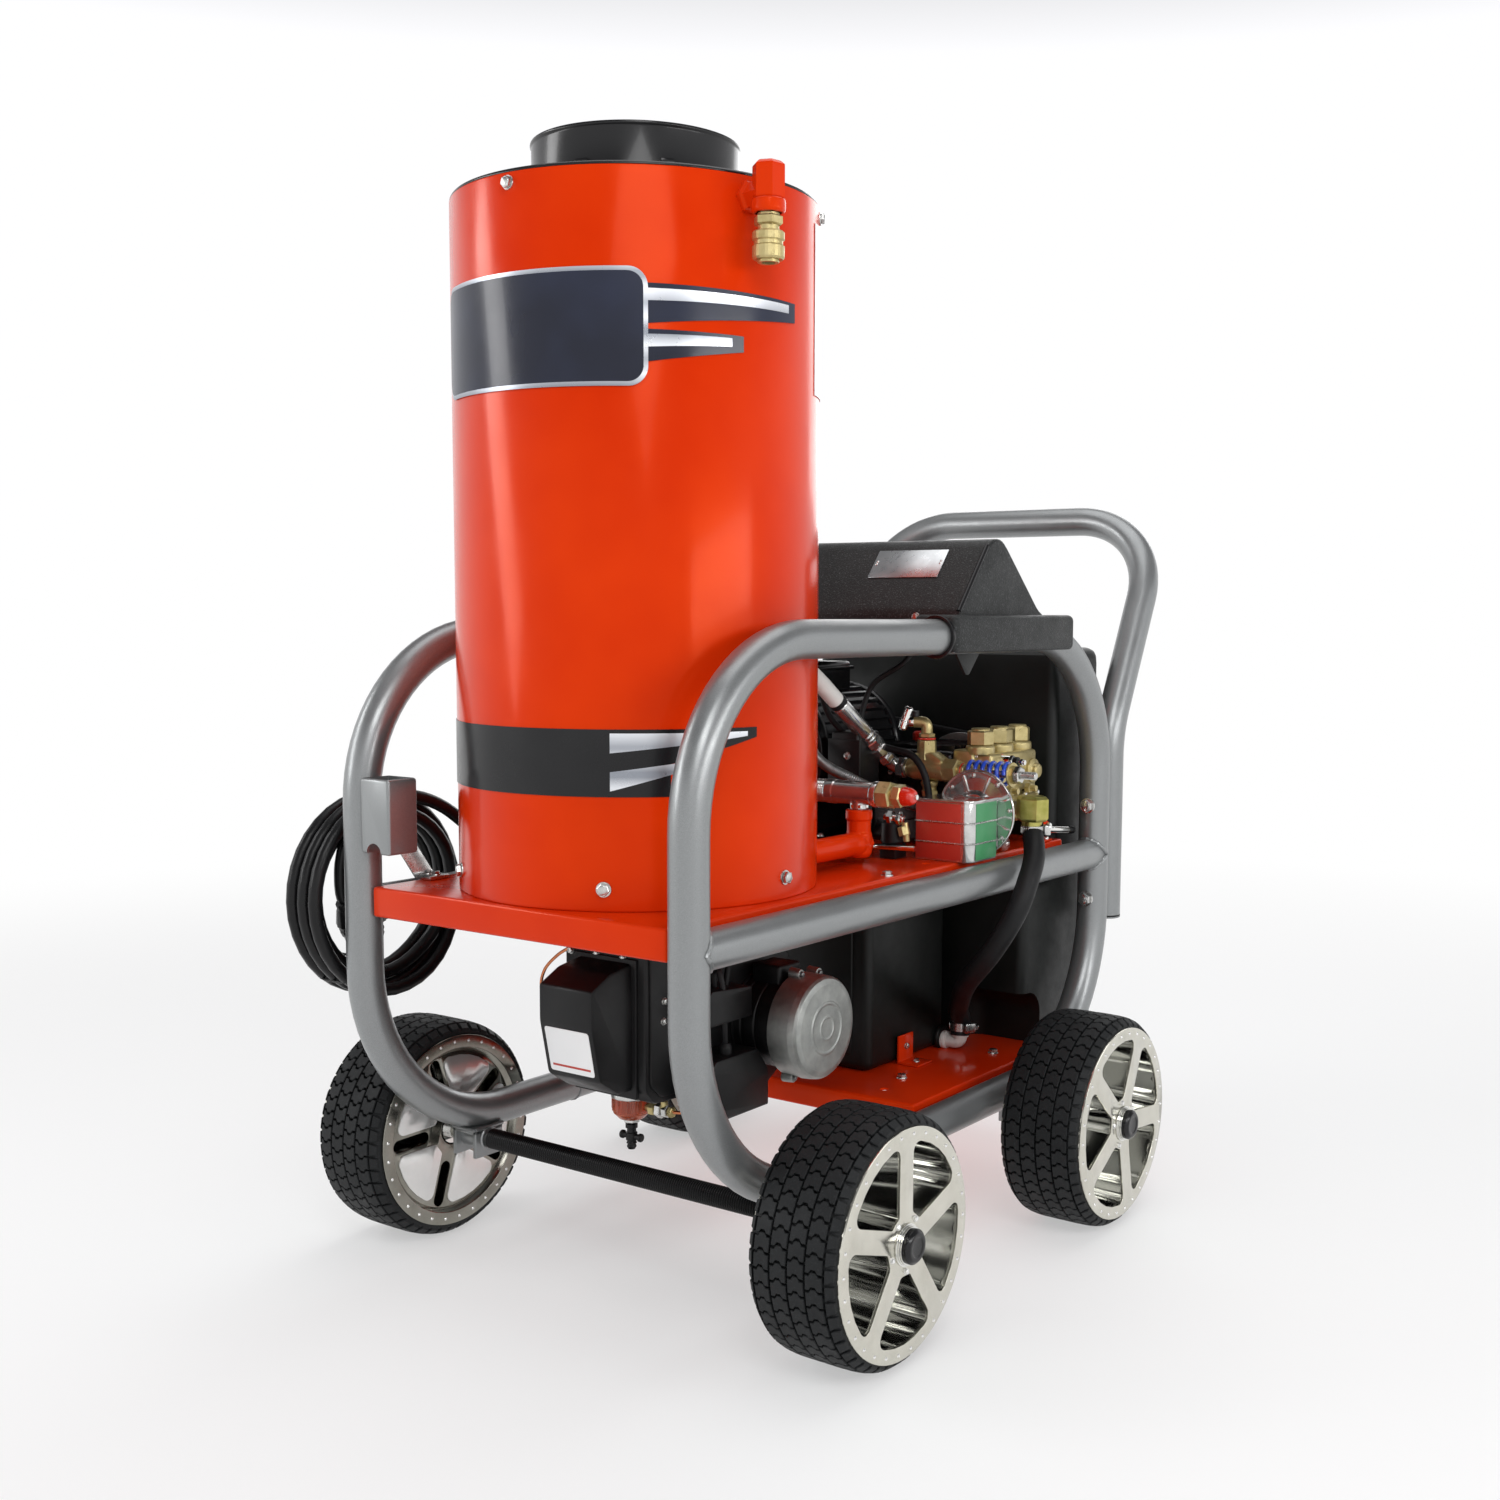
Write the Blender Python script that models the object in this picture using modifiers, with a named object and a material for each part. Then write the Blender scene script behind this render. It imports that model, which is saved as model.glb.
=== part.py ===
"""Portable hot-water pressure washer: tube frame on four wheels, upright boiler, burner, pump.

Metres, +Z up.  The machine stands on z = 0 with its outline centred on the origin.
+X is the pump side, -Y the boiler end and +Y the handle end.
"""
import math

import bmesh
import bpy
from mathutils import Matrix, Vector

# Clearance between pieces that touch
GAP = 0.0003

# Welded tube frame, all positions at tube centres
TUBE_R = 0.0211
LOOP_X = 0.2397
FRONT_LEG_Y = -0.5491
REAR_LEG_Y = 0.3489
LOW_RAIL_Z = 0.1628
MID_RAIL_Z = 0.4485
TOP_RAIL_Z = 0.7549
LOW_BEND_R = 0.215
TOP_BEND_R = 0.190

# Push handle
HANDLE_LEG_Y = REAR_LEG_Y + 2 * TUBE_R + GAP
HANDLE_FOOT_Z = 0.352
HANDLE_KINK_Z = 0.618
HANDLE_BAR_Y = 0.5494
HANDLE_BAR_Z = 0.922
HANDLE_KINK_R = 0.150
HANDLE_CORNER_R = 0.130

# Wheels, measured outwards from the machine's middle plane
AXLE_Z = 0.135
AXLE_R = 0.008
FRONT_AXLE_Y = -0.3778
REAR_AXLE_Y = 0.1447
TYRE_R = 0.135
TYRE_BEAD_R = 0.0953
TYRE_INNER_X = 0.2793
TYRE_OUTER_X = 0.3843
RIM_BARREL_R = 0.0950
RIM_FACE_X = 0.3876
HUB_CAP_X = 0.402
SPOKES = 5
WHEEL_STEPS = 30

# Decks
DECK_HALF_X = 0.217
DECK_SHEET = 0.003
UPPER_DECK_Z = 0.472
LOWER_DECK_Z = 0.184

# Boiler
BOILER_Y = -0.3452
BOILER_R = 0.205
BOILER_TOP_Z = 1.2268
BOILER_FLOOR_Z = UPPER_DECK_Z + GAP
STACK_R = 0.117
STACK_BORE_R = 0.105
STACK_TOP_Z = 1.294
COIL_R = 0.150
COIL_PIPE_R = 0.0133
COIL_INLET_X = 0.120
COIL_INLET_Z = 0.497
OUTLET_ANGLE = math.radians(-15)
OUTLET_Z = 1.205
OUTLET_REACH = 0.237

# Burner, hanging under the boiler
BURNER_AXIS_Y = -0.199
BURNER_AXIS_Z = 0.294
BURNER_RIGHT_X = 0.060
FILTER_Y = -0.362
FILTER_Z = 0.1962

# Drive
MOTOR_X = -0.095
MOTOR_Z = 0.592
PUMP_X = 0.070
PUMP_Z = 0.545
PUMP_FRONT_Y = 0.124
PUMP_REAR_Y = 0.264
BELT_Y = 0.280
MOTOR_GROOVE_R = 0.037
PUMP_GROOVE_R = 0.062
GROOVE_DEPTH = 0.008

# Plumbing
HEAD_FACE_X = 0.205
UNLOADER_Y = 0.104
UNLOADER_Z = 0.577
SPRING_R = 0.0140
SPRING_WIRE_R = 0.0028
TEE_Y = -0.068
TEE_Z = 0.560

# Hood over the drive, profile in Y and Z
HOOD_HALF_X = 0.245
HOOD_WALL = 0.004
HOOD_REAR_FOOT = (0.162, 0.788)
HOOD_REAR_RIDGE = (0.075, 0.866)

# Power cord, hung on the left side
CORD_R = 0.008
CORD_COIL_Y = -0.472
CORD_COIL_Z = 0.448
CORD_COIL_INNER_R = 0.0885
CORD_COIL_OUTER_R = 0.122
CORD_COIL_X = (-0.328, -0.273)
PLUG_ANGLE = 213
PLUG_R = 0.052
PLUG_X = -0.292
GLAND_X = -0.150
GLAND_Z = 0.7595

FINISHES = {
    "silver_paint": ((0.62, 0.63, 0.64), 0.75, 0.38),
    "orange_paint": ((0.86, 0.10, 0.015), 0.0, 0.28),
    "chrome": ((0.82, 0.82, 0.80), 1.0, 0.10),
    "steel": ((0.55, 0.55, 0.54), 1.0, 0.32),
    "brass": ((0.72, 0.53, 0.22), 1.0, 0.30),
    "cast_grey": ((0.36, 0.37, 0.36), 0.7, 0.5),
    "black_paint": ((0.015, 0.015, 0.016), 0.0, 0.35),
    "black_plastic": ((0.02, 0.021, 0.022), 0.0, 0.55),
    "rubber": ((0.022, 0.022, 0.023), 0.0, 0.75),
    "blue_paint": ((0.03, 0.10, 0.65), 0.0, 0.35),
    "amber_plastic": ((0.30, 0.07, 0.03), 0.0, 0.2),
    "red_plastic": ((0.65, 0.03, 0.02), 0.0, 0.4),
}


# ---------------------------------------------------------------- scene and finishes

def clear_scene():
    for item in list(bpy.data.objects):
        bpy.data.objects.remove(item, do_unlink=True)


def new_collection(name):
    group = bpy.data.collections.new(name)
    bpy.context.scene.collection.children.link(group)
    return group


def new_finish(name, colour, metallic, roughness):
    finish = bpy.data.materials.new(name)
    finish.use_nodes = True
    shader = finish.node_tree.nodes["Principled BSDF"]
    shader.inputs["Base Color"].default_value = (*colour, 1.0)
    shader.inputs["Metallic"].default_value = metallic
    shader.inputs["Roughness"].default_value = roughness
    return finish


clear_scene()
PARTS = new_collection("pressure_washer")
CUTTERS = new_collection("cutters")
MATERIALS = {name: new_finish(name, *values) for name, values in FINISHES.items()}


# ---------------------------------------------------------------- modelling helpers

def place(name, data, finish):
    piece = bpy.data.objects.new(name, data)
    if finish:
        data.materials.append(MATERIALS[finish])
        PARTS.objects.link(piece)
    else:
        piece.hide_render = True
        piece.display_type = "WIRE"
        CUTTERS.objects.link(piece)
    return piece


def smooth(mesh):
    mesh.shade_smooth()
    mesh.set_sharp_from_angle(angle=math.radians(35))


def aim(piece, base, direction):
    """Put the piece's origin at base with its local Z along direction."""
    turn = Vector((0, 0, 1)).rotation_difference(Vector(direction).normalized())
    piece.matrix_world = Matrix.Translation(base) @ turn.to_matrix().to_4x4()


def box(name, low, high, finish=None, edge=0.0):
    low, high = Vector(low), Vector(high)
    shape = bmesh.new()
    bmesh.ops.create_cube(shape, size=1.0)
    bmesh.ops.scale(shape, vec=high - low, verts=shape.verts)
    mesh = bpy.data.meshes.new(name)
    shape.to_mesh(mesh)
    shape.free()
    piece = place(name, mesh, finish)
    piece.location = (low + high) / 2
    if edge:
        bevel = piece.modifiers.new("edges", "BEVEL")
        bevel.width = edge
        bevel.segments = 2
    return piece


def rod(name, start, end, radius, finish=None, segments=16):
    start, end = Vector(start), Vector(end)
    shape = bmesh.new()
    bmesh.ops.create_cone(shape, cap_ends=True, segments=segments, radius1=radius, radius2=radius,
                          depth=(end - start).length)
    mesh = bpy.data.meshes.new(name)
    shape.to_mesh(mesh)
    shape.free()
    smooth(mesh)
    piece = place(name, mesh, finish)
    aim(piece, (start + end) / 2, end - start)
    return piece


def turned(name, profile, base, direction, finish=None, steps=32, ring=False):
    """Turn a profile of (radius, height) points, given down its outer side, about direction."""
    mesh = bpy.data.meshes.new(name)
    edges = [(i, i + 1) for i in range(len(profile) - 1)]
    if ring:
        edges.append((len(profile) - 1, 0))
    mesh.from_pydata([(radius, 0.0, height) for radius, height in profile], edges, [])
    piece = place(name, mesh, finish)
    screw = piece.modifiers.new("turn", "SCREW")
    screw.axis = "Z"
    screw.steps = steps
    screw.render_steps = steps
    screw.use_merge_vertices = True
    screw.merge_threshold = 0.00001
    screw.use_smooth_shade = False
    aim(piece, base, direction)
    return piece


def tube(name, points, radius, finish=None, resolution=2, closed=False):
    curve = bpy.data.curves.new(name, "CURVE")
    curve.dimensions = "3D"
    curve.bevel_depth = radius
    curve.bevel_resolution = resolution
    curve.use_fill_caps = True
    spline = curve.splines.new("POLY")
    spline.points.add(len(points) - 1)
    for target, point in zip(spline.points, points):
        target.co = (*point, 1.0)
    spline.use_cyclic_u = closed
    spline.use_smooth = True
    return place(name, curve, finish)


def extruded(name, outlines, low, high, axis, finish=None):
    """Flat outlines in the plane across axis, filled and extruded from low to high along it."""
    curve = bpy.data.curves.new(name, "CURVE")
    curve.dimensions = "2D"
    curve.fill_mode = "BOTH"
    curve.extrude = (high - low) / 2
    for outline in outlines:
        spline = curve.splines.new("POLY")
        spline.points.add(len(outline) - 1)
        for target, point in zip(spline.points, outline):
            target.co = (*point, 0.0, 1.0)
        spline.use_cyclic_u = True
    piece = place(name, curve, finish)
    middle = (low + high) / 2
    if axis == "X":
        piece.matrix_world = Matrix(((0, 0, 1, middle), (1, 0, 0, 0), (0, 1, 0, 0), (0, 0, 0, 1)))
    elif axis == "Y":
        piece.matrix_world = Matrix(((1, 0, 0, 0), (0, 0, -1, middle), (0, 1, 0, 0), (0, 0, 0, 1)))
    else:
        piece.location.z = middle
    return piece


def as_mesh(piece):
    """Replace a curve object by the closed mesh that it draws."""
    bpy.context.view_layer.update()
    depsgraph = bpy.context.evaluated_depsgraph_get()
    mesh = bpy.data.meshes.new_from_object(piece.evaluated_get(depsgraph))
    shape = bmesh.new()
    shape.from_mesh(mesh)
    bmesh.ops.remove_doubles(shape, verts=shape.verts, dist=0.00001)
    shape.to_mesh(mesh)
    shape.free()
    name, group = piece.name, piece.users_collection[0]
    matrix, wire = piece.matrix_world.copy(), piece.hide_render
    bpy.data.objects.remove(piece, do_unlink=True)
    solid = bpy.data.objects.new(name, mesh)
    solid.matrix_world = matrix
    solid.hide_render = wire
    solid.display_type = "WIRE" if wire else "TEXTURED"
    group.objects.link(solid)
    return solid


def combine(piece, tools, operation):
    for tool in tools:
        step = piece.modifiers.new(tool.name, "BOOLEAN")
        step.object = tool
        step.operation = operation
        step.solver = "EXACT"
    return piece


def cut(piece, *tools):
    return combine(piece, tools, "DIFFERENCE")


def join(piece, *tools):
    return combine(piece, tools, "UNION")


def rounded(corners, radii, steps, closed=False):
    """Points of a path through the corners, each corner replaced by an arc."""
    corners = [Vector(corner) for corner in corners]
    count = len(corners)
    path = []
    for i, corner in enumerate(corners):
        if not closed and i in (0, count - 1):
            path.append(corner)
            continue
        before = (corners[i - 1] - corner).normalized()
        after = (corners[(i + 1) % count] - corner).normalized()
        half = before.angle(after) / 2
        radius = radii[i]
        centre = corner + (before + after).normalized() * (radius / math.sin(half))
        start = corner + before * (radius / math.tan(half)) - centre
        end = corner + after * (radius / math.tan(half)) - centre
        sweep = start.angle(end)
        for k in range(steps + 1):
            share = k / steps
            arm = (start * math.sin((1 - share) * sweep) + end * math.sin(share * sweep)) / math.sin(sweep)
            path.append(centre + arm)
    return path


def smooth_route(points, count):
    """Evenly spaced points on a smooth curve through the given points."""
    points = [Vector(point) for point in points]
    ends = [2 * points[0] - points[1]] + points + [2 * points[-1] - points[-2]]
    fine = []
    for i in range(1, len(ends) - 2):
        a, b, c, d = ends[i - 1:i + 3]
        for k in range(24):
            t = k / 24
            fine.append(0.5 * (2 * b + (c - a) * t + (2 * a - 5 * b + 4 * c - d) * t ** 2
                               + (3 * b - a - 3 * c + d) * t ** 3))
    fine.append(points[-1])
    reach = [0.0]
    for a, b in zip(fine, fine[1:]):
        reach.append(reach[-1] + (b - a).length)
    route, i = [], 0
    for k in range(count):
        goal = reach[-1] * k / (count - 1)
        while i < len(reach) - 2 and reach[i + 1] < goal:
            i += 1
        share = (goal - reach[i]) / (reach[i + 1] - reach[i])
        route.append(fine[i].lerp(fine[i + 1], share))
    return route


def hose_route(points, count):
    """Smooth route whose first and last stretches stay straight, as a fitting holds them."""
    return [Vector(points[0])] + smooth_route(points[1:-1], count - 2) + [Vector(points[-1])]


# ---------------------------------------------------------------- frame

def loop_tube(name, side, radius, finish=None):
    x = side * LOOP_X
    corners = [(x, FRONT_LEG_Y, LOW_RAIL_Z), (x, REAR_LEG_Y, LOW_RAIL_Z),
               (x, REAR_LEG_Y, TOP_RAIL_Z), (x, FRONT_LEG_Y, TOP_RAIL_Z)]
    path = rounded(corners, [LOW_BEND_R, LOW_BEND_R, TOP_BEND_R, TOP_BEND_R], 6, closed=True)
    return as_mesh(tube(name, path, radius, finish, 3, closed=True))


def frame_loop(name, side):
    x = side * LOOP_X
    loop = loop_tube(name, side, TUBE_R, "silver_paint")
    half = 0.0225
    for end, y in (("front", FRONT_AXLE_Y), ("rear", REAR_AXLE_Y)):
        block = box(f"{name}_{end}_bracket", (x - TUBE_R, y - half, 0.1125),
                    (x + TUBE_R, y + half, 0.158))
        join(loop, block)
    for end, y in (("front", FRONT_AXLE_Y), ("rear", REAR_AXLE_Y)):
        bore = rod(f"{name}_{end}_bore", (x - 0.04, y, AXLE_Z), (x + 0.04, y, AXLE_Z), AXLE_R + GAP)
        cut(loop, bore)
    return loop


def mid_rail(name, side):
    reach = TUBE_R + 2 * GAP
    return rod(name, (side * LOOP_X, FRONT_LEG_Y + reach, MID_RAIL_Z),
               (side * LOOP_X, REAR_LEG_Y - reach, MID_RAIL_Z), TUBE_R, "silver_paint", 16)


def handle():
    right = [(LOOP_X, HANDLE_LEG_Y, HANDLE_FOOT_Z), (LOOP_X, HANDLE_LEG_Y, HANDLE_KINK_Z),
             (LOOP_X, HANDLE_BAR_Y, HANDLE_BAR_Z)]
    left = [(-x, y, z) for x, y, z in reversed(right)]
    radii = [0, HANDLE_KINK_R, HANDLE_CORNER_R, HANDLE_CORNER_R, HANDLE_KINK_R, 0]
    return tube("handle", rounded(right + left, radii, 6), TUBE_R, "silver_paint", 3)


def wand_holder():
    low, high, wall = Vector((-0.2180, -0.5700, 0.512)), Vector((-0.1710, -0.5270, 0.597)), 0.003
    holder = box("wand_holder", low, high, "silver_paint")
    inside = box("wand_holder_bore", low + Vector((wall, wall, -0.01)),
                 high - Vector((wall, wall, -0.01)))
    return cut(holder, inside)


def cord_hook():
    """Flat bar bolted to the deck, sloping up and out through the cord coil."""
    seat, rest, thick = UPPER_DECK_Z + GAP, CORD_COIL_Z + 0.0858, 0.005
    outline = [(-0.195, seat), (-0.195, seat + thick), (-0.222, seat + thick),
               (-0.276, rest), (-0.334, rest), (-0.334, rest + 0.022), (-0.340, rest + 0.022),
               (-0.340, rest - thick), (-0.274, rest - thick), (-0.2205, seat)]
    return extruded("cord_hook", [outline], CORD_COIL_Y - 0.017, CORD_COIL_Y + 0.013, "Y", "steel")


def deck(name, low_y, high_y, top, drop):
    plate = box(name, (-DECK_HALF_X, low_y, top - drop), (DECK_HALF_X, high_y, top), "orange_paint")
    under = box(f"{name}_under", (-DECK_HALF_X + DECK_SHEET, low_y + DECK_SHEET, top - drop - 0.01),
                (DECK_HALF_X - DECK_SHEET, high_y - DECK_SHEET, top - DECK_SHEET))
    return cut(plate, under)


def build_frame():
    for name, side in (("left", -1), ("right", 1)):
        frame_loop(f"{name}_frame_loop", side)
        mid_rail(f"{name}_mid_rail", side)
    handle()
    wand_holder()
    cord_hook()
    upper = deck("upper_deck", -0.5558, 0.298, UPPER_DECK_Z, 0.0345)
    cut(upper, rod("burner_hole", (0, BOILER_Y, 0.45), (0, BOILER_Y, 0.49), 0.058, segments=24))
    deck("lower_deck", -0.0888, 0.440, LOWER_DECK_Z, 0.0295)


# ---------------------------------------------------------------- wheels

def rim(name, centre, side):
    web, lip = 0.005, 0.003
    profile = [(AXLE_R + GAP, RIM_FACE_X), (0.1225, RIM_FACE_X), (0.1225, RIM_FACE_X - lip),
               (RIM_BARREL_R, RIM_FACE_X - lip), (RIM_BARREL_R, TYRE_INNER_X - GAP),
               (0.118, TYRE_INNER_X - GAP), (0.118, TYRE_INNER_X - GAP - lip),
               (RIM_BARREL_R - 0.004, TYRE_INNER_X - GAP - lip),
               (RIM_BARREL_R - 0.004, RIM_FACE_X - web), (0.0235, RIM_FACE_X - web),
               (0.0235, RIM_FACE_X - 0.045), (AXLE_R + GAP, RIM_FACE_X - 0.045)]
    piece = turned(name, profile, centre, (side, 0, 0), "chrome", WHEEL_STEPS, ring=True)
    windows = []
    for k in range(SPOKES):
        middle = math.tau * (k + 0.5) / SPOKES
        windows.append([(radius * math.cos(middle + bend), radius * math.sin(middle + bend))
                        for radius, bend in ((0.041, -0.27), (0.084, -0.40), (0.084, 0.40), (0.041, 0.27))])
    cutter = extruded(f"{name}_windows", windows, -0.01, 0.01, "Z")
    cutter = as_mesh(cutter)
    aim(cutter, Vector(centre) + Vector((side * (RIM_FACE_X - 0.0025), 0, 0)), (side, 0, 0))
    return cut(piece, cutter)


def tyre(name, centre, side):
    inner, outer = TYRE_INNER_X, TYRE_OUTER_X
    profile = [(TYRE_BEAD_R, outer), (0.1215, outer), (0.1320, outer - 0.007), (TYRE_R, outer - 0.021),
               (TYRE_R, inner + 0.021), (0.1320, inner + 0.007), (0.1215, inner), (TYRE_BEAD_R, inner)]
    return turned(name, profile, centre, (side, 0, 0), "rubber", WHEEL_STEPS, ring=True)


def hub_cap(name, centre, side):
    seat = RIM_FACE_X + GAP
    profile = [(0, HUB_CAP_X), (0.013, HUB_CAP_X), (0.0165, HUB_CAP_X - 0.0035), (0.0165, seat),
               (AXLE_R + GAP, seat), (AXLE_R + GAP, HUB_CAP_X - 0.006), (0, HUB_CAP_X - 0.006)]
    return turned(name, profile, centre, (side, 0, 0), "black_plastic", 20)


def build_wheels():
    for end, y in (("front", FRONT_AXLE_Y), ("rear", REAR_AXLE_Y)):
        reach = HUB_CAP_X - 0.0065
        rod(f"{end}_axle", (-reach, y, AXLE_Z), (reach, y, AXLE_Z), AXLE_R, "steel")
        for hand, side in (("left", -1), ("right", 1)):
            centre = (0, y, AXLE_Z)
            rim(f"{end}_{hand}_rim", centre, side)
            tyre(f"{end}_{hand}_tyre", centre, side)
            hub_cap(f"{end}_{hand}_hub_cap", centre, side)
    reach, inner, outer = 0.2150, AXLE_R + GAP, 0.0125
    turned("axle_guard", [(outer, reach), (outer, -reach), (inner, -reach), (inner, reach)],
           (0, FRONT_AXLE_Y, AXLE_Z), (1, 0, 0), "rubber", 16, ring=True)


# ---------------------------------------------------------------- boiler

def around_boiler(radius, angle, z):
    return Vector((radius * math.cos(angle), BOILER_Y + radius * math.sin(angle), z))


def inlet_angle():
    return math.acos(COIL_INLET_X / BOILER_R)


def heating_coil():
    """Pipe that enters near the floor, winds upward and leaves near the top."""
    turns, per_turn, lift = 7, 10, 0.024
    start, end = inlet_angle(), OUTLET_ANGLE + math.tau * turns
    steps = round((end - start) / math.tau * per_turn)
    wall_r = BOILER_R - DECK_SHEET - 0.0016
    path = [around_boiler(wall_r, start, COIL_INLET_Z), around_boiler(0.175, start, COIL_INLET_Z)]
    for k in range(steps + 1):
        share = k / steps
        z = COIL_INLET_Z + lift + (OUTLET_Z - COIL_INLET_Z - 2 * lift) * share
        path.append(around_boiler(COIL_R, start + (end - start) * share, z))
    path += [around_boiler(0.175, OUTLET_ANGLE, OUTLET_Z), around_boiler(wall_r, OUTLET_ANGLE, OUTLET_Z)]
    return tube("heating_coil", path, COIL_PIPE_R, "steel", 1)


def build_boiler():
    turned("boiler_shell", [(BOILER_R, BOILER_TOP_Z), (BOILER_R, BOILER_FLOOR_Z),
                            (BOILER_R - DECK_SHEET, BOILER_FLOOR_Z), (BOILER_R - DECK_SHEET, BOILER_TOP_Z)],
           (0, BOILER_Y, 0), (0, 0, 1), "orange_paint", 40, ring=True)
    seat = BOILER_TOP_Z + GAP
    turned("boiler_top", [(STACK_R, STACK_TOP_Z), (STACK_R, 1.248), (0.135, 1.244), (0.2045, seat + 0.003),
                          (0.2045, seat), (STACK_BORE_R, seat), (STACK_BORE_R, STACK_TOP_Z)],
           (0, BOILER_Y, 0), (0, 0, 1), "black_paint", 40, ring=True)
    heating_coil()
    wall = rod("boiler_wall", (0, BOILER_Y, 0.4), (0, BOILER_Y, 1.3), BOILER_R + GAP, segments=160)

    elbow = rod("outlet_elbow", around_boiler(OUTLET_REACH, OUTLET_ANGLE, 1.184),
                around_boiler(OUTLET_REACH, OUTLET_ANGLE, 1.235), 0.0175, "orange_paint")
    stem = rod("outlet_stem", around_boiler(0.200, OUTLET_ANGLE, OUTLET_Z),
               around_boiler(OUTLET_REACH, OUTLET_ANGLE, OUTLET_Z), 0.0150)
    cut(join(elbow, stem), wall)

    foot = around_boiler(OUTLET_REACH, OUTLET_ANGLE, 1.135)
    turned("coupler_body", [(0, 0.0487), (0.0150, 0.0487), (0.0150, 0.0370), (0.0110, 0.0370),
                            (0.0110, 0), (0.0072, 0), (0.0072, 0.025), (0, 0.025)],
           foot, (0, 0, 1), "brass", 20)
    turned("coupler_sleeve", [(0.0165, 0.0310), (0.0165, 0.0030), (0.0113, 0.0030), (0.0113, 0.0310)],
           foot, (0, 0, 1), "brass", 20, ring=True)

    riser = rod("coil_inlet_elbow", (COIL_INLET_X, TEE_Y, 0.480), (COIL_INLET_X, TEE_Y, 0.540),
                0.0165, "orange_paint")
    run = rod("coil_inlet_run", (COIL_INLET_X, TEE_Y, COIL_INLET_Z),
              (COIL_INLET_X, TEE_Y - 0.13, COIL_INLET_Z), 0.0145)
    cut(join(riser, run), wall)


# ---------------------------------------------------------------- burner

def burner_housing():
    outline = [(-0.406, 0.432), (-0.406, 0.245), (-0.390, 0.228), (-0.320, 0.224), (-0.280, 0.200),
               (-0.185, 0.200), (-0.130, 0.232), (-0.130, 0.360), (-0.185, 0.400), (-0.260, 0.432)]
    housing = as_mesh(extruded("burner_housing", [outline], -0.062, BURNER_RIGHT_X, "X", "black_plastic"))
    join(housing, rod("air_tube", (0, BOILER_Y, 0.42), (0, BOILER_Y, 0.500), 0.055, segments=24))
    for name, low, high, radius in (("fan_room", -0.070, 0.050, 0.060), ("shaft_hole", 0.045, 0.070, 0.0080)):
        cut(housing, rod(name, (low, BURNER_AXIS_Y, BURNER_AXIS_Z), (high, BURNER_AXIS_Y, BURNER_AXIS_Z),
                         radius, segments=24))


def burner_cover():
    outline = [(-0.4063, 0.392), (-0.444, 0.386), (-0.4758, 0.371), (-0.4758, 0.329),
               (-0.462, 0.264), (-0.430, 0.245), (-0.4063, 0.245)]
    extruded("burner_cover", [outline], -0.038, 0.042, "X", "black_plastic")


def drain_valve():
    stem = rod("drain_valve", (0, FILTER_Y, 0.159), (0, FILTER_Y, FILTER_Z - GAP), 0.005,
               "black_plastic", 12)
    join(stem, rod("drain_wings", (-0.016, FILTER_Y, 0.174), (0.016, FILTER_Y, 0.174), 0.004, segments=10))


def build_burner():
    burner_housing()
    burner_cover()
    axis = (0, BURNER_AXIS_Y, BURNER_AXIS_Z)
    face = BURNER_RIGHT_X + GAP
    turned("burner_motor", [(0, 0.165), (0.059, 0.165), (0.0625, 0.161), (0.0625, 0.120), (0.055, 0.118),
                            (0.055, face), (0.0068, face), (0.0068, 0.082), (0, 0.082)],
           axis, (1, 0, 0), "cast_grey", 32)
    turned("burner_fan", [(0, 0.078), (0.006, 0.078), (0.006, 0.040), (0.052, 0.040), (0.052, -0.040),
                          (0.044, -0.040), (0.044, 0.032), (0.008, 0.032), (0.008, -0.030), (0, -0.030)],
           axis, (1, 0, 0), "steel", 24)
    turned("fuel_filter", [(0, 0.0273), (0.023, 0.0273), (0.023, 0.006), (0.017, 0), (0, 0)],
           (0, FILTER_Y, FILTER_Z), (0, 0, 1), "amber_plastic", 20)
    drain_valve()


# ---------------------------------------------------------------- drive and pump

def pulley(name, centre, groove_r, finish):
    outer, half, shaft = groove_r + GROOVE_DEPTH, 0.012, 0.011
    profile = [(0, half), (outer, half), (outer, half - 0.004), (groove_r, half - 0.006),
               (groove_r, 0.006 - half), (outer, 0.004 - half), (outer, -half), (shaft, -half),
               (shaft, -0.060), (0, -0.060)]
    return turned(name, profile, centre, (0, 1, 0), finish, 28)


def belt():
    """Open belt over both pulley grooves, as the outer outline less the inner one."""
    span = Vector((PUMP_X - MOTOR_X, PUMP_Z - MOTOR_Z))
    heading = math.atan2(span.y, span.x)

    def outline(lift):
        small, large = MOTOR_GROOVE_R + lift, PUMP_GROOVE_R + lift
        lean = math.acos((small - large) / span.length)
        points = []
        for k in range(9):
            angle = heading - lean + (2 * lean) * k / 8
            points.append((PUMP_X + large * math.cos(angle), PUMP_Z + large * math.sin(angle)))
        for k in range(9):
            angle = heading + lean + (math.tau - 2 * lean) * k / 8
            points.append((MOTOR_X + small * math.cos(angle), MOTOR_Z + small * math.sin(angle)))
        return points

    inner, outer = outline(0.0022), outline(0.0090)
    extruded("drive_belt", [outer, inner], BELT_Y - 0.0055, BELT_Y + 0.0055, "Y", "rubber")


def drive_motor():
    front, rear, radius = 0.020, 0.245, 0.093
    motor = turned("drive_motor", [(0, rear), (0.080, rear), (radius, rear - 0.012), (radius, front + 0.012),
                                   (0.080, front), (0, front)],
                   (MOTOR_X, 0, MOTOR_Z), (0, 1, 0), "black_paint", 28)
    join(motor, box("motor_foot", (MOTOR_X - 0.070, 0.050, UPPER_DECK_Z + GAP),
                    (MOTOR_X + 0.070, 0.215, 0.520)))
    cut(motor, rod("motor_bore", (MOTOR_X, 0.210, MOTOR_Z), (MOTOR_X, 0.260, MOTOR_Z), 0.0115))


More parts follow.
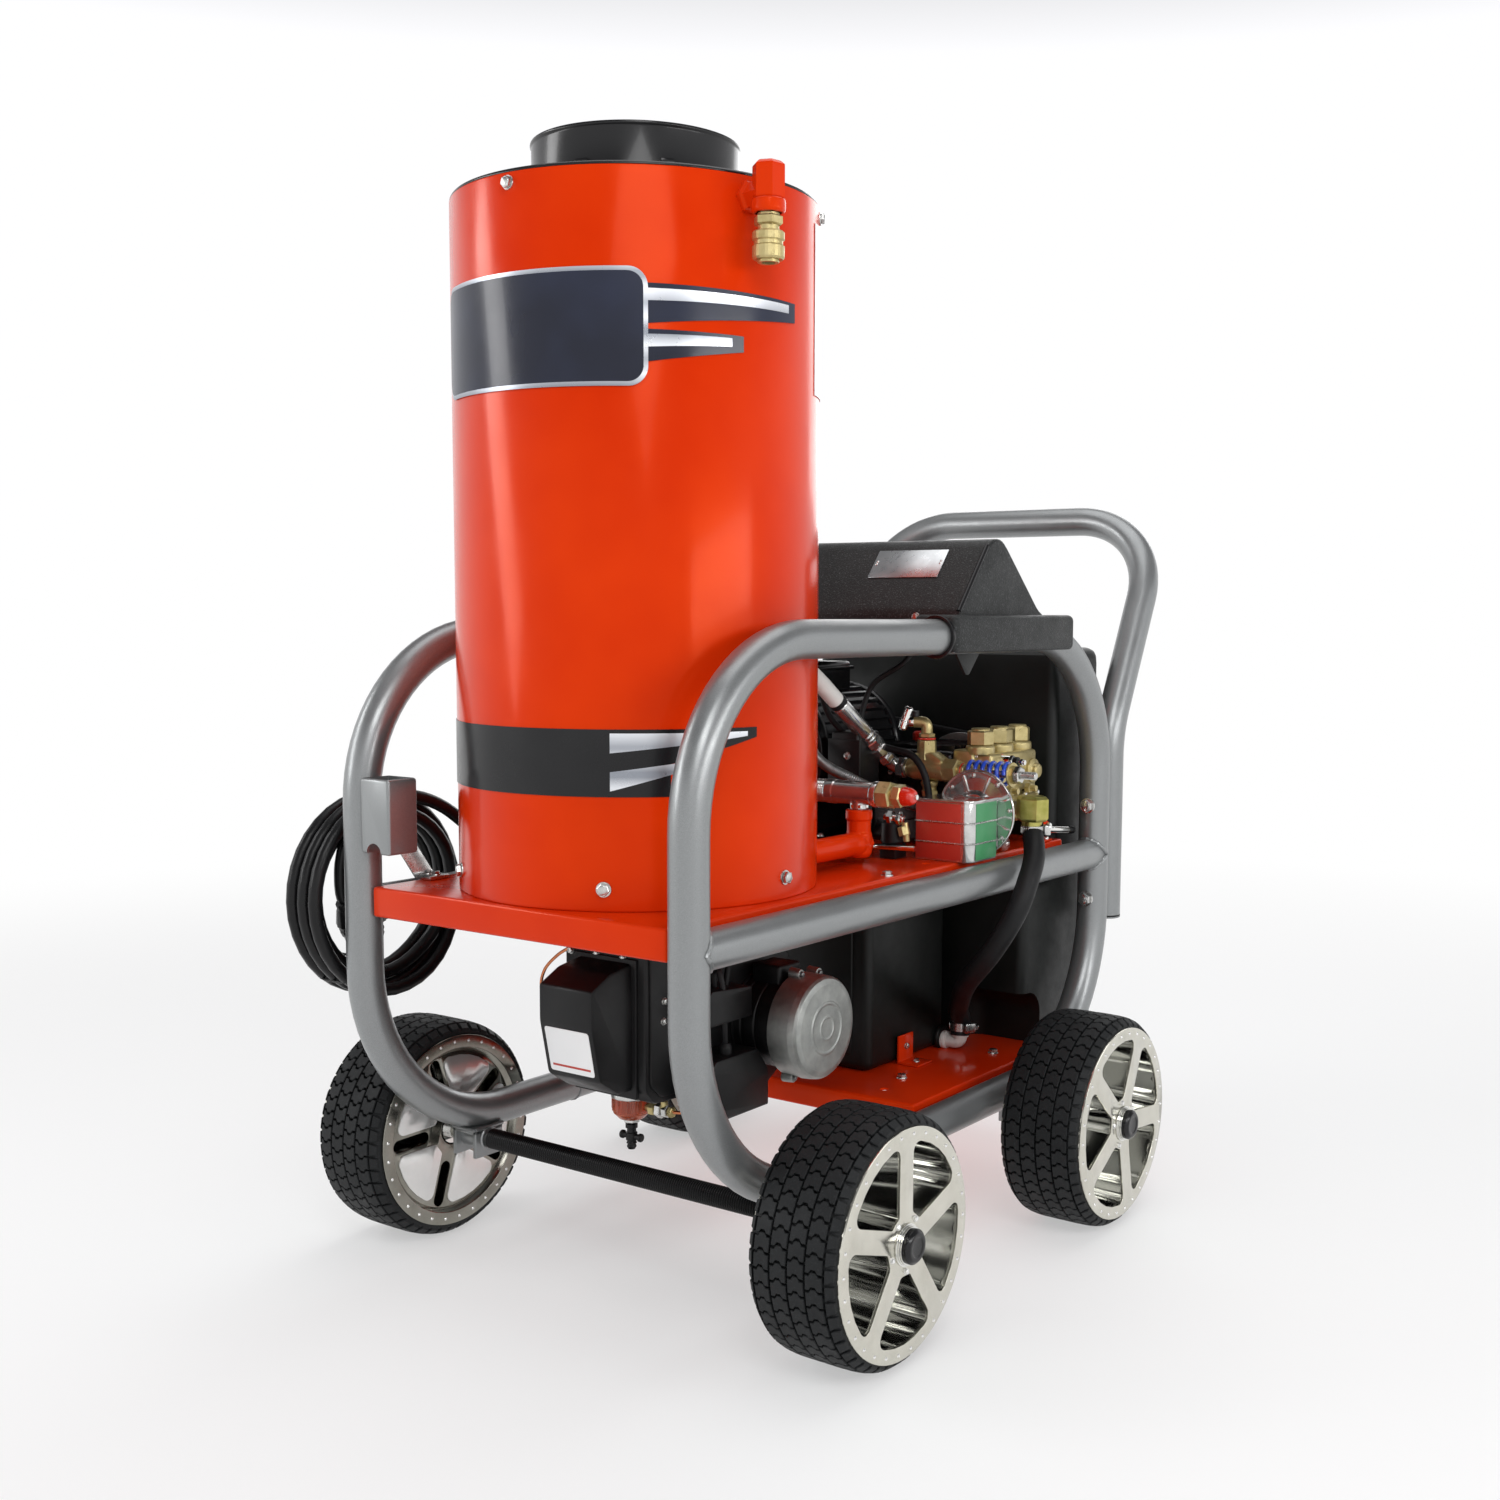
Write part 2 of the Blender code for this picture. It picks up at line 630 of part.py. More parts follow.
def pump():
    crankcase = box("pump_crankcase", (0.010, PUMP_FRONT_Y, UPPER_DECK_Z + GAP),
                    (0.1397, PUMP_REAR_Y, 0.600), "black_paint", 0.008)
    cut(crankcase, rod("crankcase_bore", (PUMP_X, 0.210, PUMP_Z), (PUMP_X, 0.280, PUMP_Z), 0.0115))
    head = box("pump_head", (0.140, PUMP_FRONT_Y, 0.500), (HEAD_FACE_X, PUMP_REAR_Y, 0.605), "brass")
    caps = [rod(f"valve_cap_{k}", (0.172, y, 0.600), (0.172, y, 0.632), 0.017, segments=12)
            for k, y in enumerate((0.143, 0.194, 0.245))]
    port = rod("inlet_port", (0.190, 0.137, 0.532), (0.250, 0.137, 0.532), 0.012, segments=12)
    block = box("inlet_block", (0.238, 0.112, 0.515), (0.276, 0.150, 0.549))
    join(head, *caps, port, block)


def unloader():
    body = rod("unloader_body", (0.085, UNLOADER_Y, UNLOADER_Z), (0.175, UNLOADER_Y, UNLOADER_Z),
               0.0148, "brass")
    neck = rod("unloader_neck", (0.113, UNLOADER_Y, UNLOADER_Z), (0.113, UNLOADER_Y, 0.631), 0.0110,
               segments=12)
    arm = rod("unloader_arm", (0.113, UNLOADER_Y, 0.622), (0.085, UNLOADER_Y - 0.012, 0.626), 0.0070,
              segments=10)
    stem = rod("unloader_stem", (0.118, UNLOADER_Y, 0.540), (0.118, UNLOADER_Y, UNLOADER_Z), 0.0090,
               segments=12)
    port = rod("unloader_port", (0.155, UNLOADER_Y, UNLOADER_Z),
               (0.155, PUMP_FRONT_Y - GAP, UNLOADER_Z), 0.0100, segments=12)
    join(body, neck, arm, stem, port)
    turns, per_turn, low, high = 5, 8, 0.1790, 0.2370
    path = []
    for k in range(turns * per_turn + 1):
        angle = math.tau * k / per_turn
        path.append((low + (high - low) * k / (turns * per_turn), UNLOADER_Y + SPRING_R * math.cos(angle),
                     UNLOADER_Z + SPRING_R * math.sin(angle)))
    tube("unloader_spring", path, SPRING_WIRE_R, "blue_paint", 1)
    turned("unloader_adjuster", [(0, 0.276), (0.005, 0.276), (0.005, 0.252), (0.0150, 0.252),
                                 (0.0150, 0.2405), (0.005, 0.2405), (0.005, 0.1753), (0, 0.1753)],
           (0, UNLOADER_Y, UNLOADER_Z), (1, 0, 0), "steel", 12)


def pressure_switch():
    case = box("pressure_switch", (0.155, 0.008, UPPER_DECK_Z + GAP), (0.236, 0.075, 0.549), "chrome", 0.004)
    dish = rod("switch_dish", (0.205, 0.0742, 0.5285), (0.205, 0.0782, 0.5285), 0.055, segments=32)
    join(case, dish)


def manifold():
    tee = turned("manifold_tee", [(0, 0.205), (0.008, 0.205), (0.010, 0.200), (0.010, 0.182), (0.016, 0.180),
                                  (0.016, 0.150), (0.0142, 0.150), (0.0142, 0.057), (0, 0.057)],
                 (0, TEE_Y, TEE_Z), (1, 0, 0), "steel", 16)
    join(tee, rod("tee_leg", (COIL_INLET_X, TEE_Y, 0.5403), (COIL_INLET_X, TEE_Y, TEE_Z), 0.0125,
                  segments=12))


def hoses():
    delivery = [(0.0844, 0.104, 0.577), (0.074, 0.104, 0.577), (0.061, 0.086, 0.591), (0.056, 0.020, 0.640),
                (0.050, -0.058, 0.6975), (0.030, -0.098, 0.735), (-0.020, -0.112, 0.745),
                (-0.075, -0.108, 0.715), (-0.100, -0.100, 0.655), (-0.080, -0.088, 0.595),
                (-0.030, -0.072, 0.564), (0.030, -0.068, 0.560), (0.0567, -0.068, 0.560)]
    tube("high_pressure_hose", hose_route(delivery, 30), 0.0095, "rubber", 2)
    suction = [(0.2580, 0.131, 0.5146), (0.2580, 0.131, 0.504), (0.2745, 0.105, 0.474),
               (0.2795, 0.080, 0.446), (0.2720, 0.062, 0.405), (0.2350, 0.068, 0.350),
               (0.1780, 0.104, 0.295), (0.1400, 0.150, 0.250), (0.1280, 0.177, 0.228),
               (0.1280, 0.177, 0.2054)]
    tube("suction_hose", hose_route(suction, 20), 0.0138, "rubber", 2)


def build_drive():
    drive_motor()
    pulley("motor_pulley", (MOTOR_X, BELT_Y, MOTOR_Z), MOTOR_GROOVE_R, "cast_grey")
    pulley("pump_pulley", (PUMP_X, BELT_Y, PUMP_Z), PUMP_GROOVE_R, "cast_grey")
    belt()
    pump()
    unloader()
    pressure_switch()
    manifold()
    hoses()


# ---------------------------------------------------------------- tanks

def build_tanks():
    seat = LOWER_DECK_Z + GAP
    tank = box("float_tank", (-0.100, -0.007, seat), (0.098, 0.192, 0.430), "black_plastic", 0.012)
    spigot = rod("tank_spigot", (0.080, 0.177, 0.195), (0.128, 0.177, 0.195), 0.0095, segments=12)
    riser = rod("tank_riser", (0.128, 0.177, 0.187), (0.128, 0.177, 0.2050), 0.0110, segments=12)
    join(tank, spigot, riser)

    outline = [(0.223, seat), (0.440, seat), (0.440, 0.735), (0.302, 0.735), (0.302, 0.415), (0.223, 0.415)]
    tank = as_mesh(extruded("fuel_tank", [outline], -0.200, 0.200, "X", "black_plastic"))
    bevel = tank.modifiers.new("edges", "BEVEL")
    bevel.width = 0.014
    bevel.segments = 2
    join(tank, rod("filler_neck", (0, 0.371, 0.72), (0, 0.371, 0.750), 0.028, segments=20))
    turned("fuel_cap", [(0, 0.022), (0.031, 0.022), (0.034, 0.018), (0.034, 0), (0, 0)],
           (0, 0.371, 0.750 + GAP), (0, 0, 1), "red_plastic", 20)


# ---------------------------------------------------------------- hood and controls

def hood_outline(inset):
    """Hood section in Y and Z, with the wall taken off it when inset is the wall's thickness."""
    floor = 0.735 - (0.01 if inset else 0)
    return [(-0.040 + inset, floor), (-0.040 + inset, 0.784 - inset / 2), (0.031 + inset / 3, 0.869 - inset),
            (0.045, 0.875 - inset), (0.062, 0.875 - inset),
            (HOOD_REAR_RIDGE[0] - inset / 3, HOOD_REAR_RIDGE[1] - inset),
            (HOOD_REAR_FOOT[0] - inset / 3, HOOD_REAR_FOOT[1] - inset), (0.180 - inset, 0.780 - inset),
            (0.184 - inset, floor)]


def control_hood():
    section = extruded("control_hood", [hood_outline(0)], -HOOD_HALF_X, HOOD_HALF_X, "X", "black_plastic")
    hood = as_mesh(section)
    inside = HOOD_HALF_X - HOOD_WALL
    saddle = {}
    for hand, side in (("left", -1), ("right", 1)):
        near, far = sorted((side * 0.205, side * 0.2660))
        saddle[hand] = box(f"{hand}_saddle", (near, -0.0845, 0.735), (far, 0.226, 0.7815))
        join(hood, saddle[hand])
    cut(hood, as_mesh(extruded("hood_inside", [hood_outline(HOOD_WALL)], -inside, inside, "X")))
    for hand, side in (("left", -1), ("right", 1)):
        cut(hood, loop_tube(f"{hand}_rail_room", side, TUBE_R + 2 * GAP))
        near, far = sorted((side * 0.200, side * (LOOP_X + TUBE_R + GAP)))
        cut(hood, box(f"{hand}_saddle_room", (near, -0.0805, 0.70), (far, 0.222, TOP_RAIL_Z)))
    return hood


def on_rear_slope(x, share, lift):
    """Point above the hood's rear slope, share of the way down it, and the slope's normal."""
    ridge, foot = Vector((0, *HOOD_REAR_RIDGE)), Vector((0, *HOOD_REAR_FOOT))
    down = (foot - ridge).normalized()
    normal = Vector((0, -down.z, down.y))
    return ridge.lerp(foot, share) + Vector((x, 0, 0)) + normal * lift, normal


def controls(hood):
    seat, normal = on_rear_slope(0.070, 0.5, GAP)
    turned("thermostat_knob", [(0, 0.018), (0.018, 0.018), (0.021, 0.014), (0.022, 0), (0, 0)],
           seat, normal, "black_plastic", 24)
    seat, normal = on_rear_slope(-0.080, 0.5, 0.0005)
    tilt = math.atan2(-normal.y, normal.z)
    rocker = box("rocker_switch", (-0.009, -0.014, -0.005), (0.009, 0.014, 0.005), "red_plastic")
    window = box("switch_window", (-0.0105, -0.0165, -0.012), (0.0105, 0.0165, 0.012))
    for piece in (rocker, window):
        piece.location = seat
        piece.rotation_euler.x = tilt
    cut(hood, window)


# ---------------------------------------------------------------- power cord

def power_cord():
    front = -0.040 - GAP
    turned("cord_gland", [(0, 0.020), (0.010, 0.020), (0.012, 0.013), (0.016, 0.011), (0.016, 0), (0, 0)],
           (GLAND_X, front, GLAND_Z), (0, -1, 0), "black_plastic", 16)
    route = [(GLAND_X, front - 0.0206, GLAND_Z), (GLAND_X, -0.085, GLAND_Z), (-0.157, -0.122, 0.745),
             (-0.176, -0.146, 0.700), (-0.200, -0.152, 0.640), (-0.221, -0.150, 0.580),
             (-0.234, -0.158, 0.530), (-0.2397, -0.190, 0.491), (-0.2397, -0.235, 0.4790),
             (-0.2400, -0.285, 0.4810), (-0.2480, -0.320, 0.4930), (-0.2590, -0.3480, 0.5090),
             (-0.2640, -0.3600, 0.5160)]
    tube("power_lead", hose_route(route, 30), CORD_R, "rubber", 2)
    inner, outer = CORD_COIL_INNER_R, CORD_COIL_OUTER_R
    far, near = CORD_COIL_X
    coil = turned("cord_coil", [(outer, near), (outer, far), (inner, far), (inner, near)],
                  (0, CORD_COIL_Y, CORD_COIL_Z), (1, 0, 0), "rubber", 32, ring=True)
    axis, seat = plug_seat()
    join(coil, as_mesh(tube("cord_tail", tail_route(seat, axis), CORD_R, None, 2)))
    turned("cord_plug", [(0, 0.064), (0.019, 0.064), (0.024, 0.058), (0.024, 0.025), (0.013, 0), (0, 0)],
           seat, axis, "black_plastic", 16)


def in_coil(radius, angle, x):
    return Vector((x, CORD_COIL_Y + radius * math.cos(angle), CORD_COIL_Z + radius * math.sin(angle)))


def plug_seat():
    """Direction of the plug and the point where the cord enters it, inside the coil."""
    angle = math.radians(PLUG_ANGLE)
    axis = Vector((0, -math.sin(angle), math.cos(angle)))
    return axis, in_coil(PLUG_R, angle, PLUG_X) - axis * 0.032


def tail_route(seat, axis):
    """From the coil's inner turn round to the plug, ending square to it."""
    points = []
    for degrees, radius, x in ((116, 0.0955, -0.2840), (130, 0.0905, -0.2860), (145, 0.0820, -0.2885),
                               (161, 0.0712, -0.2910)):
        points.append(in_coil(radius, math.radians(degrees), x))
    points += [seat - axis * 0.007, seat - axis * GAP]
    return hose_route(points, 12)


build_frame()
build_wheels()
build_boiler()
build_burner()
build_drive()
build_tanks()
controls(control_hood())
power_cord()
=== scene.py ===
import math

import bmesh
import bpy
from mathutils import Matrix, Vector


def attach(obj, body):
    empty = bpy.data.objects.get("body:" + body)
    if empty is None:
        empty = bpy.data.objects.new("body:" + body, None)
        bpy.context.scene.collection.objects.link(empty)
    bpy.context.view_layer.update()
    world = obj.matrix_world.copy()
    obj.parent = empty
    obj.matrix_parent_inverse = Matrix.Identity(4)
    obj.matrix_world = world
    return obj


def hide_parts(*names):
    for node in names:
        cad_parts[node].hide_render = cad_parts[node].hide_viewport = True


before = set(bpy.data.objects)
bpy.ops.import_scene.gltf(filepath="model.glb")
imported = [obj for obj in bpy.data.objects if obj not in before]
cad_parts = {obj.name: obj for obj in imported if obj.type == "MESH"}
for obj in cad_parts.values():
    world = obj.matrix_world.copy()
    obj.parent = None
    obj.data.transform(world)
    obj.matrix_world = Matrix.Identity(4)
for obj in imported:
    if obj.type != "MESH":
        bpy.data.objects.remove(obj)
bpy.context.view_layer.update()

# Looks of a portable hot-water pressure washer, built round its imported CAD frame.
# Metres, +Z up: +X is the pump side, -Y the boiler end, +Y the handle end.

# Driving dimensions, the same as the frame's
TUBE_R = 0.0211
LOOP_X = 0.2397
FRONT_LEG_Y = -0.5491
REAR_LEG_Y = 0.3489
LOW_RAIL_Z = 0.1628
MID_RAIL_Z = 0.4485
TOP_RAIL_Z = 0.7549
AXLE_Z = 0.135
FRONT_AXLE_Y = -0.3778
REAR_AXLE_Y = 0.1447
BOILER_Y = -0.3452
BOILER_R = 0.205
UPPER_DECK_Z = 0.472
LOWER_DECK_Z = 0.184
X, Y, Z = Vector((1, 0, 0)), Vector((0, 1, 0)), Vector((0, 0, 1))


# ---------------------------------------------------------------- materials

class Finish:
    """One procedural material: a Principled shader and the nodes that feed it."""

    def __init__(self, name, slot, **sockets):
        self.slot = slot
        self.material = bpy.data.materials.new(name)
        self.material.use_nodes = True
        self.tree = self.material.node_tree
        self.shader = self.tree.nodes["Principled BSDF"]
        self.place = self.tree.nodes.new("ShaderNodeTexCoord").outputs["Object"]
        self.height = None
        for socket, value in sockets.items():
            self.shader.inputs[socket.replace("_", " ")].default_value = value

    def node(self, kind, inputs=None, **settings):
        made = self.tree.nodes.new(kind)
        for key, value in settings.items():
            setattr(made, key, value)
        for key, value in (inputs or {}).items():
            if isinstance(value, bpy.types.NodeSocket):
                self.tree.links.new(value, made.inputs[key])
            else:
                made.inputs[key].default_value = value
        return made

    def noise(self, scale, detail=4.0, roughness=0.6, distortion=0.0, stretch=None):
        place = self.place
        if stretch:
            place = self.node("ShaderNodeMapping", {"Vector": place, "Scale": stretch}).outputs["Vector"]
        return self.node("ShaderNodeTexNoise", {"Vector": place, "Scale": scale, "Detail": detail,
                                                "Roughness": roughness,
                                                "Distortion": distortion}).outputs["Fac"]

    def band(self, value, low, high, out_low=0.0, out_high=1.0):
        return self.node("ShaderNodeMapRange", {"Value": value, "From Min": low, "From Max": high,
                                                "To Min": out_low, "To Max": out_high}).outputs["Result"]

    def colours(self, value, *stops):
        ramp = self.node("ShaderNodeValToRGB", {"Fac": value})
        points = ramp.color_ramp.elements
        for point, (at, colour) in zip(points, (stops[0], stops[-1])):
            point.position, point.color = at, (*colour, 1)
        for at, colour in stops[1:-1]:
            points.new(at).color = (*colour, 1)
        return ramp.outputs["Color"]

    def blend(self, factor, first, second):
        mixer = self.node("ShaderNodeMix", data_type="RGBA")
        self.tree.links.new(factor, mixer.inputs[0])
        for index, value in ((6, first), (7, second)):
            if isinstance(value, bpy.types.NodeSocket):
                self.tree.links.new(value, mixer.inputs[index])
            else:
                mixer.inputs[index].default_value = (*value, 1)
        return mixer.outputs[2]

    def base(self, colour):
        self.tree.links.new(colour, self.shader.inputs["Base Color"])
        return self

    def rough(self, value, low, high, at=(0.3, 0.7)):
        self.tree.links.new(self.band(value, at[0], at[1], low, high), self.shader.inputs["Roughness"])
        return self

    def bump(self, height, strength, distance):
        inputs = {"Height": height, "Strength": strength, "Distance": distance}
        if self.height:
            inputs["Normal"] = self.height
        self.height = self.node("ShaderNodeBump", inputs).outputs["Normal"]
        self.tree.links.new(self.height, self.shader.inputs["Normal"])
        return self

    def edges(self, low=0.52, high=0.60):
        """Factor that rises along worn, convex edges."""
        pointiness = self.node("ShaderNodeNewGeometry").outputs["Pointiness"]
        return self.band(pointiness, low, high)


def enamel(name, slot, dark, light, rough=(0.18, 0.30), coat=0.6, peel=0.05):
    """Sprayed gloss paint: soft colour drift, faint dust and orange peel."""
    paint = Finish(name, slot, Coat_Weight=coat, Coat_Roughness=0.06, IOR=1.5)
    drift = paint.colours(paint.noise(5, 3), (0.35, dark), (0.65, light))
    dust = paint.band(paint.noise(900, 2, 0.7), 0.66, 0.80, 0.0, 0.12)
    paint.base(paint.blend(dust, drift, tuple(min(1, c * 1.5 + 0.03) for c in light)))
    paint.rough(paint.noise(14, 5), *rough)
    return paint.bump(paint.noise(260, 2, 0.4), peel, 0.0006)


def metal(name, slot, dark, light, rough, scale=40, grain=0.08, stretch=None, scale_grain=900, metallic=1.0):
    """Bare or plated metal: tarnish drift, smudged gloss and a fine surface grain."""
    made = Finish(name, slot, Metallic=metallic)
    made.base(made.colours(made.noise(scale, 6, 0.65), (0.30, dark), (0.70, light)))
    made.rough(made.noise(scale * 1.7, 5, 0.7), *rough)
    return made.bump(made.noise(scale_grain, 3, 0.6, stretch=stretch), grain, 0.0004)


def moulded(name, slot, dark, light, rough=(0.42, 0.62), pebble=420, depth=0.5, fleck=None):
    """Moulded plastic or rubber: pebbled skin, scuffs and lighter grey flecks on the raised pebbles."""
    made = Finish(name, slot, IOR=1.48, Specular_IOR_Level=0.30)
    skin = made.noise(pebble, 3, 0.65)
    shade = made.colours(made.noise(9, 6, 0.7), (0.3, dark), (0.7, light))
    if fleck:
        shade = made.blend(made.band(skin, 0.56, 0.72), shade, fleck)
    made.base(shade)
    made.rough(made.noise(30, 5, 0.7), *rough)
    return made.bump(skin, depth, 0.0008)


def make_finishes():
    made = {}
    made["orange"] = enamel("orange_enamel", "orange", (0.58, 0.024, 0.0012), (0.65, 0.034, 0.0020),
                            (0.14, 0.24), 0.03)
    made["orange"].shader.inputs["Specular IOR Level"].default_value = 0.42
    made["orange"].shader.inputs["Specular Tint"].default_value = (1.0, 0.22, 0.07, 1)
    made["black_gloss"] = enamel("black_enamel", "black_metal", (0.004, 0.004, 0.0045), (0.010, 0.010, 0.011),
                                 (0.16, 0.28), 0.12)
    made["red"] = enamel("red_dip", "red_plastic", (0.55, 0.016, 0.006), (0.68, 0.030, 0.010))
    made["red_label"] = enamel("red_label", "red_plastic", (0.36, 0.022, 0.014), (0.46, 0.034, 0.020),
                               (0.35, 0.5), 0.1)
    # Painted reflection: the switch's black plastic side, coloured with the green light it reflects.
    made["painted_green_reflection"] = enamel("painted_green_reflection", "black_plastic", (0.030, 0.19, 0.070), (0.045, 0.25, 0.095),
                                 (0.35, 0.5), 0.1)
    made["white_label"] = enamel("white_label", "frame_silver", (0.70, 0.71, 0.72), (0.80, 0.80, 0.80),
                                 (0.3, 0.5), 0.1)
    made["blue"] = enamel("blue_enamel", "spring_blue", (0.008, 0.045, 0.42), (0.015, 0.075, 0.60))
    made["navy"] = enamel("navy_vinyl", "black_metal", (0.006, 0.008, 0.020), (0.016, 0.022, 0.050),
                          (0.16, 0.26), 0.12, 0.02)
    made["black_vinyl"] = enamel("black_vinyl", "black_metal", (0.004, 0.004, 0.005), (0.010, 0.010, 0.011),
                                 (0.20, 0.32), 0.05, 0.02)
    for name in ("black_gloss", "navy", "black_vinyl"):
        made[name].shader.inputs["Specular IOR Level"].default_value = 0.30
    silver = Finish("silver_paint", "frame_silver", Metallic=0.72, Coat_Weight=0.15, Coat_Roughness=0.2)
    flake = silver.noise(2600, 1, 0.5)
    silver.base(silver.colours(flake, (0.30, (0.20, 0.21, 0.213)), (0.72, (0.35, 0.36, 0.363))))
    silver.rough(silver.noise(22, 5, 0.7), 0.29, 0.41)
    silver.bump(silver.noise(700, 3, 0.6), 0.10, 0.0005)
    made["silver"] = silver
    foil = Finish("silver_vinyl_painted_reflection", "frame_silver", Metallic=0.85)
    # The foil's colour runs dark, bright and dark again in bands by height: painted reflection on the silver
    # stripes.
    lift = foil.node("ShaderNodeSeparateXYZ", {"Vector": foil.place}).outputs["Z"]
    wave = foil.node("ShaderNodeMath", {0: lift, 1: 0.028}, operation="PINGPONG").outputs["Value"]
    foil.base(foil.colours(foil.band(wave, 0.0, 0.028), (0.1, (0.30, 0.32, 0.36)), (0.5, (0.78, 0.80, 0.84)),
                           (0.95, (0.40, 0.42, 0.46))))
    foil.rough(foil.noise(60, 4), 0.25, 0.38)
    made["foil"] = foil.bump(foil.noise(500, 2), 0.03, 0.0003)
    made["chrome"] = metal("chrome", "chrome", (0.74, 0.74, 0.71), (0.86, 0.86, 0.83), (0.03, 0.11), 18,
                           0.02, None, 60)
    made["mirror"] = metal("mirror_chrome", "chrome", (0.80, 0.80, 0.77), (0.88, 0.88, 0.86), (0.03, 0.09),
                           12, 0.003, None, 25)
    # A brighter, less mirror-like copy of the chrome: painted reflection for the pale pocket backs, also used
    # on the rim rivets.
    made["painted_reflection_chrome"] = metal("chrome_back_painted_reflection", "chrome", (0.76, 0.76, 0.75), (0.90, 0.90, 0.88),
                                (0.14, 0.26), 16, 0.01, None, 40, metallic=0.72)
    made["zinc"] = metal("bright_zinc", "chrome", (0.50, 0.50, 0.49), (0.68, 0.68, 0.67), (0.10, 0.20), 60,
                         0.05, None, 400, metallic=0.92)
    # A darker copy of the rim metal for the barrel and back plate: painted shade for the wheel's inner side.
    made["painted_shade_rim"] = metal("painted_shade_rim", "chrome", (0.24, 0.235, 0.20), (0.36, 0.35, 0.31),
                               (0.14, 0.24), 24, 0.02)
    made["rim_face"] = metal("machined_rim_face", "chrome", (0.60, 0.585, 0.515), (0.70, 0.685, 0.61),
                             (0.16, 0.24), 30, 0.02)
    made["steel"] = metal("zinc_plated_steel", "steel", (0.50, 0.50, 0.49), (0.66, 0.66, 0.64),
                          (0.20, 0.36), 90)
    made["dark_steel"] = metal("dark_steel", "steel", (0.16, 0.16, 0.16), (0.30, 0.30, 0.30), (0.3, 0.5), 60)
    made["brass"] = metal("brass", "brass", (0.42, 0.34, 0.145), (0.58, 0.485, 0.24), (0.26, 0.42), 70,
                          0.10, metallic=0.72)
    made["olive_brass"] = metal("olive_brass", "brass", (0.34, 0.33, 0.08), (0.52, 0.47, 0.16),
                                (0.28, 0.42), 60, 0.12)
    made["copper"] = metal("copper_line", "brass", (0.50, 0.16, 0.07), (0.72, 0.30, 0.15), (0.2, 0.35), 80)
    made["cast"] = metal("cast_aluminium", "motor_grey", (0.30, 0.31, 0.30), (0.44, 0.45, 0.43),
                         (0.42, 0.58), 50, 0.35, None, 1400)
    made["plate"] = metal("brushed_nameplate", "steel", (0.42, 0.43, 0.44), (0.60, 0.61, 0.62),
                          (0.22, 0.36), 30, 0.15, (1, 40, 40), 60)
    made["hood"] = moulded("textured_hood", "black_plastic", (0.005, 0.006, 0.006), (0.012, 0.013, 0.013),
                           (0.34, 0.5), 520, 0.7, (0.075, 0.080, 0.082))
    made["tank"] = moulded("moulded_tank", "black_plastic", (0.002, 0.003, 0.0025), (0.005, 0.006, 0.0055),
                           (0.38, 0.55), 700, 0.25)
    made["plastic"] = moulded("black_moulding", "black_plastic", (0.003, 0.003, 0.0035),
                              (0.008, 0.008, 0.0085), (0.30, 0.46), 900, 0.2)
    made["tyre"] = moulded("tyre_rubber", "tyre", (0.004, 0.005, 0.0055), (0.011, 0.012, 0.013),
                           (0.50, 0.70), 600, 0.25, (0.024, 0.026, 0.028))
    made["hose"] = moulded("hose_rubber", "hose_rubber", (0.004, 0.004, 0.0045), (0.010, 0.010, 0.011),
                           (0.45, 0.62), 500, 0.35)
    made["jacket"] = moulded("cord_jacket", "cord", (0.003, 0.003, 0.0035), (0.008, 0.008, 0.0085),
                             (0.24, 0.40), 300, 0.12)
    made["nylon"] = moulded("white_nylon", "frame_silver", (0.66, 0.67, 0.64), (0.78, 0.78, 0.75),
                            (0.35, 0.5), 300, 0.1)
    made["red_plastic"] = moulded("red_moulding", "red_plastic", (0.38, 0.018, 0.010), (0.50, 0.028, 0.016),
                                  (0.25, 0.4), 600, 0.1)
    amber = Finish("tinted_bowl", "amber", Transmission_Weight=0.75, IOR=1.46)
    amber.base(amber.colours(amber.noise(40, 4), (0.3, (0.62, 0.13, 0.06)), (0.7, (0.85, 0.26, 0.14))))
    amber.rough(amber.noise(90, 4), 0.05, 0.16)
    made["amber"] = amber.bump(amber.noise(200, 2), 0.05, 0.0004)
    soot = Finish("sooty_steel", "steel", Metallic=0.6)
    soot.base(soot.colours(soot.noise(25, 6, 0.7), (0.3, (0.03, 0.028, 0.026)), (0.7, (0.14, 0.12, 0.105))))
    soot.rough(soot.noise(40, 4), 0.5, 0.8)
    made["soot"] = soot.bump(soot.noise(300, 4), 0.4, 0.0008)
    return made


FINISHES = make_finishes()


# ---------------------------------------------------------------- shapes

def aimed(base, direction, spin=0.0):
    """Matrix with its origin at base and its local Z along direction."""
    turn = Z.rotation_difference(Vector(direction).normalized()).to_matrix().to_4x4()
    return Matrix.Translation(base) @ turn @ Matrix.Rotation(spin, 4, "Z")


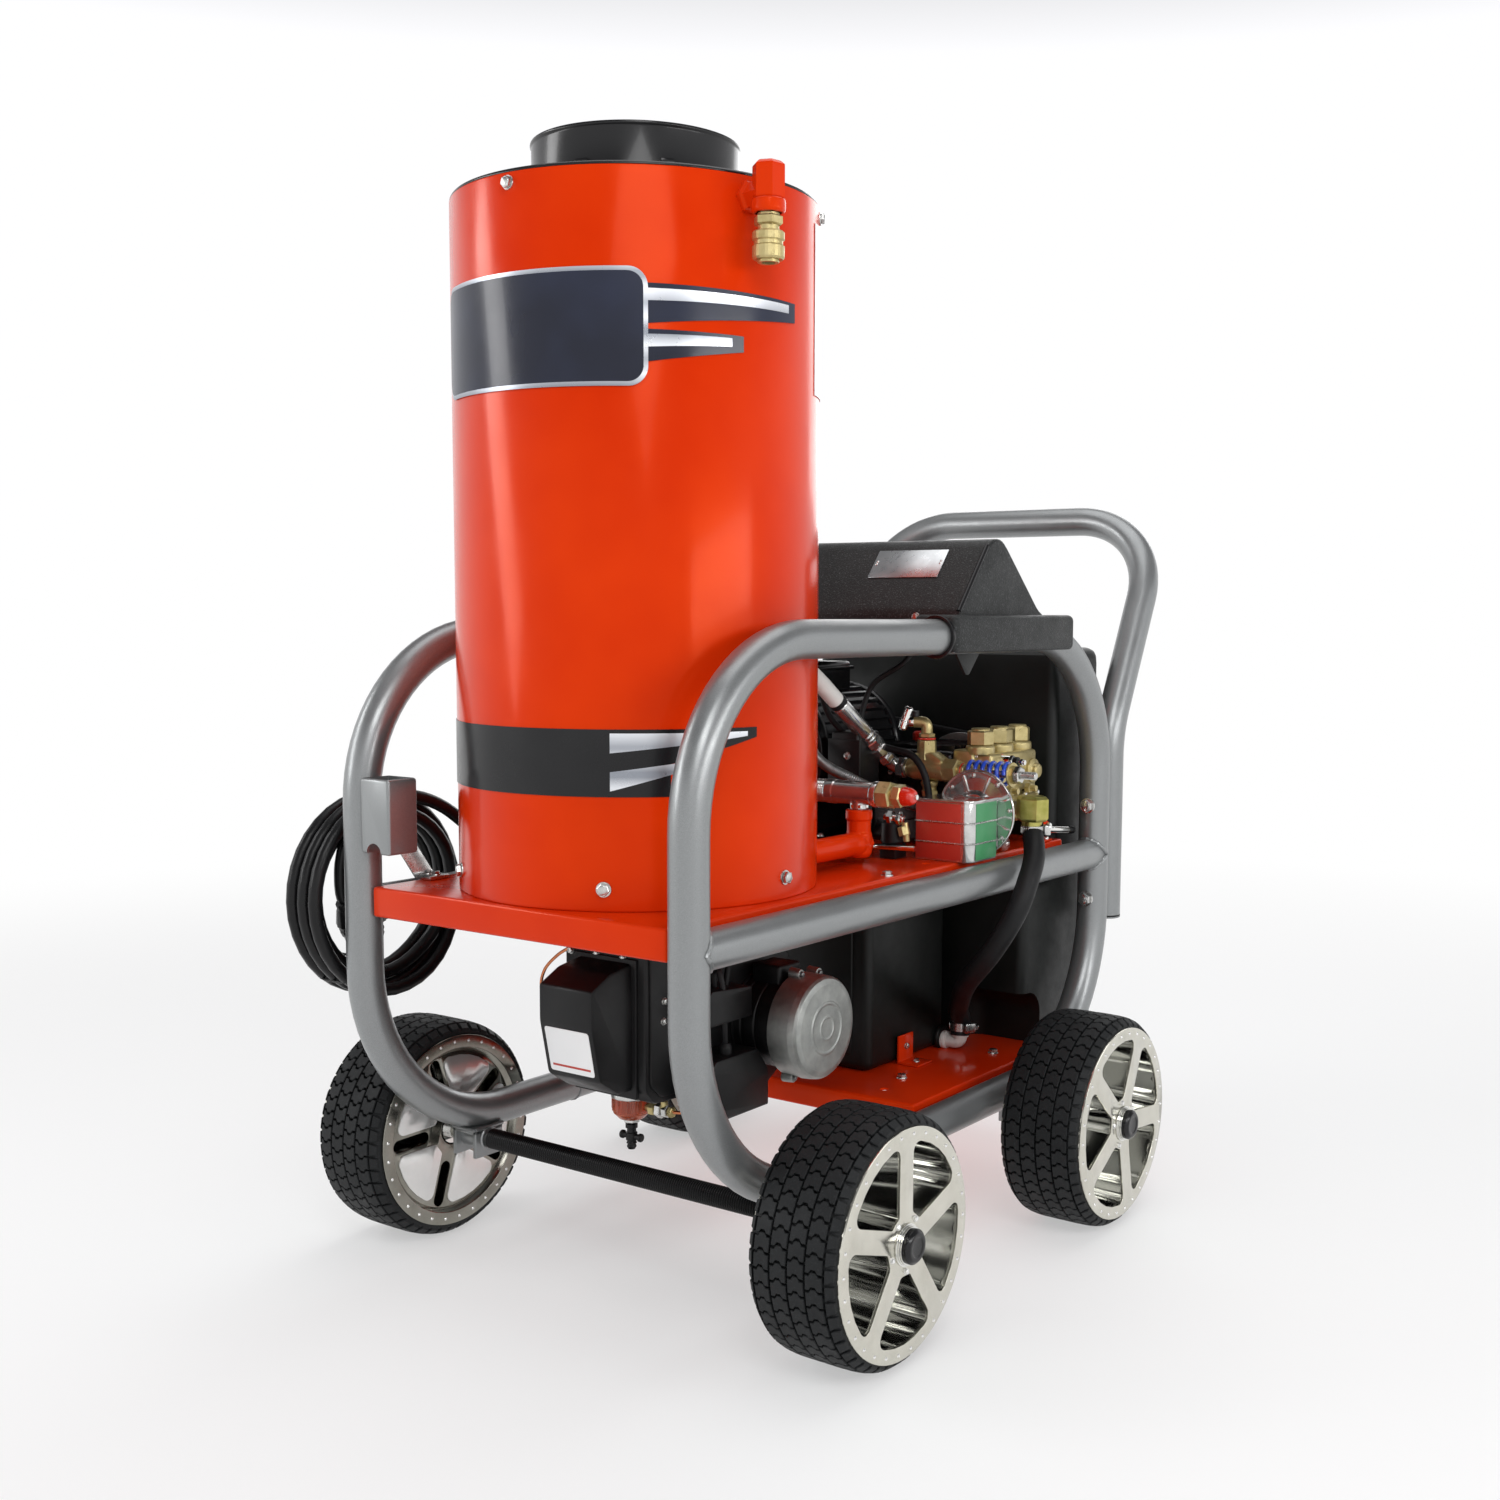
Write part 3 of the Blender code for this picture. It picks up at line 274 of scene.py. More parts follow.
class Shape:
    """One piece in the making: closed bodies gathered into one mesh."""

    def __init__(self):
        self.mesh = bmesh.new()

    def take(self, part, matrix=None, soft=0.0, segments=2):
        """Round the part's edges, put it in place and keep it."""
        if soft:
            sharp = [e
                     for e in part.edges
                     if len(e.link_faces) == 2 and e.calc_face_angle() > math.radians(28)]
            bmesh.ops.bevel(part, geom=sharp, offset=soft, segments=segments, profile=0.5, affect="EDGES",
                            clamp_overlap=True)
        bmesh.ops.recalc_face_normals(part, faces=part.faces)
        if matrix:
            part.transform(matrix)
        data = bpy.data.meshes.new("part")
        part.to_mesh(data)
        part.free()
        self.mesh.from_mesh(data)
        bpy.data.meshes.remove(data)
        return self

    def box(self, low, high, soft=0.001, segments=2, matrix=None):
        low, high = Vector(low), Vector(high)
        part = bmesh.new()
        bmesh.ops.create_cube(part, size=1.0)
        bmesh.ops.scale(part, vec=high - low, verts=part.verts)
        bmesh.ops.translate(part, vec=(low + high) / 2, verts=part.verts)
        return self.take(part, matrix, soft, segments)

    def turned(self, profile, base, direction, steps=64, ring=False, soft=0.0, spin=0.0, wave=None):
        """A profile of (radius, height) turned about direction; ring closes the profile on itself."""
        if soft:
            profile = softened(profile, soft, ring)
        part = bmesh.new()
        rows = []
        for radius, height in profile:
            if radius < 1e-6:
                rows.append([part.verts.new((0, 0, height))])
                continue
            row = []
            for k in range(steps):
                angle = math.tau * k / steps
                reach = radius * (wave(angle, height) if wave else 1)
                row.append(part.verts.new((reach * math.cos(angle), reach * math.sin(angle), height)))
            rows.append(row)
        pairs = list(zip(rows, rows[1:]))
        if ring:
            pairs.append((rows[-1], rows[0]))
        for one, two in pairs:
            for k in range(steps):
                corners = [one[k % len(one)], one[(k + 1) % len(one)], two[(k + 1) % len(two)],
                           two[k % len(two)]]
                corners = list(dict.fromkeys(corners))
                if len(corners) > 2:
                    part.faces.new(corners)
        if not ring:
            for row in (rows[0], rows[-1]):
                if len(row) > 1:
                    part.faces.new(row)
        return self.take(part, aimed(base, direction, spin))

    def rod(self, start, end, radius, steps=32, soft=0.0006):
        start, end = Vector(start), Vector(end)
        length = (end - start).length
        return self.turned([(0, length), (radius, length), (radius, 0), (0, 0)], start, end - start, steps,
                           soft=soft)

    def tube(self, path, radius, sides=32, closed=False):
        """A round tube along a path; radius is a number or a function of the point's index."""
        path = [Vector(p) for p in path]
        count = len(path)
        part = bmesh.new()
        rows = []
        normal = None
        for i, point in enumerate(path):
            before = path[i - 1] if closed or i else point
            after = path[(i + 1) % count] if closed or i < count - 1 else point
            heading = (after - before).normalized()
            if normal is None:
                normal = heading.orthogonal().normalized()
            normal = (normal - heading * normal.dot(heading)).normalized()
            side = heading.cross(normal)
            reach = radius(i) if callable(radius) else radius
            rows.append([part.verts.new(point + (normal * math.cos(math.tau * k / sides)
                                                 + side * math.sin(math.tau * k / sides)) * reach)
                         for k in range(sides)])
        joints = list(zip(rows, rows[1:]))
        if closed:
            last = rows[-1]
            shift = min(range(sides), key=lambda k: (last[k].co - rows[0][0].co).length)
            joints.append((last[shift:] + last[:shift], rows[0]))
        for one, two in joints:
            for k in range(sides):
                part.faces.new((one[k], one[(k + 1) % sides], two[(k + 1) % sides], two[k]))
        if not closed:
            part.faces.new(rows[0])
            part.faces.new(rows[-1])
        return self.take(part)

    def slab(self, outlines, low, high, axis="Z", soft=0.0006, matrix=None, steps=1):
        """Flat outlines, the first with the rest as holes, from low to high along an axis, edges rounded."""
        curve = bpy.data.curves.new("outline", "CURVE")
        curve.dimensions, curve.fill_mode = "2D", "BOTH"
        curve.extrude = (high - low) / 2 - soft
        curve.bevel_depth, curve.bevel_resolution, curve.offset = soft, steps, -soft
        for outline in outlines:
            spline = curve.splines.new("POLY")
            spline.points.add(len(outline) - 1)
            for target, point in zip(spline.points, outline):
                target.co = (point[0], point[1], 0, 1)
            spline.use_cyclic_u = True
        holder = bpy.data.objects.new("outline", curve)
        bpy.context.scene.collection.objects.link(holder)
        bpy.context.view_layer.update()
        data = bpy.data.meshes.new_from_object(holder.evaluated_get(bpy.context.evaluated_depsgraph_get()))
        bpy.data.objects.remove(holder)
        part = bmesh.new()
        part.from_mesh(data)
        bpy.data.meshes.remove(data)
        bmesh.ops.remove_doubles(part, verts=part.verts, dist=1e-6)
        middle = (low + high) / 2
        turn = {"X": Matrix(((0, 0, 1, middle), (1, 0, 0, 0), (0, 1, 0, 0), (0, 0, 0, 1))),
                "Y": Matrix(((1, 0, 0, 0), (0, 0, -1, middle), (0, 1, 0, 0), (0, 0, 0, 1))),
                "Z": Matrix.Translation((0, 0, middle))}[axis]
        return self.take(part, (matrix or Matrix.Identity(4)) @ turn)

    def nut(self, base, direction, across, height, spin=0.0, steps=6, bore=0.0):
        """Hexagon with chamfered ends."""
        reach, lip = across / math.sqrt(3), across * 0.06
        profile = [(bore, height), (reach * 0.86, height), (reach, height - lip), (reach, lip),
                   (reach * 0.86, 0), (bore, 0)]
        return self.turned(profile, base, direction, steps, ring=bool(bore), spin=spin)

    def bolt(self, base, direction, size=0.006, spin=0.3, washer=True):
        """Hexagon head with a flange washer and a dished top."""
        direction = Vector(direction).normalized()
        base = Vector(base)
        lift = size * 0.22 if washer else 0
        if washer:
            self.turned([(0, lift), (size * 1.05, lift), (size * 1.1, lift * 0.5), (size * 1.1, 0), (0, 0)],
                        base, direction, 28)
        self.nut(base + direction * lift, direction, size * 1.6, size * 0.62, spin)
        top = base + direction * (lift + size * 0.62)
        return self.turned([(0, size * 0.10), (size * 0.5, size * 0.07), (size * 0.66, 0), (0, 0)], top,
                           direction, 24)

    def weld(self, path, bead=0.0028, closed=True):
        """Rippled fillet along a seam."""
        return self.tube(path, lambda i: bead * (1 + 0.16 * math.sin(i * 1.9)), 10, closed)

    def cut(self, *tools, operation="DIFFERENCE"):
        """Take the tools' shapes out of this one, or join them to it."""
        host = self.solid("host")
        for tool in tools:
            step = host.modifiers.new("cut", "BOOLEAN")
            step.operation, step.solver = operation, "EXACT"
            step.object = tool.solid("tool")
        bpy.context.view_layer.update()
        data = bpy.data.meshes.new_from_object(host.evaluated_get(bpy.context.evaluated_depsgraph_get()))
        for step in list(host.modifiers):
            bpy.data.objects.remove(step.object)
        bpy.data.objects.remove(host)
        self.mesh = bmesh.new()
        self.mesh.from_mesh(data)
        bpy.data.meshes.remove(data)
        return self

    def solid(self, name, angle=32):
        data = bpy.data.meshes.new(name)
        self.mesh.to_mesh(data)
        self.mesh.free()
        data.shade_smooth()
        data.set_sharp_from_angle(angle=math.radians(angle))
        piece = bpy.data.objects.new(name, data)
        bpy.context.scene.collection.objects.link(piece)
        return piece

    def piece(self, name, finish, body="machine", nodes=(), angle=32):
        return dress(self.solid(name, angle), finish, body, nodes)


def dress(piece, finish, body="machine", nodes=()):
    """Give a piece its material, its body and the CAD nodes that it stands for."""
    piece.data.materials.clear()
    piece.data.materials.append(FINISHES[finish].material)
    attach(piece, body)
    if nodes:
        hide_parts(*([nodes] if isinstance(nodes, str) else nodes))
    return piece


def softened(profile, size, closed=False):
    """A profile or outline with each corner replaced by a short arc."""
    points = [Vector((*p, 0.0)) for p in profile]
    made = []
    count = len(points)
    for i, corner in enumerate(points):
        if not closed and i in (0, count - 1):
            made.append(tuple(corner[:2]))
            continue
        before, after = points[i - 1] - corner, points[(i + 1) % count] - corner
        reach = min(size, before.length * 0.45, after.length * 0.45)
        start, end = corner + before.normalized() * reach, corner + after.normalized() * reach
        for k in range(4):
            t = k / 3
            made.append(tuple((start * (1 - t) ** 2 + corner * 2 * t * (1 - t) + end * t * t)[:2]))
    return made


def rounded(corners, radii, steps, closed=False):
    """Points of a path through the corners, each corner replaced by an arc."""
    corners = [Vector(corner) for corner in corners]
    count = len(corners)
    path = []
    for i, corner in enumerate(corners):
        if (not closed and i in (0, count - 1)) or not radii[i]:
            path.append(corner)
            continue
        before = (corners[i - 1] - corner).normalized()
        after = (corners[(i + 1) % count] - corner).normalized()
        half = before.angle(after) / 2
        centre = corner + (before + after).normalized() * (radii[i] / math.sin(half))
        start = corner + before * (radii[i] / math.tan(half)) - centre
        end = corner + after * (radii[i] / math.tan(half)) - centre
        sweep = start.angle(end)
        for k in range(steps + 1):
            share = k / steps
            path.append(centre
                        + (start
                           * math.sin((1
                                       - share) * sweep) + end * math.sin(share * sweep)) / math.sin(sweep))
    return path


def smooth_route(points, count):
    """Evenly spaced points on a smooth curve through the given points."""
    points = [Vector(point) for point in points]
    ends = [2 * points[0] - points[1]] + points + [2 * points[-1] - points[-2]]
    fine = []
    for i in range(1, len(ends) - 2):
        a, b, c, d = ends[i - 1:i + 3]
        for k in range(24):
            t = k / 24
            fine.append(0.5 * (2 * b + (c - a) * t + (2 * a - 5 * b + 4 * c - d) * t ** 2
                               + (3 * b - a - 3 * c + d) * t ** 3))
    fine.append(points[-1])
    reach = [0.0]
    for a, b in zip(fine, fine[1:]):
        reach.append(reach[-1] + (b - a).length)
    route, i = [], 0
    for k in range(count):
        goal = reach[-1] * k / (count - 1)
        while i < len(reach) - 2 and reach[i + 1] < goal:
            i += 1
        share = (goal - reach[i]) / (reach[i + 1] - reach[i])
        route.append(fine[i].lerp(fine[i + 1], share))
    return route


def ring_points(centre, axis, radius, count=48):
    """Points of a circle about an axis."""
    matrix = aimed(centre, axis)
    return [matrix @ Vector((radius * math.cos(math.tau * k / count),
                             radius * math.sin(math.tau * k / count), 0)) for k in range(count)]


def around_boiler(radius, degrees, z):
    angle = math.radians(degrees)
    return Vector((radius * math.cos(angle), BOILER_Y + radius * math.sin(angle), z))


# ---------------------------------------------------------------- camera, stage and light

HORIZON = 1.0


def camera():
    data = bpy.data.cameras.new("camera")
    data.lens, data.sensor_width = 40.89, 36.0
    data.shift_x, data.shift_y = -0.0295, 0.0226
    data.clip_end = 60
    view = bpy.data.objects.new("camera", data)
    bpy.context.scene.collection.objects.link(view)
    yaw, pitch, roll = 0.623, 0.100, 0.004
    view.matrix_world = (Matrix.Translation((1.2843, -1.8270, 0.7825)) @ Matrix.Rotation(yaw, 4, "Z")
                         @ Matrix.Rotation(math.pi / 2 - pitch, 4, "X") @ Matrix.Rotation(roll, 4, "Z"))
    bpy.context.scene.camera = view


def stage():
    """A pale floor that fades into the studio's even white far from the object."""
    floor_shape = Shape()
    floor_shape.turned([(0, -0.0002), (30, -0.0002), (30, -0.05), (0, -0.05)], (0, 0, 0), Z, 96)
    floor = floor_shape.solid("studio_floor")
    pale = bpy.data.materials.new("pale_floor")
    pale.use_nodes = True
    nodes, links = pale.node_tree.nodes, pale.node_tree.links
    near = nodes["Principled BSDF"]
    near.inputs["Base Color"].default_value = (0.93, 0.93, 0.93, 1)
    near.inputs["Roughness"].default_value = 0.7
    far = nodes.new("ShaderNodeEmission")
    far.inputs["Color"].default_value = (HORIZON, HORIZON, HORIZON, 1)
    distance = nodes.new("ShaderNodeVectorMath")
    distance.operation = "LENGTH"
    links.new(nodes.new("ShaderNodeTexCoord").outputs["Object"], distance.inputs[0])
    fade = nodes.new("ShaderNodeMapRange")
    fade.interpolation_type = "SMOOTHSTEP"
    links.new(distance.outputs["Value"], fade.inputs["Value"])
    fade.inputs["From Min"].default_value = 0.9
    fade.inputs["From Max"].default_value = 3.6
    fade.inputs["To Min"].default_value = 0.45
    mixed = nodes.new("ShaderNodeMixShader")
    links.new(fade.outputs["Result"], mixed.inputs[0])
    links.new(near.outputs["BSDF"], mixed.inputs[1])
    links.new(far.outputs["Emission"], mixed.inputs[2])
    links.new(mixed.outputs["Shader"], nodes["Material Output"].inputs["Surface"])
    floor.data.materials.append(pale)
    world = bpy.data.worlds.new("studio")
    bpy.context.scene.world = world
    world.use_nodes = True
    nodes, links = world.node_tree.nodes, world.node_tree.links
    direction = nodes.new("ShaderNodeTexCoord").outputs["Generated"]
    height = nodes.new("ShaderNodeSeparateXYZ")
    links.new(direction, height.inputs["Vector"])
    sky = nodes.new("ShaderNodeValToRGB")
    links.new(height.outputs["Z"], sky.inputs["Fac"])
    sky.color_ramp.elements[0].position, sky.color_ramp.elements[0].color = 0.0, (HORIZON, HORIZON, HORIZON,
                                                                                  1)
    sky.color_ramp.elements[1].position, sky.color_ramp.elements[1].color = 1.0, (0.47, 0.476, 0.49, 1)
    for at, level in ((0.30, HORIZON), (0.42, 0.28), (0.75, 0.22)):
        sky.color_ramp.elements.new(at).color = (level, level, level * 1.02, 1)
    links.new(sky.outputs["Color"], nodes["Background"].inputs["Color"])
    nodes["Background"].inputs["Strength"].default_value = 1.0
    bpy.context.scene.view_settings.view_transform = "Standard"
    for name, place, size, power in (("key", (1.9, -2.2, 2.7), (1.4, 1.4), 32),
                                     ("left_strip", (-2.0, -1.9, 1.6), (0.5, 2.2), 22),
                                     ("right_strip", (2.7, -0.2, 1.3), (0.35, 2.0), 17),
                                     ("top", (0.0, 0.3, 3.2), (2.4, 2.4), 28),
                                     ("back", (-0.8, 2.8, 1.9), (2.0, 1.6), 18)):
        data = bpy.data.lights.new(name, "AREA")
        data.shape, data.size, data.size_y, data.energy = "RECTANGLE", size[0], size[1], power
        lamp = bpy.data.objects.new(name, data)
        bpy.context.scene.collection.objects.link(lamp)
        lamp.matrix_world = aimed(place, Vector(place) - Vector((0, -0.05, 0.55)))


# ---------------------------------------------------------------- power cord

CORD_R = 0.008
CORD_COIL_Y, CORD_COIL_Z = -0.472, 0.448
OUTER_TURN_R, INNER_TURN_R = 0.1135, 0.0968
TURN_X = (-0.281, -0.3005, -0.320)  # where the turns lie side by side
POINTS_PER_TURN = 36
COIL_POINTS = 188  # five turns and 7/36 of a sixth
ENTRY_ANGLE = math.radians(30)
SETTLING_POINTS = 9  # over these the lead comes down into the coil
SAG = 0.030  # how much lower than round the coil hangs
GLAND = Vector((-0.150, -0.0403, 0.7595))


def lead_route():
    """The free lead, from the gland under the hood to where it joins the coil."""
    points = [(GLAND.x, GLAND.y - 0.0206, GLAND.z), (GLAND.x, -0.085, GLAND.z), (-0.157, -0.122, 0.745),
              (-0.176, -0.146, 0.700), (-0.200, -0.152, 0.640), (-0.221, -0.150, 0.580),
              (-0.234, -0.158, 0.530), (-0.2397, -0.190, 0.491), (-0.2397, -0.235, 0.4790),
              (-0.2400, -0.285, 0.4810), (-0.2480, -0.320, 0.4930), (-0.2590, -0.3480, 0.5090),
              (-0.2640, -0.3600, 0.5160)]
    return points


def cord_path():
    """The coil: five turns over the hook in two layers and the start of a sixth."""
    layers = [(OUTER_TURN_R, x) for x in TURN_X] + [(INNER_TURN_R, x) for x in reversed(TURN_X)]
    coil = []
    for k in range(COIL_POINTS):
        turn, share = divmod(k / POINTS_PER_TURN, 1.0)
        here, after = layers[int(turn)], layers[min(int(turn) + 1, len(layers) - 1)]
        step = max(0.0, (share - 0.72) / 0.28)
        step = step * step * (3 - 2 * step)
        radius = here[0] + (after[0] - here[0]) * step
        across = here[1] + (after[1] - here[1]) * step
        if k < SETTLING_POINTS:
            settle = (1 - k / SETTLING_POINTS) ** 2
            radius += 0.0165 * settle
            across += 0.017 * settle
        angle = ENTRY_ANGLE + math.tau * k / POINTS_PER_TURN
        droop = 1 + SAG * max(0.0, -math.sin(angle))
        coil.append(Vector((across, CORD_COIL_Y + radius * math.cos(angle),
                            CORD_COIL_Z + radius * math.sin(angle) * droop)))
    return coil


PLUG_ANGLE = math.radians(213)
PLUG_R, PLUG_X = 0.052, -0.292


def in_coil(radius, angle, x):
    return Vector((x, CORD_COIL_Y + radius * math.cos(angle), CORD_COIL_Z + radius * math.sin(angle)))


def power_cord():
    """One cord: free lead, a little over five turns on the hook, tail, and the plug tucked inside."""
    axis = Vector((0, -math.sin(PLUG_ANGLE), math.cos(PLUG_ANGLE)))
    seat = in_coil(PLUG_R, PLUG_ANGLE, PLUG_X) - axis * 0.032
    tail = [in_coil(radius, math.radians(degrees), x) for degrees, radius,
            x in ((130, 0.0905, -0.2860), (145, 0.0820, -0.2885), (161, 0.0712, -0.2910))]
    lead, coil = lead_route(), cord_path()
    start = smooth_route(lead, 60)
    finish = smooth_route([coil[-1]] + tail + [seat - axis * 0.007, seat], 26)
    points = start[:-1] + smooth_route([start[-1], *coil[1:7]], 12)[:-1] + coil[6:-1] + finish
    curve = bpy.data.curves.new("power_cord", "CURVE")
    curve.dimensions = "3D"
    curve.bevel_depth, curve.bevel_resolution, curve.use_fill_caps = CORD_R, 5, True
    spline = curve.splines.new("POLY")
    spline.points.add(len(points) - 1)
    for target, point in zip(spline.points, points):
        target.co = (*point, 1.0)
    spline.use_smooth = True
    cord = bpy.data.objects.new("power_cord", curve)
    bpy.context.scene.collection.objects.link(cord)
    dress(cord, "jacket", "machine", ("power_lead", "cord_coil"))
    length = sum((b - a).length for a, b in zip(points, points[1:]))

    gland = Shape()
    gland.nut(GLAND + Y * 0.0003, -Y, 0.030, 0.009, 0.2)
    gland.turned([(0, 0.0205), (0.0095, 0.0205), (0.0120, 0.0150), (0.0135, 0.0140), (0.0135, 0.009),
                  (0, 0.009)], GLAND, -Y, 40, soft=0.0012, wave=lambda a, h: 1 + 0.02 * math.cos(12 * a))
    gland.turned([(0.0082, 0.0460), (0.0092, 0.0455), (0.0115, 0.0190), (0.0082, 0.0190)], GLAND, -Y, 32,
                 ring=True)
    for k in range(4):
        gland.turned([(0.0112, 0.003), (0.0118, 0.0015), (0.0112, 0.0), (0.0086, 0.0), (0.0086, 0.003)],
                     GLAND - Y * (0.0215 + 0.0058 * k), -Y, 32, ring=True)
    gland.piece("cord_gland_nut", "plastic", nodes="cord_gland")

    plug = Shape()
    grip = [(0, 0.0635), (0.0175, 0.0635), (0.0205, 0.0610), (0.0205, 0.0555), (0.0232, 0.0550),
            (0.0238, 0.0470), (0.0222, 0.0450), (0.0222, 0.0420), (0.0238, 0.0400), (0.0238, 0.0330),
            (0.0222, 0.0310), (0.0222, 0.0280), (0.0235, 0.0250), (0.0150, 0.0080), (0.0135, 0.0070),
            (0.0125, 0.0), (0, 0.0)]
    plug.turned(grip, seat + axis * 0.0003, axis, 48, soft=0.0008, wave=lambda a,
                h: 1 + 0.015 * math.cos(16 * a))
    plug.piece("plug_body", "plastic", nodes="cord_plug")
    pins = Shape()
    for k in range(3):
        angle = math.tau * k / 3
        at = aimed(seat + axis * 0.062, axis) @ Matrix.Rotation(angle, 4, "Z")
        pins.box((0.0085, -0.0032, -0.004), (0.0101, 0.0032, 0.0145), 0.0004, matrix=at)
    pins.piece("plug_blades", "brass")
    tuple(points[0])

    hook = Shape()
    seat_z, rest, thick = UPPER_DECK_Z + 0.0003, CORD_COIL_Z + 0.0858, 0.005
    outline = [(-0.195, seat_z), (-0.195, seat_z + thick), (-0.222, seat_z + thick), (-0.276, rest),
               (-0.334, rest), (-0.334, rest + 0.022), (-0.340, rest + 0.022), (-0.340, rest - thick),
               (-0.274, rest - thick), (-0.2205, seat_z)]
    hook.slab([softened(outline, 0.004, True)], CORD_COIL_Y - 0.017, CORD_COIL_Y + 0.013, "Y", 0.0008)
    hook.piece("cord_hook_bar", "steel", nodes="cord_hook")
    bolts = Shape()
    for x in (-0.2015, -0.2150):
        bolts.bolt((x, CORD_COIL_Y - 0.002, seat_z + thick), Z, 0.005, 0.2)
    bolts.piece("cord_hook_bolts", "steel")
    tie = Shape()
    band = []
    for k in range(28):
        angle = math.tau * k / 28
        spread = 1 / max(abs(math.cos(angle)) ** 4 + abs(math.sin(angle)) ** 4, 1e-6) ** 0.25
        band.append(in_coil(0.1052 + 0.0178 * spread * math.cos(angle), math.radians(-128),
                            -0.3005 + 0.0292 * spread * math.sin(angle)))
    tie.tube(band, 0.0016, 8, closed=True)
    tie.piece("coil_tie", "plastic")


# ---------------------------------------------------------------- frame

def loop_path(side, steps=18):
    x = side * LOOP_X
    corners = [(x, FRONT_LEG_Y, LOW_RAIL_Z), (x, REAR_LEG_Y, LOW_RAIL_Z),
               (x, REAR_LEG_Y, TOP_RAIL_Z), (x, FRONT_LEG_Y, TOP_RAIL_Z)]
    return rounded(corners, [0.215, 0.215, 0.190, 0.190], steps, closed=True)


def saddle(x, leg_y, side_y, z):
    """Seam where a level tube meets an upright one of the same size."""
    path = []
    for k in range(56):
        angle = math.tau * k / 56
        path.append(Vector((x + TUBE_R * math.cos(angle),
                            leg_y + side_y * (TUBE_R * abs(math.sin(angle)) + 0.0008),
                            z + TUBE_R * math.sin(angle))))
    return path


def frame_tubes():
    for hand, side in (("left", -1), ("right", 1)):
        x = side * LOOP_X
        loop = Shape()
        loop.tube(loop_path(side), TUBE_R, 48, closed=True)
        for y in (FRONT_AXLE_Y, REAR_AXLE_Y):
            loop.box((x - 0.0205, y - 0.0225, 0.1130), (x - 0.0145, y + 0.0225, 0.150), 0.0012)
            loop.box((x + 0.0145, y - 0.0225, 0.1130), (x + 0.0205, y + 0.0225, 0.150), 0.0012)
            loop.box((x - 0.0205, y - 0.0225, 0.1425), (x + 0.0205, y + 0.0225, 0.150), 0.0012)
            loop.turned([(0.0135, 0.0220), (0.0150, 0.0205), (0.0150, -0.0205), (0.0135, -0.0220),
                         (0.0083, -0.0220), (0.0083, 0.0220)], (x, y, AXLE_Z), X, 32, ring=True)
        loop.piece(f"{hand}_loop_tube", "silver", nodes=f"{hand}_frame_loop")
        rail = Shape()
        rail.rod((x, FRONT_LEG_Y, MID_RAIL_Z), (x, REAR_LEG_Y, MID_RAIL_Z), TUBE_R, 48)
        rail.piece(f"{hand}_mid_rail_tube", "silver", nodes=f"{hand}_mid_rail")
        seams = Shape()
        seams.weld(saddle(x, FRONT_LEG_Y, 1, MID_RAIL_Z), 0.0030)
        seams.weld(saddle(x, REAR_LEG_Y, -1, MID_RAIL_Z), 0.0030)
        seams.weld(ring_points((x, -0.2114, LOW_RAIL_Z), Y, TUBE_R, 60), 0.0016)
        for y in (FRONT_AXLE_Y, REAR_AXLE_Y):
            for edge in (-0.0225, 0.0225):
                seams.weld([(x + s * 0.0205, y + edge, 0.1485) for s in (-1, -0.6, -0.2, 0.2, 0.6, 1)],
                           0.0022, False)
            for s in (-0.0205, 0.0205):
                seams.weld([(x + s, y + t * 0.0225, 0.1495) for t in (-1, -0.6, -0.2, 0.2, 0.6, 1)], 0.0022,
                           False)
        seams.piece(f"{hand}_frame_welds", "silver")
        bolts = Shape()
        for z in (0.5168, 0.3859):
            bolts.bolt((x, REAR_LEG_Y - TUBE_R + 0.0006, z), -Y, 0.0100, 0.5)
            bolts.nut((x, 0.3914 + TUBE_R - 0.0008, z), Y, 0.0130, 0.0065, 0.2)
            bolts.rod((x, 0.3914 + TUBE_R, z), (x, 0.3914 + TUBE_R + 0.0085, z), 0.0032, 20)
        bolts.piece(f"{hand}_leg_bolts", "zinc")


def handle():
    leg_y = REAR_LEG_Y + 2 * TUBE_R + 0.0003
    right = [(LOOP_X, leg_y, 0.352), (LOOP_X, leg_y, 0.618), (LOOP_X, 0.5494, 0.922)]
    left = [(-x, y, z) for x, y, z in reversed(right)]
    path = rounded(right + left, [0, 0.150, 0.130, 0.130, 0.150, 0], 18)
    bar = Shape()
    bar.tube(path, TUBE_R, 48)
    bar.piece("push_handle", "silver", nodes="handle")
    plugs = Shape()
    for side in (-1, 1):
        plugs.turned([(0, 0.0015), (0.0205, 0.0015), (0.0213, 0.0045), (0.0213, 0.0065), (0.0150, 0.0065),
                      (0, 0.0065)], (side * LOOP_X, leg_y, 0.3535 - 0.0035), Z, 40, soft=0.0008)
    plugs.piece("handle_end_plugs", "plastic")


def wand_holder():
    low, high, wall = Vector((-0.2180, -0.5700, 0.512)), Vector((-0.1710, -0.5270, 0.597)), 0.003
    tube_shape = Shape().box(low, high, 0.0035, 3)
    bore = Shape().box(low + Vector((wall, wall, -0.02)), high + Vector((-wall, -wall, 0.02)), 0.0015)
    notch = Shape().rod((-0.1965, -0.60, 0.5125), (-0.1965, -0.553, 0.5125), 0.0120, 40, 0)
    tube_shape.cut(bore, notch)
    tube_shape.piece("wand_holder_tube", "silver", nodes="wand_holder")
    seam = Shape()
    for z0, z1 in ((0.520, 0.545), (0.565, 0.590)):
        for k in range(2):
            seam.weld([(-0.2175 + 0.0005 * k, -0.5535 + 0.004 * k,
                        z0 + (z1 - z0) * i / 9) for i in range(10)], 0.0022, False)
    seam.piece("wand_holder_welds", "silver")


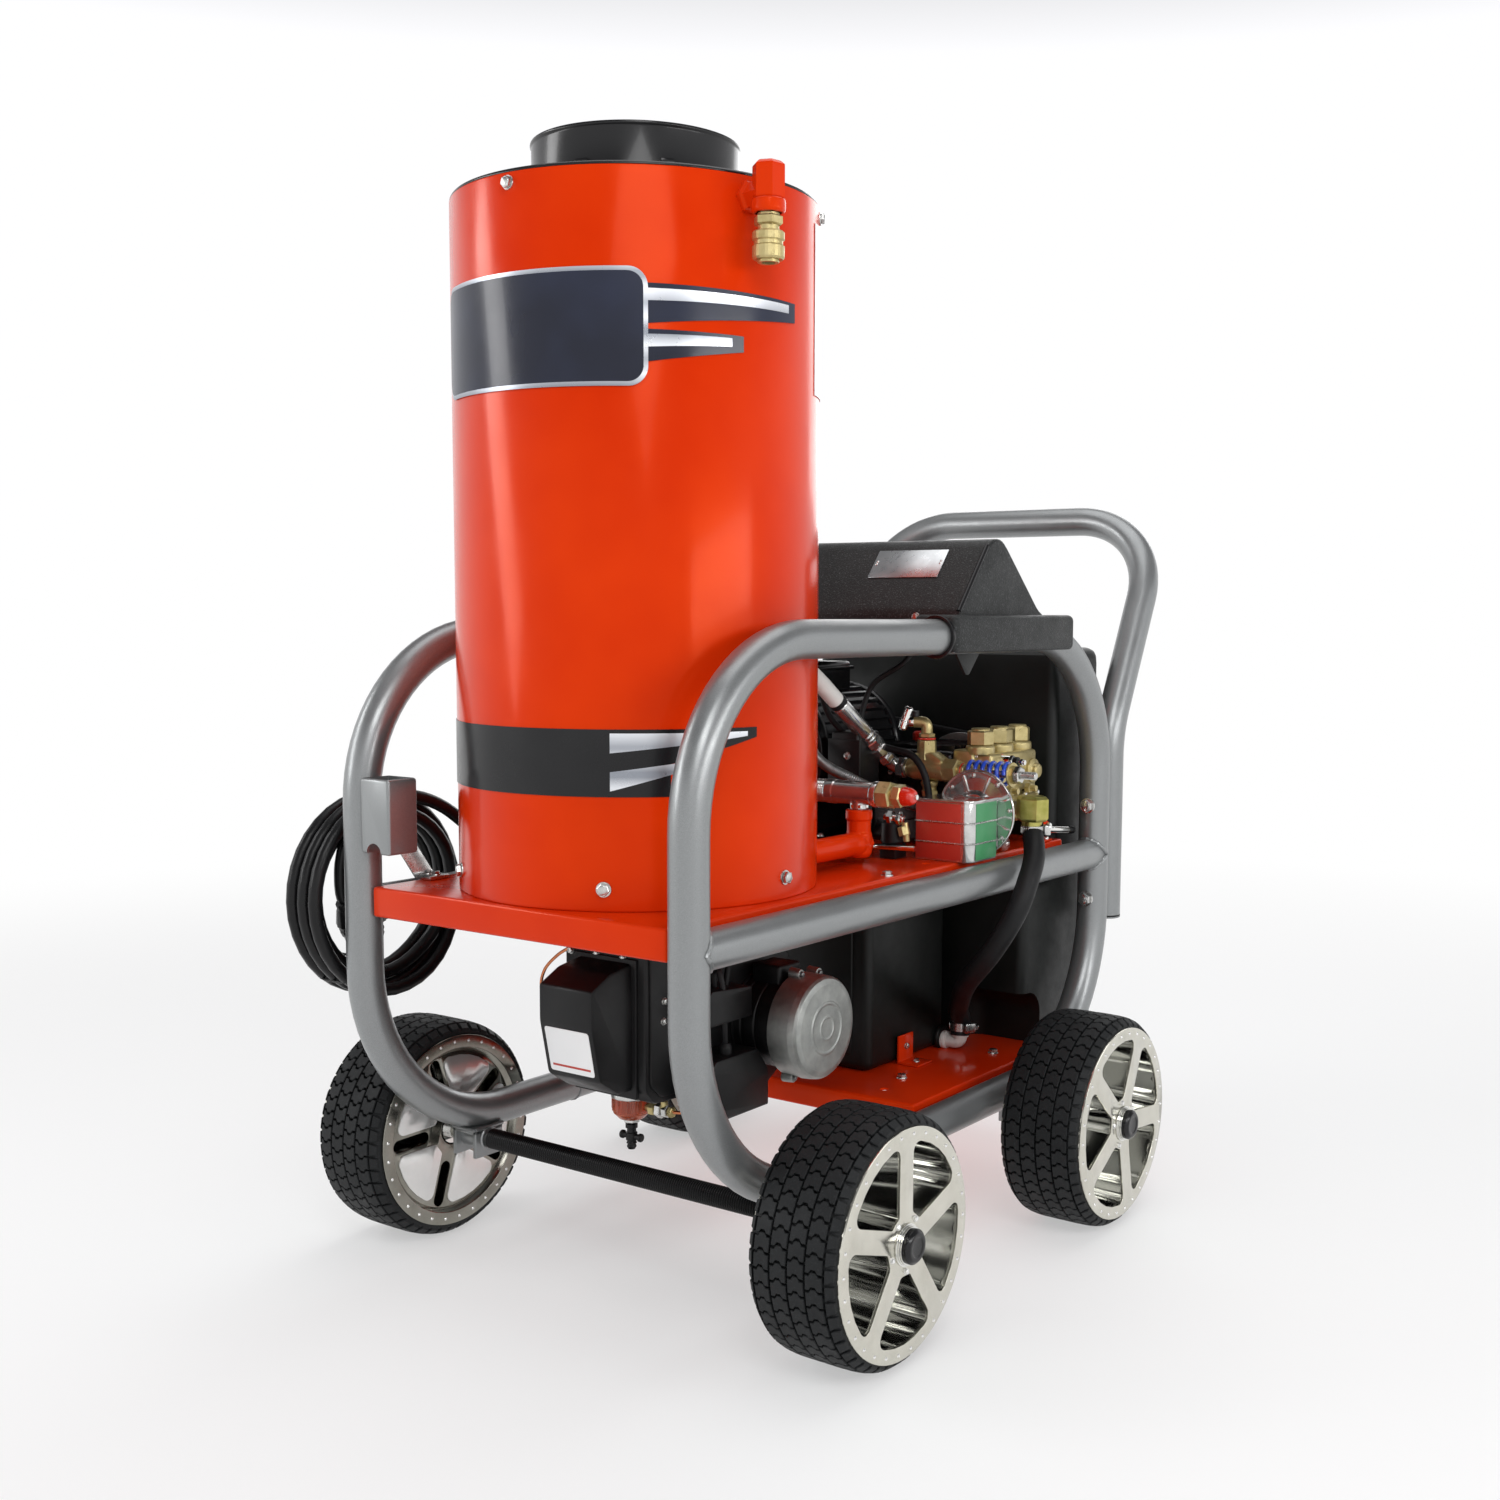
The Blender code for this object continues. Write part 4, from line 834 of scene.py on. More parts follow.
def deck(name, low_y, high_y, top, drop, holes=()):
    half = 0.217
    plate = Shape().box((-half, low_y, top - drop), (half, high_y, top), 0.0035, 4)
    under = Shape().box((-half + 0.003, low_y + 0.003, top - drop - 0.03), (half - 0.003, high_y - 0.003,
                                                                            top - 0.003), 0.002)
    tools = [under]
    for x, y, radius in holes:
        tools.append(Shape().rod((x, y, top - 0.01), (x, y, top + 0.01), radius, 48, 0))
    plate.cut(*tools)
    plate.piece(f"{name}_pressing", "orange", nodes=name)


def decks():
    deck("upper_deck", -0.5558, 0.298, UPPER_DECK_Z, 0.0345, ((0, BOILER_Y, 0.058), (0.190, -0.02, 0.006),
                                                              (0.158, 0.10, 0.008)))
    deck("lower_deck", -0.0888, 0.440, LOWER_DECK_Z, 0.0295, ((0.150, -0.050, 0.006), (-0.150, -0.050,
                                                                                       0.006)))
    bolts = Shape()
    for x, y in ((0.2045, -0.134), (0.202, 0.060), (0.196, 0.262), (-0.2045, -0.134), (-0.202, 0.060),
                 (-0.196, 0.262), (0.1743, 0.2104), (0.010, 0.283), (-0.170, 0.180), (-0.170, 0.080)):
        bolts.bolt((x, y, UPPER_DECK_Z), Z, 0.0066, x * 9)
    for x, y in ((0.1397, 0.0075), (0.1727, 0.189), (-0.1397, 0.0075), (-0.1727, 0.189)):
        bolts.bolt((x, y, LOWER_DECK_Z), Z, 0.0066, y * 9)
    bolts.piece("deck_bolts", "steel")
    angle = Shape()
    angle.slab([softened([(0.0990, LOWER_DECK_Z + 0.0003), (0.132, LOWER_DECK_Z + 0.0003),
                          (0.132, LOWER_DECK_Z + 0.0033), (0.1020, LOWER_DECK_Z + 0.0033), (0.1020, 0.222),
                          (0.0990, 0.222)], 0.0012, True)], 0.060, 0.096, "Y", 0.0006)
    angle.piece("tank_angle_bracket", "orange")
    small = Shape().bolt((0.1020, 0.078, 0.206), X, 0.0042)
    small.bolt((0.118, 0.078, LOWER_DECK_Z + 0.0033), Z, 0.0042)
    small.piece("tank_bracket_bolts", "steel")


# ---------------------------------------------------------------- wheels

RIM_FACE_X, TYRE_OUTER_X, TYRE_INNER_X = 0.3876, 0.3843, 0.2793
TYRE_MID_X = (TYRE_OUTER_X + TYRE_INNER_X) / 2
BARREL_R = 0.1085
SPOKES = 5


def crown(x):
    """Tyre radius at a distance from its middle plane."""
    share = min(1.0, abs(x) / 0.0525)
    return 0.1215 + 0.0135 * (1 - share ** 5) ** 0.375


def tread_block(shape, outline, matrix, deep):
    """One lug: an outline of (arc length, distance from the middle plane), raised from the carcass."""
    centre = Vector((sum(p[0] for p in outline), sum(p[1] for p in outline))) / len(outline)
    part = bmesh.new()
    rows = []
    for lift, inset in ((-deep, 0.0), (-0.0008, 0.0), (0.0, 0.0008)):
        row = []
        for s, x in outline:
            away = Vector((s, x)) - centre
            s, x = centre + away * (1 - inset / max(away.length, 1e-6))
            radius = crown(x) + lift
            turn = s / 0.135
            row.append(part.verts.new((x, radius * math.sin(turn), radius * math.cos(turn))))
        rows.append(row)
    count = len(outline)
    for one, two in zip(rows, rows[1:]):
        for k in range(count):
            part.faces.new((one[k], one[(k + 1) % count], two[(k + 1) % count], two[k]))
    part.faces.new(rows[-1])
    part.faces.new(rows[0])
    shape.take(part, matrix)


def tyre_shape():
    """Carcass with four columns of wave-shaped turf lugs and shoulder lugs each side; axis along X."""
    tyre = Shape()
    groove, half = 0.0048, 0.0525
    outer = [(crown(half * math.sin(math.pi / 2 * t)) - groove * (1 - abs(t) ** 8),
              half * math.sin(math.pi / 2 * t)) for t in [k / 14 - 1 for k in range(29)]][::-1]
    wall = [(0.1160, half + 0.0), (0.1130, half - 0.001)]
    profile = outer + [(r, -x) for r, x in wall] + [(r, x) for r, x in reversed(wall)]
    tyre.turned(profile, (0, 0, 0), X, 120, ring=True)
    pitches, columns, width, gap, wave = 48, 4, 0.0214, 0.0026, 0.0038
    pitch = math.tau * 0.135 / pitches
    for k in range(pitches):
        turn = Matrix.Rotation(math.tau * k / pitches, 4, "X")
        for column in range(columns):
            x0 = (column - columns / 2) * width
            shift = 0.5 * pitch * (column % 2)
            edge = [(share, wave * high) for share, high in ((0.05, 0), (0.25, 0), (0.38, 1), (0.62, 1),
                                                             (0.75, 0), (0.95, 0))]
            low, high = shift - pitch / 2 + gap / 2, shift + pitch / 2 - gap / 2
            outline = [(low + lift, x0 + width * share) for share, lift in edge]
            outline += [(high + lift, x0 + width * share) for share, lift in reversed(edge)]
            tread_block(tyre, outline, turn, groove + 0.0004)
        for side in (-1, 1):
            low, high = -pitch / 2 + gap / 2, pitch / 2 - gap / 2
            inner, outer_x = side * (columns / 2 * width + 0.0014), side * 0.0519
            outline = [(low, inner), (low + 0.0022, outer_x), (high - 0.0006, outer_x), (high, inner)]
            tread_block(tyre, outline, turn, groove + 0.0004)
    return tyre


def window(scale=1.0, grow=0.0, reach=0.1065):
    """Outline of the opening between two spokes, middle on the local X axis."""
    half_spoke, low, high = 0.0125 - grow, 0.034 - grow, reach + grow
    lean = math.pi / SPOKES
    inner = []
    for radius in (low, high):
        angle = lean - math.asin(half_spoke / radius)
        inner.append((radius, angle))
    corners = [(inner[0][0], -inner[0][1])]
    corners += [(high, inner[1][1] * t) for t in (-1, -0.72, -0.36, 0, 0.36, 0.72, 1)]
    corners.append((inner[0][0], inner[0][1]))
    points = [Vector((r * math.cos(a), r * math.sin(a), 0)) for r, a in corners]
    radii = [0.006, 0.010] + [0.0] * 5 + [0.010, 0.006]
    path = rounded(points, radii, 5, closed=True)
    centre = Vector((0.070, 0, 0))
    return [((centre + (p - centre) * scale).x, (centre + (p - centre) * scale).y) for p in path]


def turned_outline(outline, angle):
    c, s = math.cos(angle), math.sin(angle)
    return [(x * c - y * s, x * s + y * c) for x, y in outline]


def circle(radius, count=96):
    return [(radius * math.cos(math.tau * k / count),
             radius * math.sin(math.tau * k / count)) for k in range(count)]


def pocket(shape, angle, matrix):
    """Chromed cup behind one opening of the rim's face: its front floor and, deeper, its rounded back."""
    part = bmesh.new()
    front = ((-0.0745, 0.80), (-0.0735, 0.85), (-0.0700, 0.88), (0.0, 1.0))
    back = ((0.0, 1.010), (-0.0400, 1.010), (-0.0720, 1.005), (-0.0775, 0.985), (-0.0800, 0.94),
            (-0.0790, 0.50))
    rows = []
    for depth, scale in front + back:
        rows.append([part.verts.new((x, y, depth)) for x, y in turned_outline(window(scale), angle)])
    count = len(rows[0])
    for one, two in zip(rows, rows[1:]):
        for k in range(count):
            part.faces.new((one[k], one[(k + 1) % count], two[(k + 1) % count], two[k]))
    centre = turned_outline([(0.070, 0.0)], angle)[0]
    for row, depth in ((rows[0], -0.0746), (rows[-1], -0.0785)):
        middle = part.verts.new((*centre, depth))
        for k in range(count):
            part.faces.new((row[k], row[(k + 1) % count], middle))
    bmesh.ops.recalc_face_normals(part, faces=part.faces)
    shape.take(part, matrix)


def slot_outline(start, end, half, angle, steps=10):
    """Round-ended slot lying along a radius."""
    arc = [math.pi * (k / steps - 0.5) for k in range(steps + 1)]
    outline = [(end - half + half * math.cos(a), half * math.sin(a)) for a in arc]
    outline += [(start + half - half * math.cos(a), -half * math.sin(a)) for a in arc]
    return turned_outline(outline, angle)


def wheel_kit():
    """One wheel's pieces, axis along +X: name, mesh object, finish and the CAD node's ending."""
    to_x = aimed((0, 0, 0), X)
    holes = [turned_outline(window(), math.tau * (k + 0.5) / SPOKES) for k in range(SPOKES)]
    face = Shape()
    face.slab([circle(0.1222, 120), *holes, circle(0.0120, 32)], RIM_FACE_X - 0.0042, RIM_FACE_X, "Z",
              0.0007, to_x)
    shell = Shape()
    barrel = [(0.1222, RIM_FACE_X - 0.0046), (0.1222, RIM_FACE_X - 0.0066), (0.1120, RIM_FACE_X - 0.0072),
              (BARREL_R, RIM_FACE_X - 0.012), (BARREL_R, TYRE_INNER_X + 0.010),
              (0.1120, TYRE_INNER_X + 0.004), (0.1195, TYRE_INNER_X + 0.0005),
              (0.1195, TYRE_INNER_X - 0.0030), (0.1040, TYRE_INNER_X - 0.0030),
              (0.0985, TYRE_INNER_X + 0.004), (0.0975, TYRE_INNER_X + 0.016),
              (BARREL_R - 0.002, TYRE_INNER_X + 0.020), (BARREL_R - 0.002, RIM_FACE_X - 0.012),
              (0.1060, RIM_FACE_X - 0.0046)]
    barrel_shape = Shape().turned(barrel, (0, 0, 0), X, 120, ring=True, soft=0.0008)
    for k in range(SPOKES):
        pocket(shell, math.tau * (k + 0.5) / SPOKES, to_x @ Matrix.Translation((0, 0, RIM_FACE_X - 0.0036)))
    shell.turned([(0.0235, RIM_FACE_X - 0.004), (0.0235, RIM_FACE_X - 0.045), (0.0250, RIM_FACE_X - 0.060),
                  (0.0180, TYRE_INNER_X + 0.004), (0.0083, TYRE_INNER_X + 0.004),
                  (0.0083, RIM_FACE_X - 0.004)], (0, 0, 0), X, 48, ring=True)
    backing = Shape()
    grown = [turned_outline(window(grow=0.0009), math.tau * (k + 0.5) / SPOKES) for k in range(SPOKES)]
    backing.slab([circle(0.1084, 96), *grown, circle(0.0240, 32)], RIM_FACE_X - 0.012, RIM_FACE_X - 0.0046,
                 "Z", 0.0004, to_x)
    back, panels = Shape(), Shape()
    slots = [slot_outline(0.041, 0.0975, 0.0078, math.tau * k / SPOKES) for k in range(SPOKES)]
    back.slab([circle(0.0992, 96), *slots, circle(0.0200, 32)], TYRE_INNER_X + 0.0040,
              TYRE_INNER_X + 0.0075, "Z", 0.0007, to_x)
    # These back panels take the brighter chrome, painted reflection, so the pocket backs read pale.
    for k in range(SPOKES):
        seen = turned_outline(window(grow=0.0005, reach=0.0935), math.tau * (k + 0.5) / SPOKES)
        panels.slab([seen], TYRE_INNER_X + 0.0018, TYRE_INNER_X + 0.0045, "Z", 0.0012, to_x)
    trim = Shape()
    for k in range(30):
        angle = math.tau * (k + 0.5) / 30
        rivet = [(0, 0.0014), (0.0012, 0.0011), (0.0021, 0), (0, -0.0004)]
        at = to_x @ Vector((0.1152 * math.cos(angle), 0.1152 * math.sin(angle), RIM_FACE_X))
        trim.turned(rivet, at, X, 14)
        at = to_x @ Vector((0.1120 * math.cos(angle), 0.1120 * math.sin(angle), TYRE_INNER_X - 0.0030))
        trim.turned(rivet, at, -X, 14)
    for k in range(SPOKES):
        angle = math.tau * (k + 0.5) / SPOKES
        at = to_x @ Vector((0.0285 * math.cos(angle), 0.0285 * math.sin(angle), RIM_FACE_X))
        trim.bolt(at, X, 0.0032, 0.4 * k)
    hub = Shape()
    for k, (radius, height) in enumerate(((0.0225, 0.0022), (0.0212, 0.0020), (0.0202, 0.0020))):
        hub.turned([(radius, height), (radius, 0), (0.0084, 0), (0.0084, height)],
                   (RIM_FACE_X + 0.0001 + 0.0022 * k, 0, 0), X, 48, ring=True, soft=0.0005)
    cap = Shape()
    face_x = 0.402
    cap.turned([(0, face_x - 0.0012), (0.0095, face_x - 0.0010), (0.0110, face_x), (0.0150, face_x),
                (0.0187, face_x - 0.0034), (0.0187, RIM_FACE_X + 0.0066), (0, RIM_FACE_X + 0.0066)],
               (0, 0, 0), X, 56, soft=0.0009)
    stem = Shape()
    valve = to_x @ Vector((0.1035, 0, 0))
    stem.turned([(0, 0.0215), (0.0026, 0.0210), (0.0028, 0.0150), (0.0036, 0.0140), (0.0042, 0.0), (0, 0.0)],
                Vector((RIM_FACE_X - 0.0225, valve.y, valve.z)), X, 20, soft=0.0004)
    # The barrel and back plate take the darker rim metal: painted shade for the wheel's inner side.
    return [("tyre", tyre_shape(), "tyre", "tyre", 28), ("rim_face", face, "rim_face", "rim", 32),
            ("rim_pockets", shell, "mirror", None, 40), ("spoke_backing", backing, "plastic", None, 32),
            ("rim_barrel", barrel_shape, "painted_shade_rim", None, 40), ("rim_back_plate", back, "painted_shade_rim",
                                                                   None, 32),
            ("rim_back_panels", panels, "painted_reflection_chrome", None, 32), ("rim_rivets", trim, "painted_reflection_chrome", None,
                                                                   32), ("hub_washers", hub, "chrome", None,
                                                                         32),
            ("hub_cap_moulding", cap, "black_gloss", "hub_cap", 32), ("valve_stem", stem, "hose", None, 32)]


def wheels():
    kit = [(name, shape.solid(name, angle), finish, node) for name, shape, finish, node, angle in wheel_kit()]
    for end, y in (("front", FRONT_AXLE_Y), ("rear", REAR_AXLE_Y)):
        for hand, turn in (("left", math.pi), ("right", 0.0)):
            spin = {"front_left": 0.30, "front_right": 0.62, "rear_left": 1.0,
                    "rear_right": 0.20}[f"{end}_{hand}"]
            matrix = Matrix.Translation((0, y, AXLE_Z)) @ Matrix.Rotation(turn, 4,
                                                                          "Z") @ Matrix.Rotation(spin, 4,
                                                                                                 "X")
            for name, source, finish, node in kit:
                copy = source.data.copy()
                offset = Matrix.Translation((TYRE_MID_X, 0, 0)) if name == "tyre" else Matrix.Identity(4)
                copy.transform(matrix @ offset)
                piece = bpy.data.objects.new(f"{end}_{hand}_{name}"
                                             if name != "tyre" else f"{end}_{hand}_tread", copy)
                bpy.context.scene.collection.objects.link(piece)
                dress(piece, finish, f"{end}_{hand}_wheel", f"{end}_{hand}_{node}" if node else ())
    for _, source, _, _ in kit:
        bpy.data.objects.remove(source)


def axles():
    for end, y in (("front", FRONT_AXLE_Y), ("rear", REAR_AXLE_Y)):
        bar = Shape()
        bar.rod((-0.3955, y, AXLE_Z), (0.3955, y, AXLE_Z), 0.008, 32, 0.0012)
        for side in (-1, 1):
            bar.turned([(0.0150, 0.0030), (0.0150, 0), (0.0083, 0), (0.0083, 0.0030)],
                       (side * 0.2655, y, AXLE_Z), X * side, 32, ring=True, soft=0.0005)
            bar.turned([(0.0115, 0.0160), (0.0115, 0), (0.0083, 0), (0.0083, 0.0160)],
                       (side * 0.2690, y, AXLE_Z), X * side, 32, ring=True, soft=0.0005)
        bar.piece(f"{end}_axle_bar", "steel", nodes=f"{end}_axle")
    ribs = Shape()
    turns, half = 134, 0.2150
    profile = []
    for k in range(turns * 4 + 1):
        x = half - 2 * half * k / (turns * 4)
        profile.append((0.0106 + (0.0, 0.0013, 0.0019, 0.0013)[k % 4], x))
    ribs.turned(profile + [(0.0083, -half), (0.0083, half)], (0, FRONT_AXLE_Y, AXLE_Z), X, 32, ring=True)
    ribs.piece("axle_guard_ribs", "jacket", nodes="axle_guard", angle=60)


# ---------------------------------------------------------------- boiler

BOILER_TOP_Z = 1.2268
OUTLET_ANGLE = -15.0
OUTLET_Z, OUTLET_REACH = 1.205, 0.237


def wrapped(name, finish, start, end, top, bottom, lift=0.0004, thick=0.0005):
    """A thin patch on the boiler's wall between two angles, its upper and lower edges given as functions."""
    steps = max(6, int(abs(end - start) / 1.2))
    part = bmesh.new()
    rows = []
    for k in range(steps + 1):
        share = 0.5 - 0.5 * math.cos(math.pi * k / steps)
        angle = start + (end - start) * share
        high, low = top(angle), bottom(angle)
        outer, inner = BOILER_R + lift + thick, BOILER_R + lift
        rows.append([part.verts.new(around_boiler(r, angle, z))
                     for r, z in ((outer, high), (outer, low), (inner, low), (inner, high))])
    for one, two in zip(rows, rows[1:]):
        for k in range(4):
            part.faces.new((one[k], one[(k + 1) % 4], two[(k + 1) % 4], two[k]))
    part.faces.new(rows[0])
    part.faces.new(rows[-1])
    Shape().take(part).piece(name, finish)


def round_ended(start, end, middle, half, corner):
    """Upper or lower edge of a panel with rounded corners, as a function of angle; half may be negative."""
    def edge(angle):
        arc = min(angle - start, end - angle) * math.pi / 180 * BOILER_R
        drop = corner - math.sqrt(max(0.0,
                                      corner ** 2 - max(0.0, corner - arc) ** 2)) if arc < corner else 0.0
        return middle + math.copysign(abs(half) - drop, half)
    return edge


def slanted(at_start, at_end, start, end):
    return lambda angle: at_start + (at_end - at_start) * (angle - start) / (end - start)


INLAY_LIFT, RIM_LIFT, FIELD_LIFT = 0.0009, 0.0010, 0.0016  # films lying on films
BAND_LOW_Z, BAND_HIGH_Z = 0.5925, 0.6625
PANEL_START, PANEL_END, PANEL_Z = -126.0, -46.0, 1.0685


def stripe(name, finish, start, end, top, bottom, *lift):
    """A straight stripe on the wall; top and bottom are its edges' heights at its two ends."""
    wrapped(name, finish, start, end, slanted(*top, start, end), slanted(*bottom, start, end), *lift)


def rounded_panel(name, finish, inset, half, corner, lift):
    """The rounded dark panel, or its silver rim."""
    start, end = PANEL_START + inset, PANEL_END - inset
    wrapped(name, finish, start, end, round_ended(start, end, PANEL_Z, half, corner),
            round_ended(start, end, PANEL_Z, -half, corner), lift)


def boiler_graphics():
    """Plain decoration: a rounded dark panel, two straight stripes beside it, a band with stripes below."""
    upper, middle = PANEL_END - 6, PANEL_END - 8
    stripe("upper_stripe_field", "navy", upper, 5.0, (1.112, 1.108), (1.070, 1.088))
    stripe("upper_stripe_silver", "foil", upper, 1.5, (1.1065, 1.1050), (1.094, 1.0965), INLAY_LIFT)
    stripe("middle_stripe_field", "navy", middle, -17.0, (1.0665, 1.0650), (1.030, 1.049))
    stripe("middle_stripe_silver", "foil", middle, -21.0, (1.0610, 1.0620), (1.047, 1.0535), INLAY_LIFT)
    rounded_panel("panel_rim", "foil", 0.0, 0.0590, 0.020, RIM_LIFT)
    rounded_panel("panel_field", "navy", 1.3, 0.0545, 0.016, FIELD_LIFT)
    wrapped("lower_band", "black_vinyl", -150.0, -40.0, lambda a: BAND_HIGH_Z, lambda a: BAND_LOW_Z)
    stripe("lower_band_point", "black_vinyl", -40.5, -12.0, (BAND_HIGH_Z, BAND_HIGH_Z), (0.6260, 0.6520))
    stripe("lower_stripe_upper", "foil", -57.5, -15.5, (0.6585, 0.6585), (0.6380, 0.6535), INLAY_LIFT)
    stripe("lower_stripe_lower", "foil", -57.5, -30.0, (0.6185, 0.6310), (0.5985, 0.6250), INLAY_LIFT)
    wrapped("side_label", "white_label", 21.0, 44.0, lambda a: 1.204, lambda a: 1.020)


def boiler():
    shell = Shape()
    floor = UPPER_DECK_Z + 0.0003
    shell.turned([(BOILER_R - 0.0005, BOILER_TOP_Z), (BOILER_R, BOILER_TOP_Z - 0.0012),
                  (BOILER_R, floor + 0.0012), (BOILER_R - 0.0008, floor), (BOILER_R - 0.003, floor),
                  (BOILER_R - 0.003, BOILER_TOP_Z)], (0, BOILER_Y, 0), Z, 192, ring=True)
    for k in range(2):
        shell.box((-0.0125, -0.0006, floor + 0.002), (0.0125, 0.0009, BOILER_TOP_Z - 0.002), 0.0005,
                  matrix=Matrix.Translation(around_boiler(BOILER_R, 118,
                                                          0)) @ Matrix.Rotation(math.radians(28), 4, "Z"))
    shell.piece("boiler_jacket", "orange", nodes="boiler_shell")
    boiler_graphics()
    seat = BOILER_TOP_Z + 0.0003
    top = Shape()
    top.turned([(0.1165, 1.2940), (0.1170, 1.2915), (0.1155, 1.2890), (0.1155, 1.2500), (0.1200, 1.2480),
                (0.1350, 1.2440), (0.2030, seat + 0.0035), (0.2045, seat + 0.0015), (0.2045, seat),
                (0.105, seat), (0.105, 1.2925), (0.1065, 1.2940)], (0, BOILER_Y, 0), Z, 160, ring=True,
               soft=0.0008)
    for k in range(8):
        angle = 360 * k / 8 + 12
        turn = Matrix.Translation(around_boiler(0.1165, angle,
                                                1.2505)) @ Matrix.Rotation(math.radians(angle), 4, "Z")
        top.box((-0.0015, -0.0075, 0.0), (0.0035, 0.0075, 0.0060), 0.0010, matrix=turn)
    top.piece("boiler_crown", "black_gloss", nodes="boiler_top")
    screws = Shape()
    for angle in (-123.7, -59.6, 1.0, 61.0, 121.0, 180.0):
        screws.bolt(around_boiler(BOILER_R - 0.0002, angle, 0.4960),
                    around_boiler(1, angle, 0) - around_boiler(0, angle, 0), 0.0076)
    for angle in (-88.4, 31.6, 151.6):
        screws.bolt(around_boiler(BOILER_R - 0.0002, angle, 1.2165),
                    around_boiler(1, angle, 0) - around_boiler(0, angle, 0), 0.0068)
    screws.piece("boiler_screws", "steel")

    elbow = Shape()
    foot = around_boiler(OUTLET_REACH, OUTLET_ANGLE, 1.184)
    elbow.turned([(0, 0.0510), (0.0125, 0.0510), (0.0172, 0.0470), (0.0172, 0.0150), (0.0150, 0.0135),
                  (0.0150, 0.0)], foot, Z, 6, spin=0.35, soft=0.0012)
    elbow.turned([(0, 0.0140), (0.0160, 0.0140), (0.0175, 0.0120), (0.0175, 0.0025), (0.0160, 0.0),
                  (0, 0.0)], foot, Z, 40, soft=0.0010)
    outward = (around_boiler(1, OUTLET_ANGLE, 0) - around_boiler(0, OUTLET_ANGLE, 0)).normalized()
    elbow.turned([(0, 0.0), (0.0172, 0.0), (0.0172, 0.0060), (0.0145, 0.0085), (0.0145, 0.0370), (0, 0.0370)],
                 around_boiler(BOILER_R - 0.001, OUTLET_ANGLE, OUTLET_Z), outward, 6, spin=0.2, soft=0.0012)
    elbow.piece("outlet_elbow_casting", "orange", nodes="outlet_elbow")

    foot = around_boiler(OUTLET_REACH, OUTLET_ANGLE, 1.135)
    body = Shape()
    body.turned([(0, 0.0488), (0.0112, 0.0488), (0.0112, 0.0465), (0, 0.0465)], foot, Z, 40)
    body.nut(foot + Z * 0.0365, Z, 0.0262, 0.0100, 0.35)
    body.turned([(0.0110, 0.0370), (0.0110, 0.0), (0.0100, -0.0), (0.0072, 0.0), (0.0072, 0.0250),
                 (0.0, 0.0250), (0, 0.0370)][:-2] + [(0.0060, 0.0260), (0.0060, 0.0370)], foot, Z, 40,
                ring=True)
    body.piece("coupler_barrel", "brass", nodes="coupler_body")
    sleeve = Shape()
    sleeve.turned([(0.0150, 0.0310), (0.0165, 0.0295), (0.0165, 0.0225), (0.0148, 0.0210), (0.0148, 0.0175),
                   (0.0165, 0.0160), (0.0165, 0.0050), (0.0150, 0.0030), (0.0114, 0.0030),
                   (0.0114, 0.0310)], foot, Z, 120, ring=True, wave=lambda a,
                  h: 1 - (0.012 * (math.cos(30 * a) > 0.2) if h < 0.018 or h > 0.0215 else 0))
    sleeve.piece("coupler_knurled_sleeve", "brass", "coupler_sleeve", "coupler_sleeve")

    inlet = Shape()
    x, tee_y = 0.120, -0.068
    inlet.turned([(0, 0.0600), (0.0150, 0.0600), (0.0168, 0.0585), (0.0168, 0.0480), (0.0150, 0.0460),
                  (0.0150, 0.0320), (0.0165, 0.0290), (0.0165, 0.0050), (0.0130, 0.0), (0, 0.0)],
                 (x, tee_y, 0.480), Z, 48, soft=0.0015)
    run_end = BOILER_Y + math.sqrt(BOILER_R ** 2 - x ** 2)
    inlet.turned([(0, 0.0), (0.0165, 0.0), (0.0168, 0.0120), (0.0150, 0.0180), (0.0145, 0.0240),
                  (0.0145, tee_y - run_end), (0, tee_y - run_end)], (x, tee_y, 0.497), -Y, 48, soft=0.0015)
    inlet.turned([(0, 0.0), (0.0150, 0.0), (0.0165, 0.004), (0.0165, 0.012), (0.0145, 0.016), (0, 0.016)],
                 (x, tee_y - 0.002, 0.497), Y, 8, soft=0.001)
    inlet.piece("coil_inlet_casting", "orange", nodes="coil_inlet_elbow")

    coil = Shape()
    turns, per_turn, lift = 13, 36, 0.024
    start = math.degrees(math.acos(0.120 / BOILER_R))
    end = OUTLET_ANGLE + 360 * turns
    steps = round((end - start) / 360 * per_turn)
    path = [around_boiler(0.2004, start, 0.497), around_boiler(0.175, start, 0.497)]
    for k in range(steps + 1):
        share = k / steps
        path.append(around_boiler(0.150, start + (end - start) * share,
                                  0.497 + lift + (OUTLET_Z - 0.497 - 2 * lift) * share))
    path += [around_boiler(0.175, OUTLET_ANGLE, OUTLET_Z), around_boiler(0.2004, OUTLET_ANGLE, OUTLET_Z)]
    coil.tube(path, 0.0133, 16)
    coil.piece("coil_pipe", "soot", nodes="heating_coil")


# ---------------------------------------------------------------- burner

FAN_Y, FAN_Z = -0.199, 0.294
BURNER_FACE_X = 0.060
FILTER_Y, FILTER_Z = -0.362, 0.1962


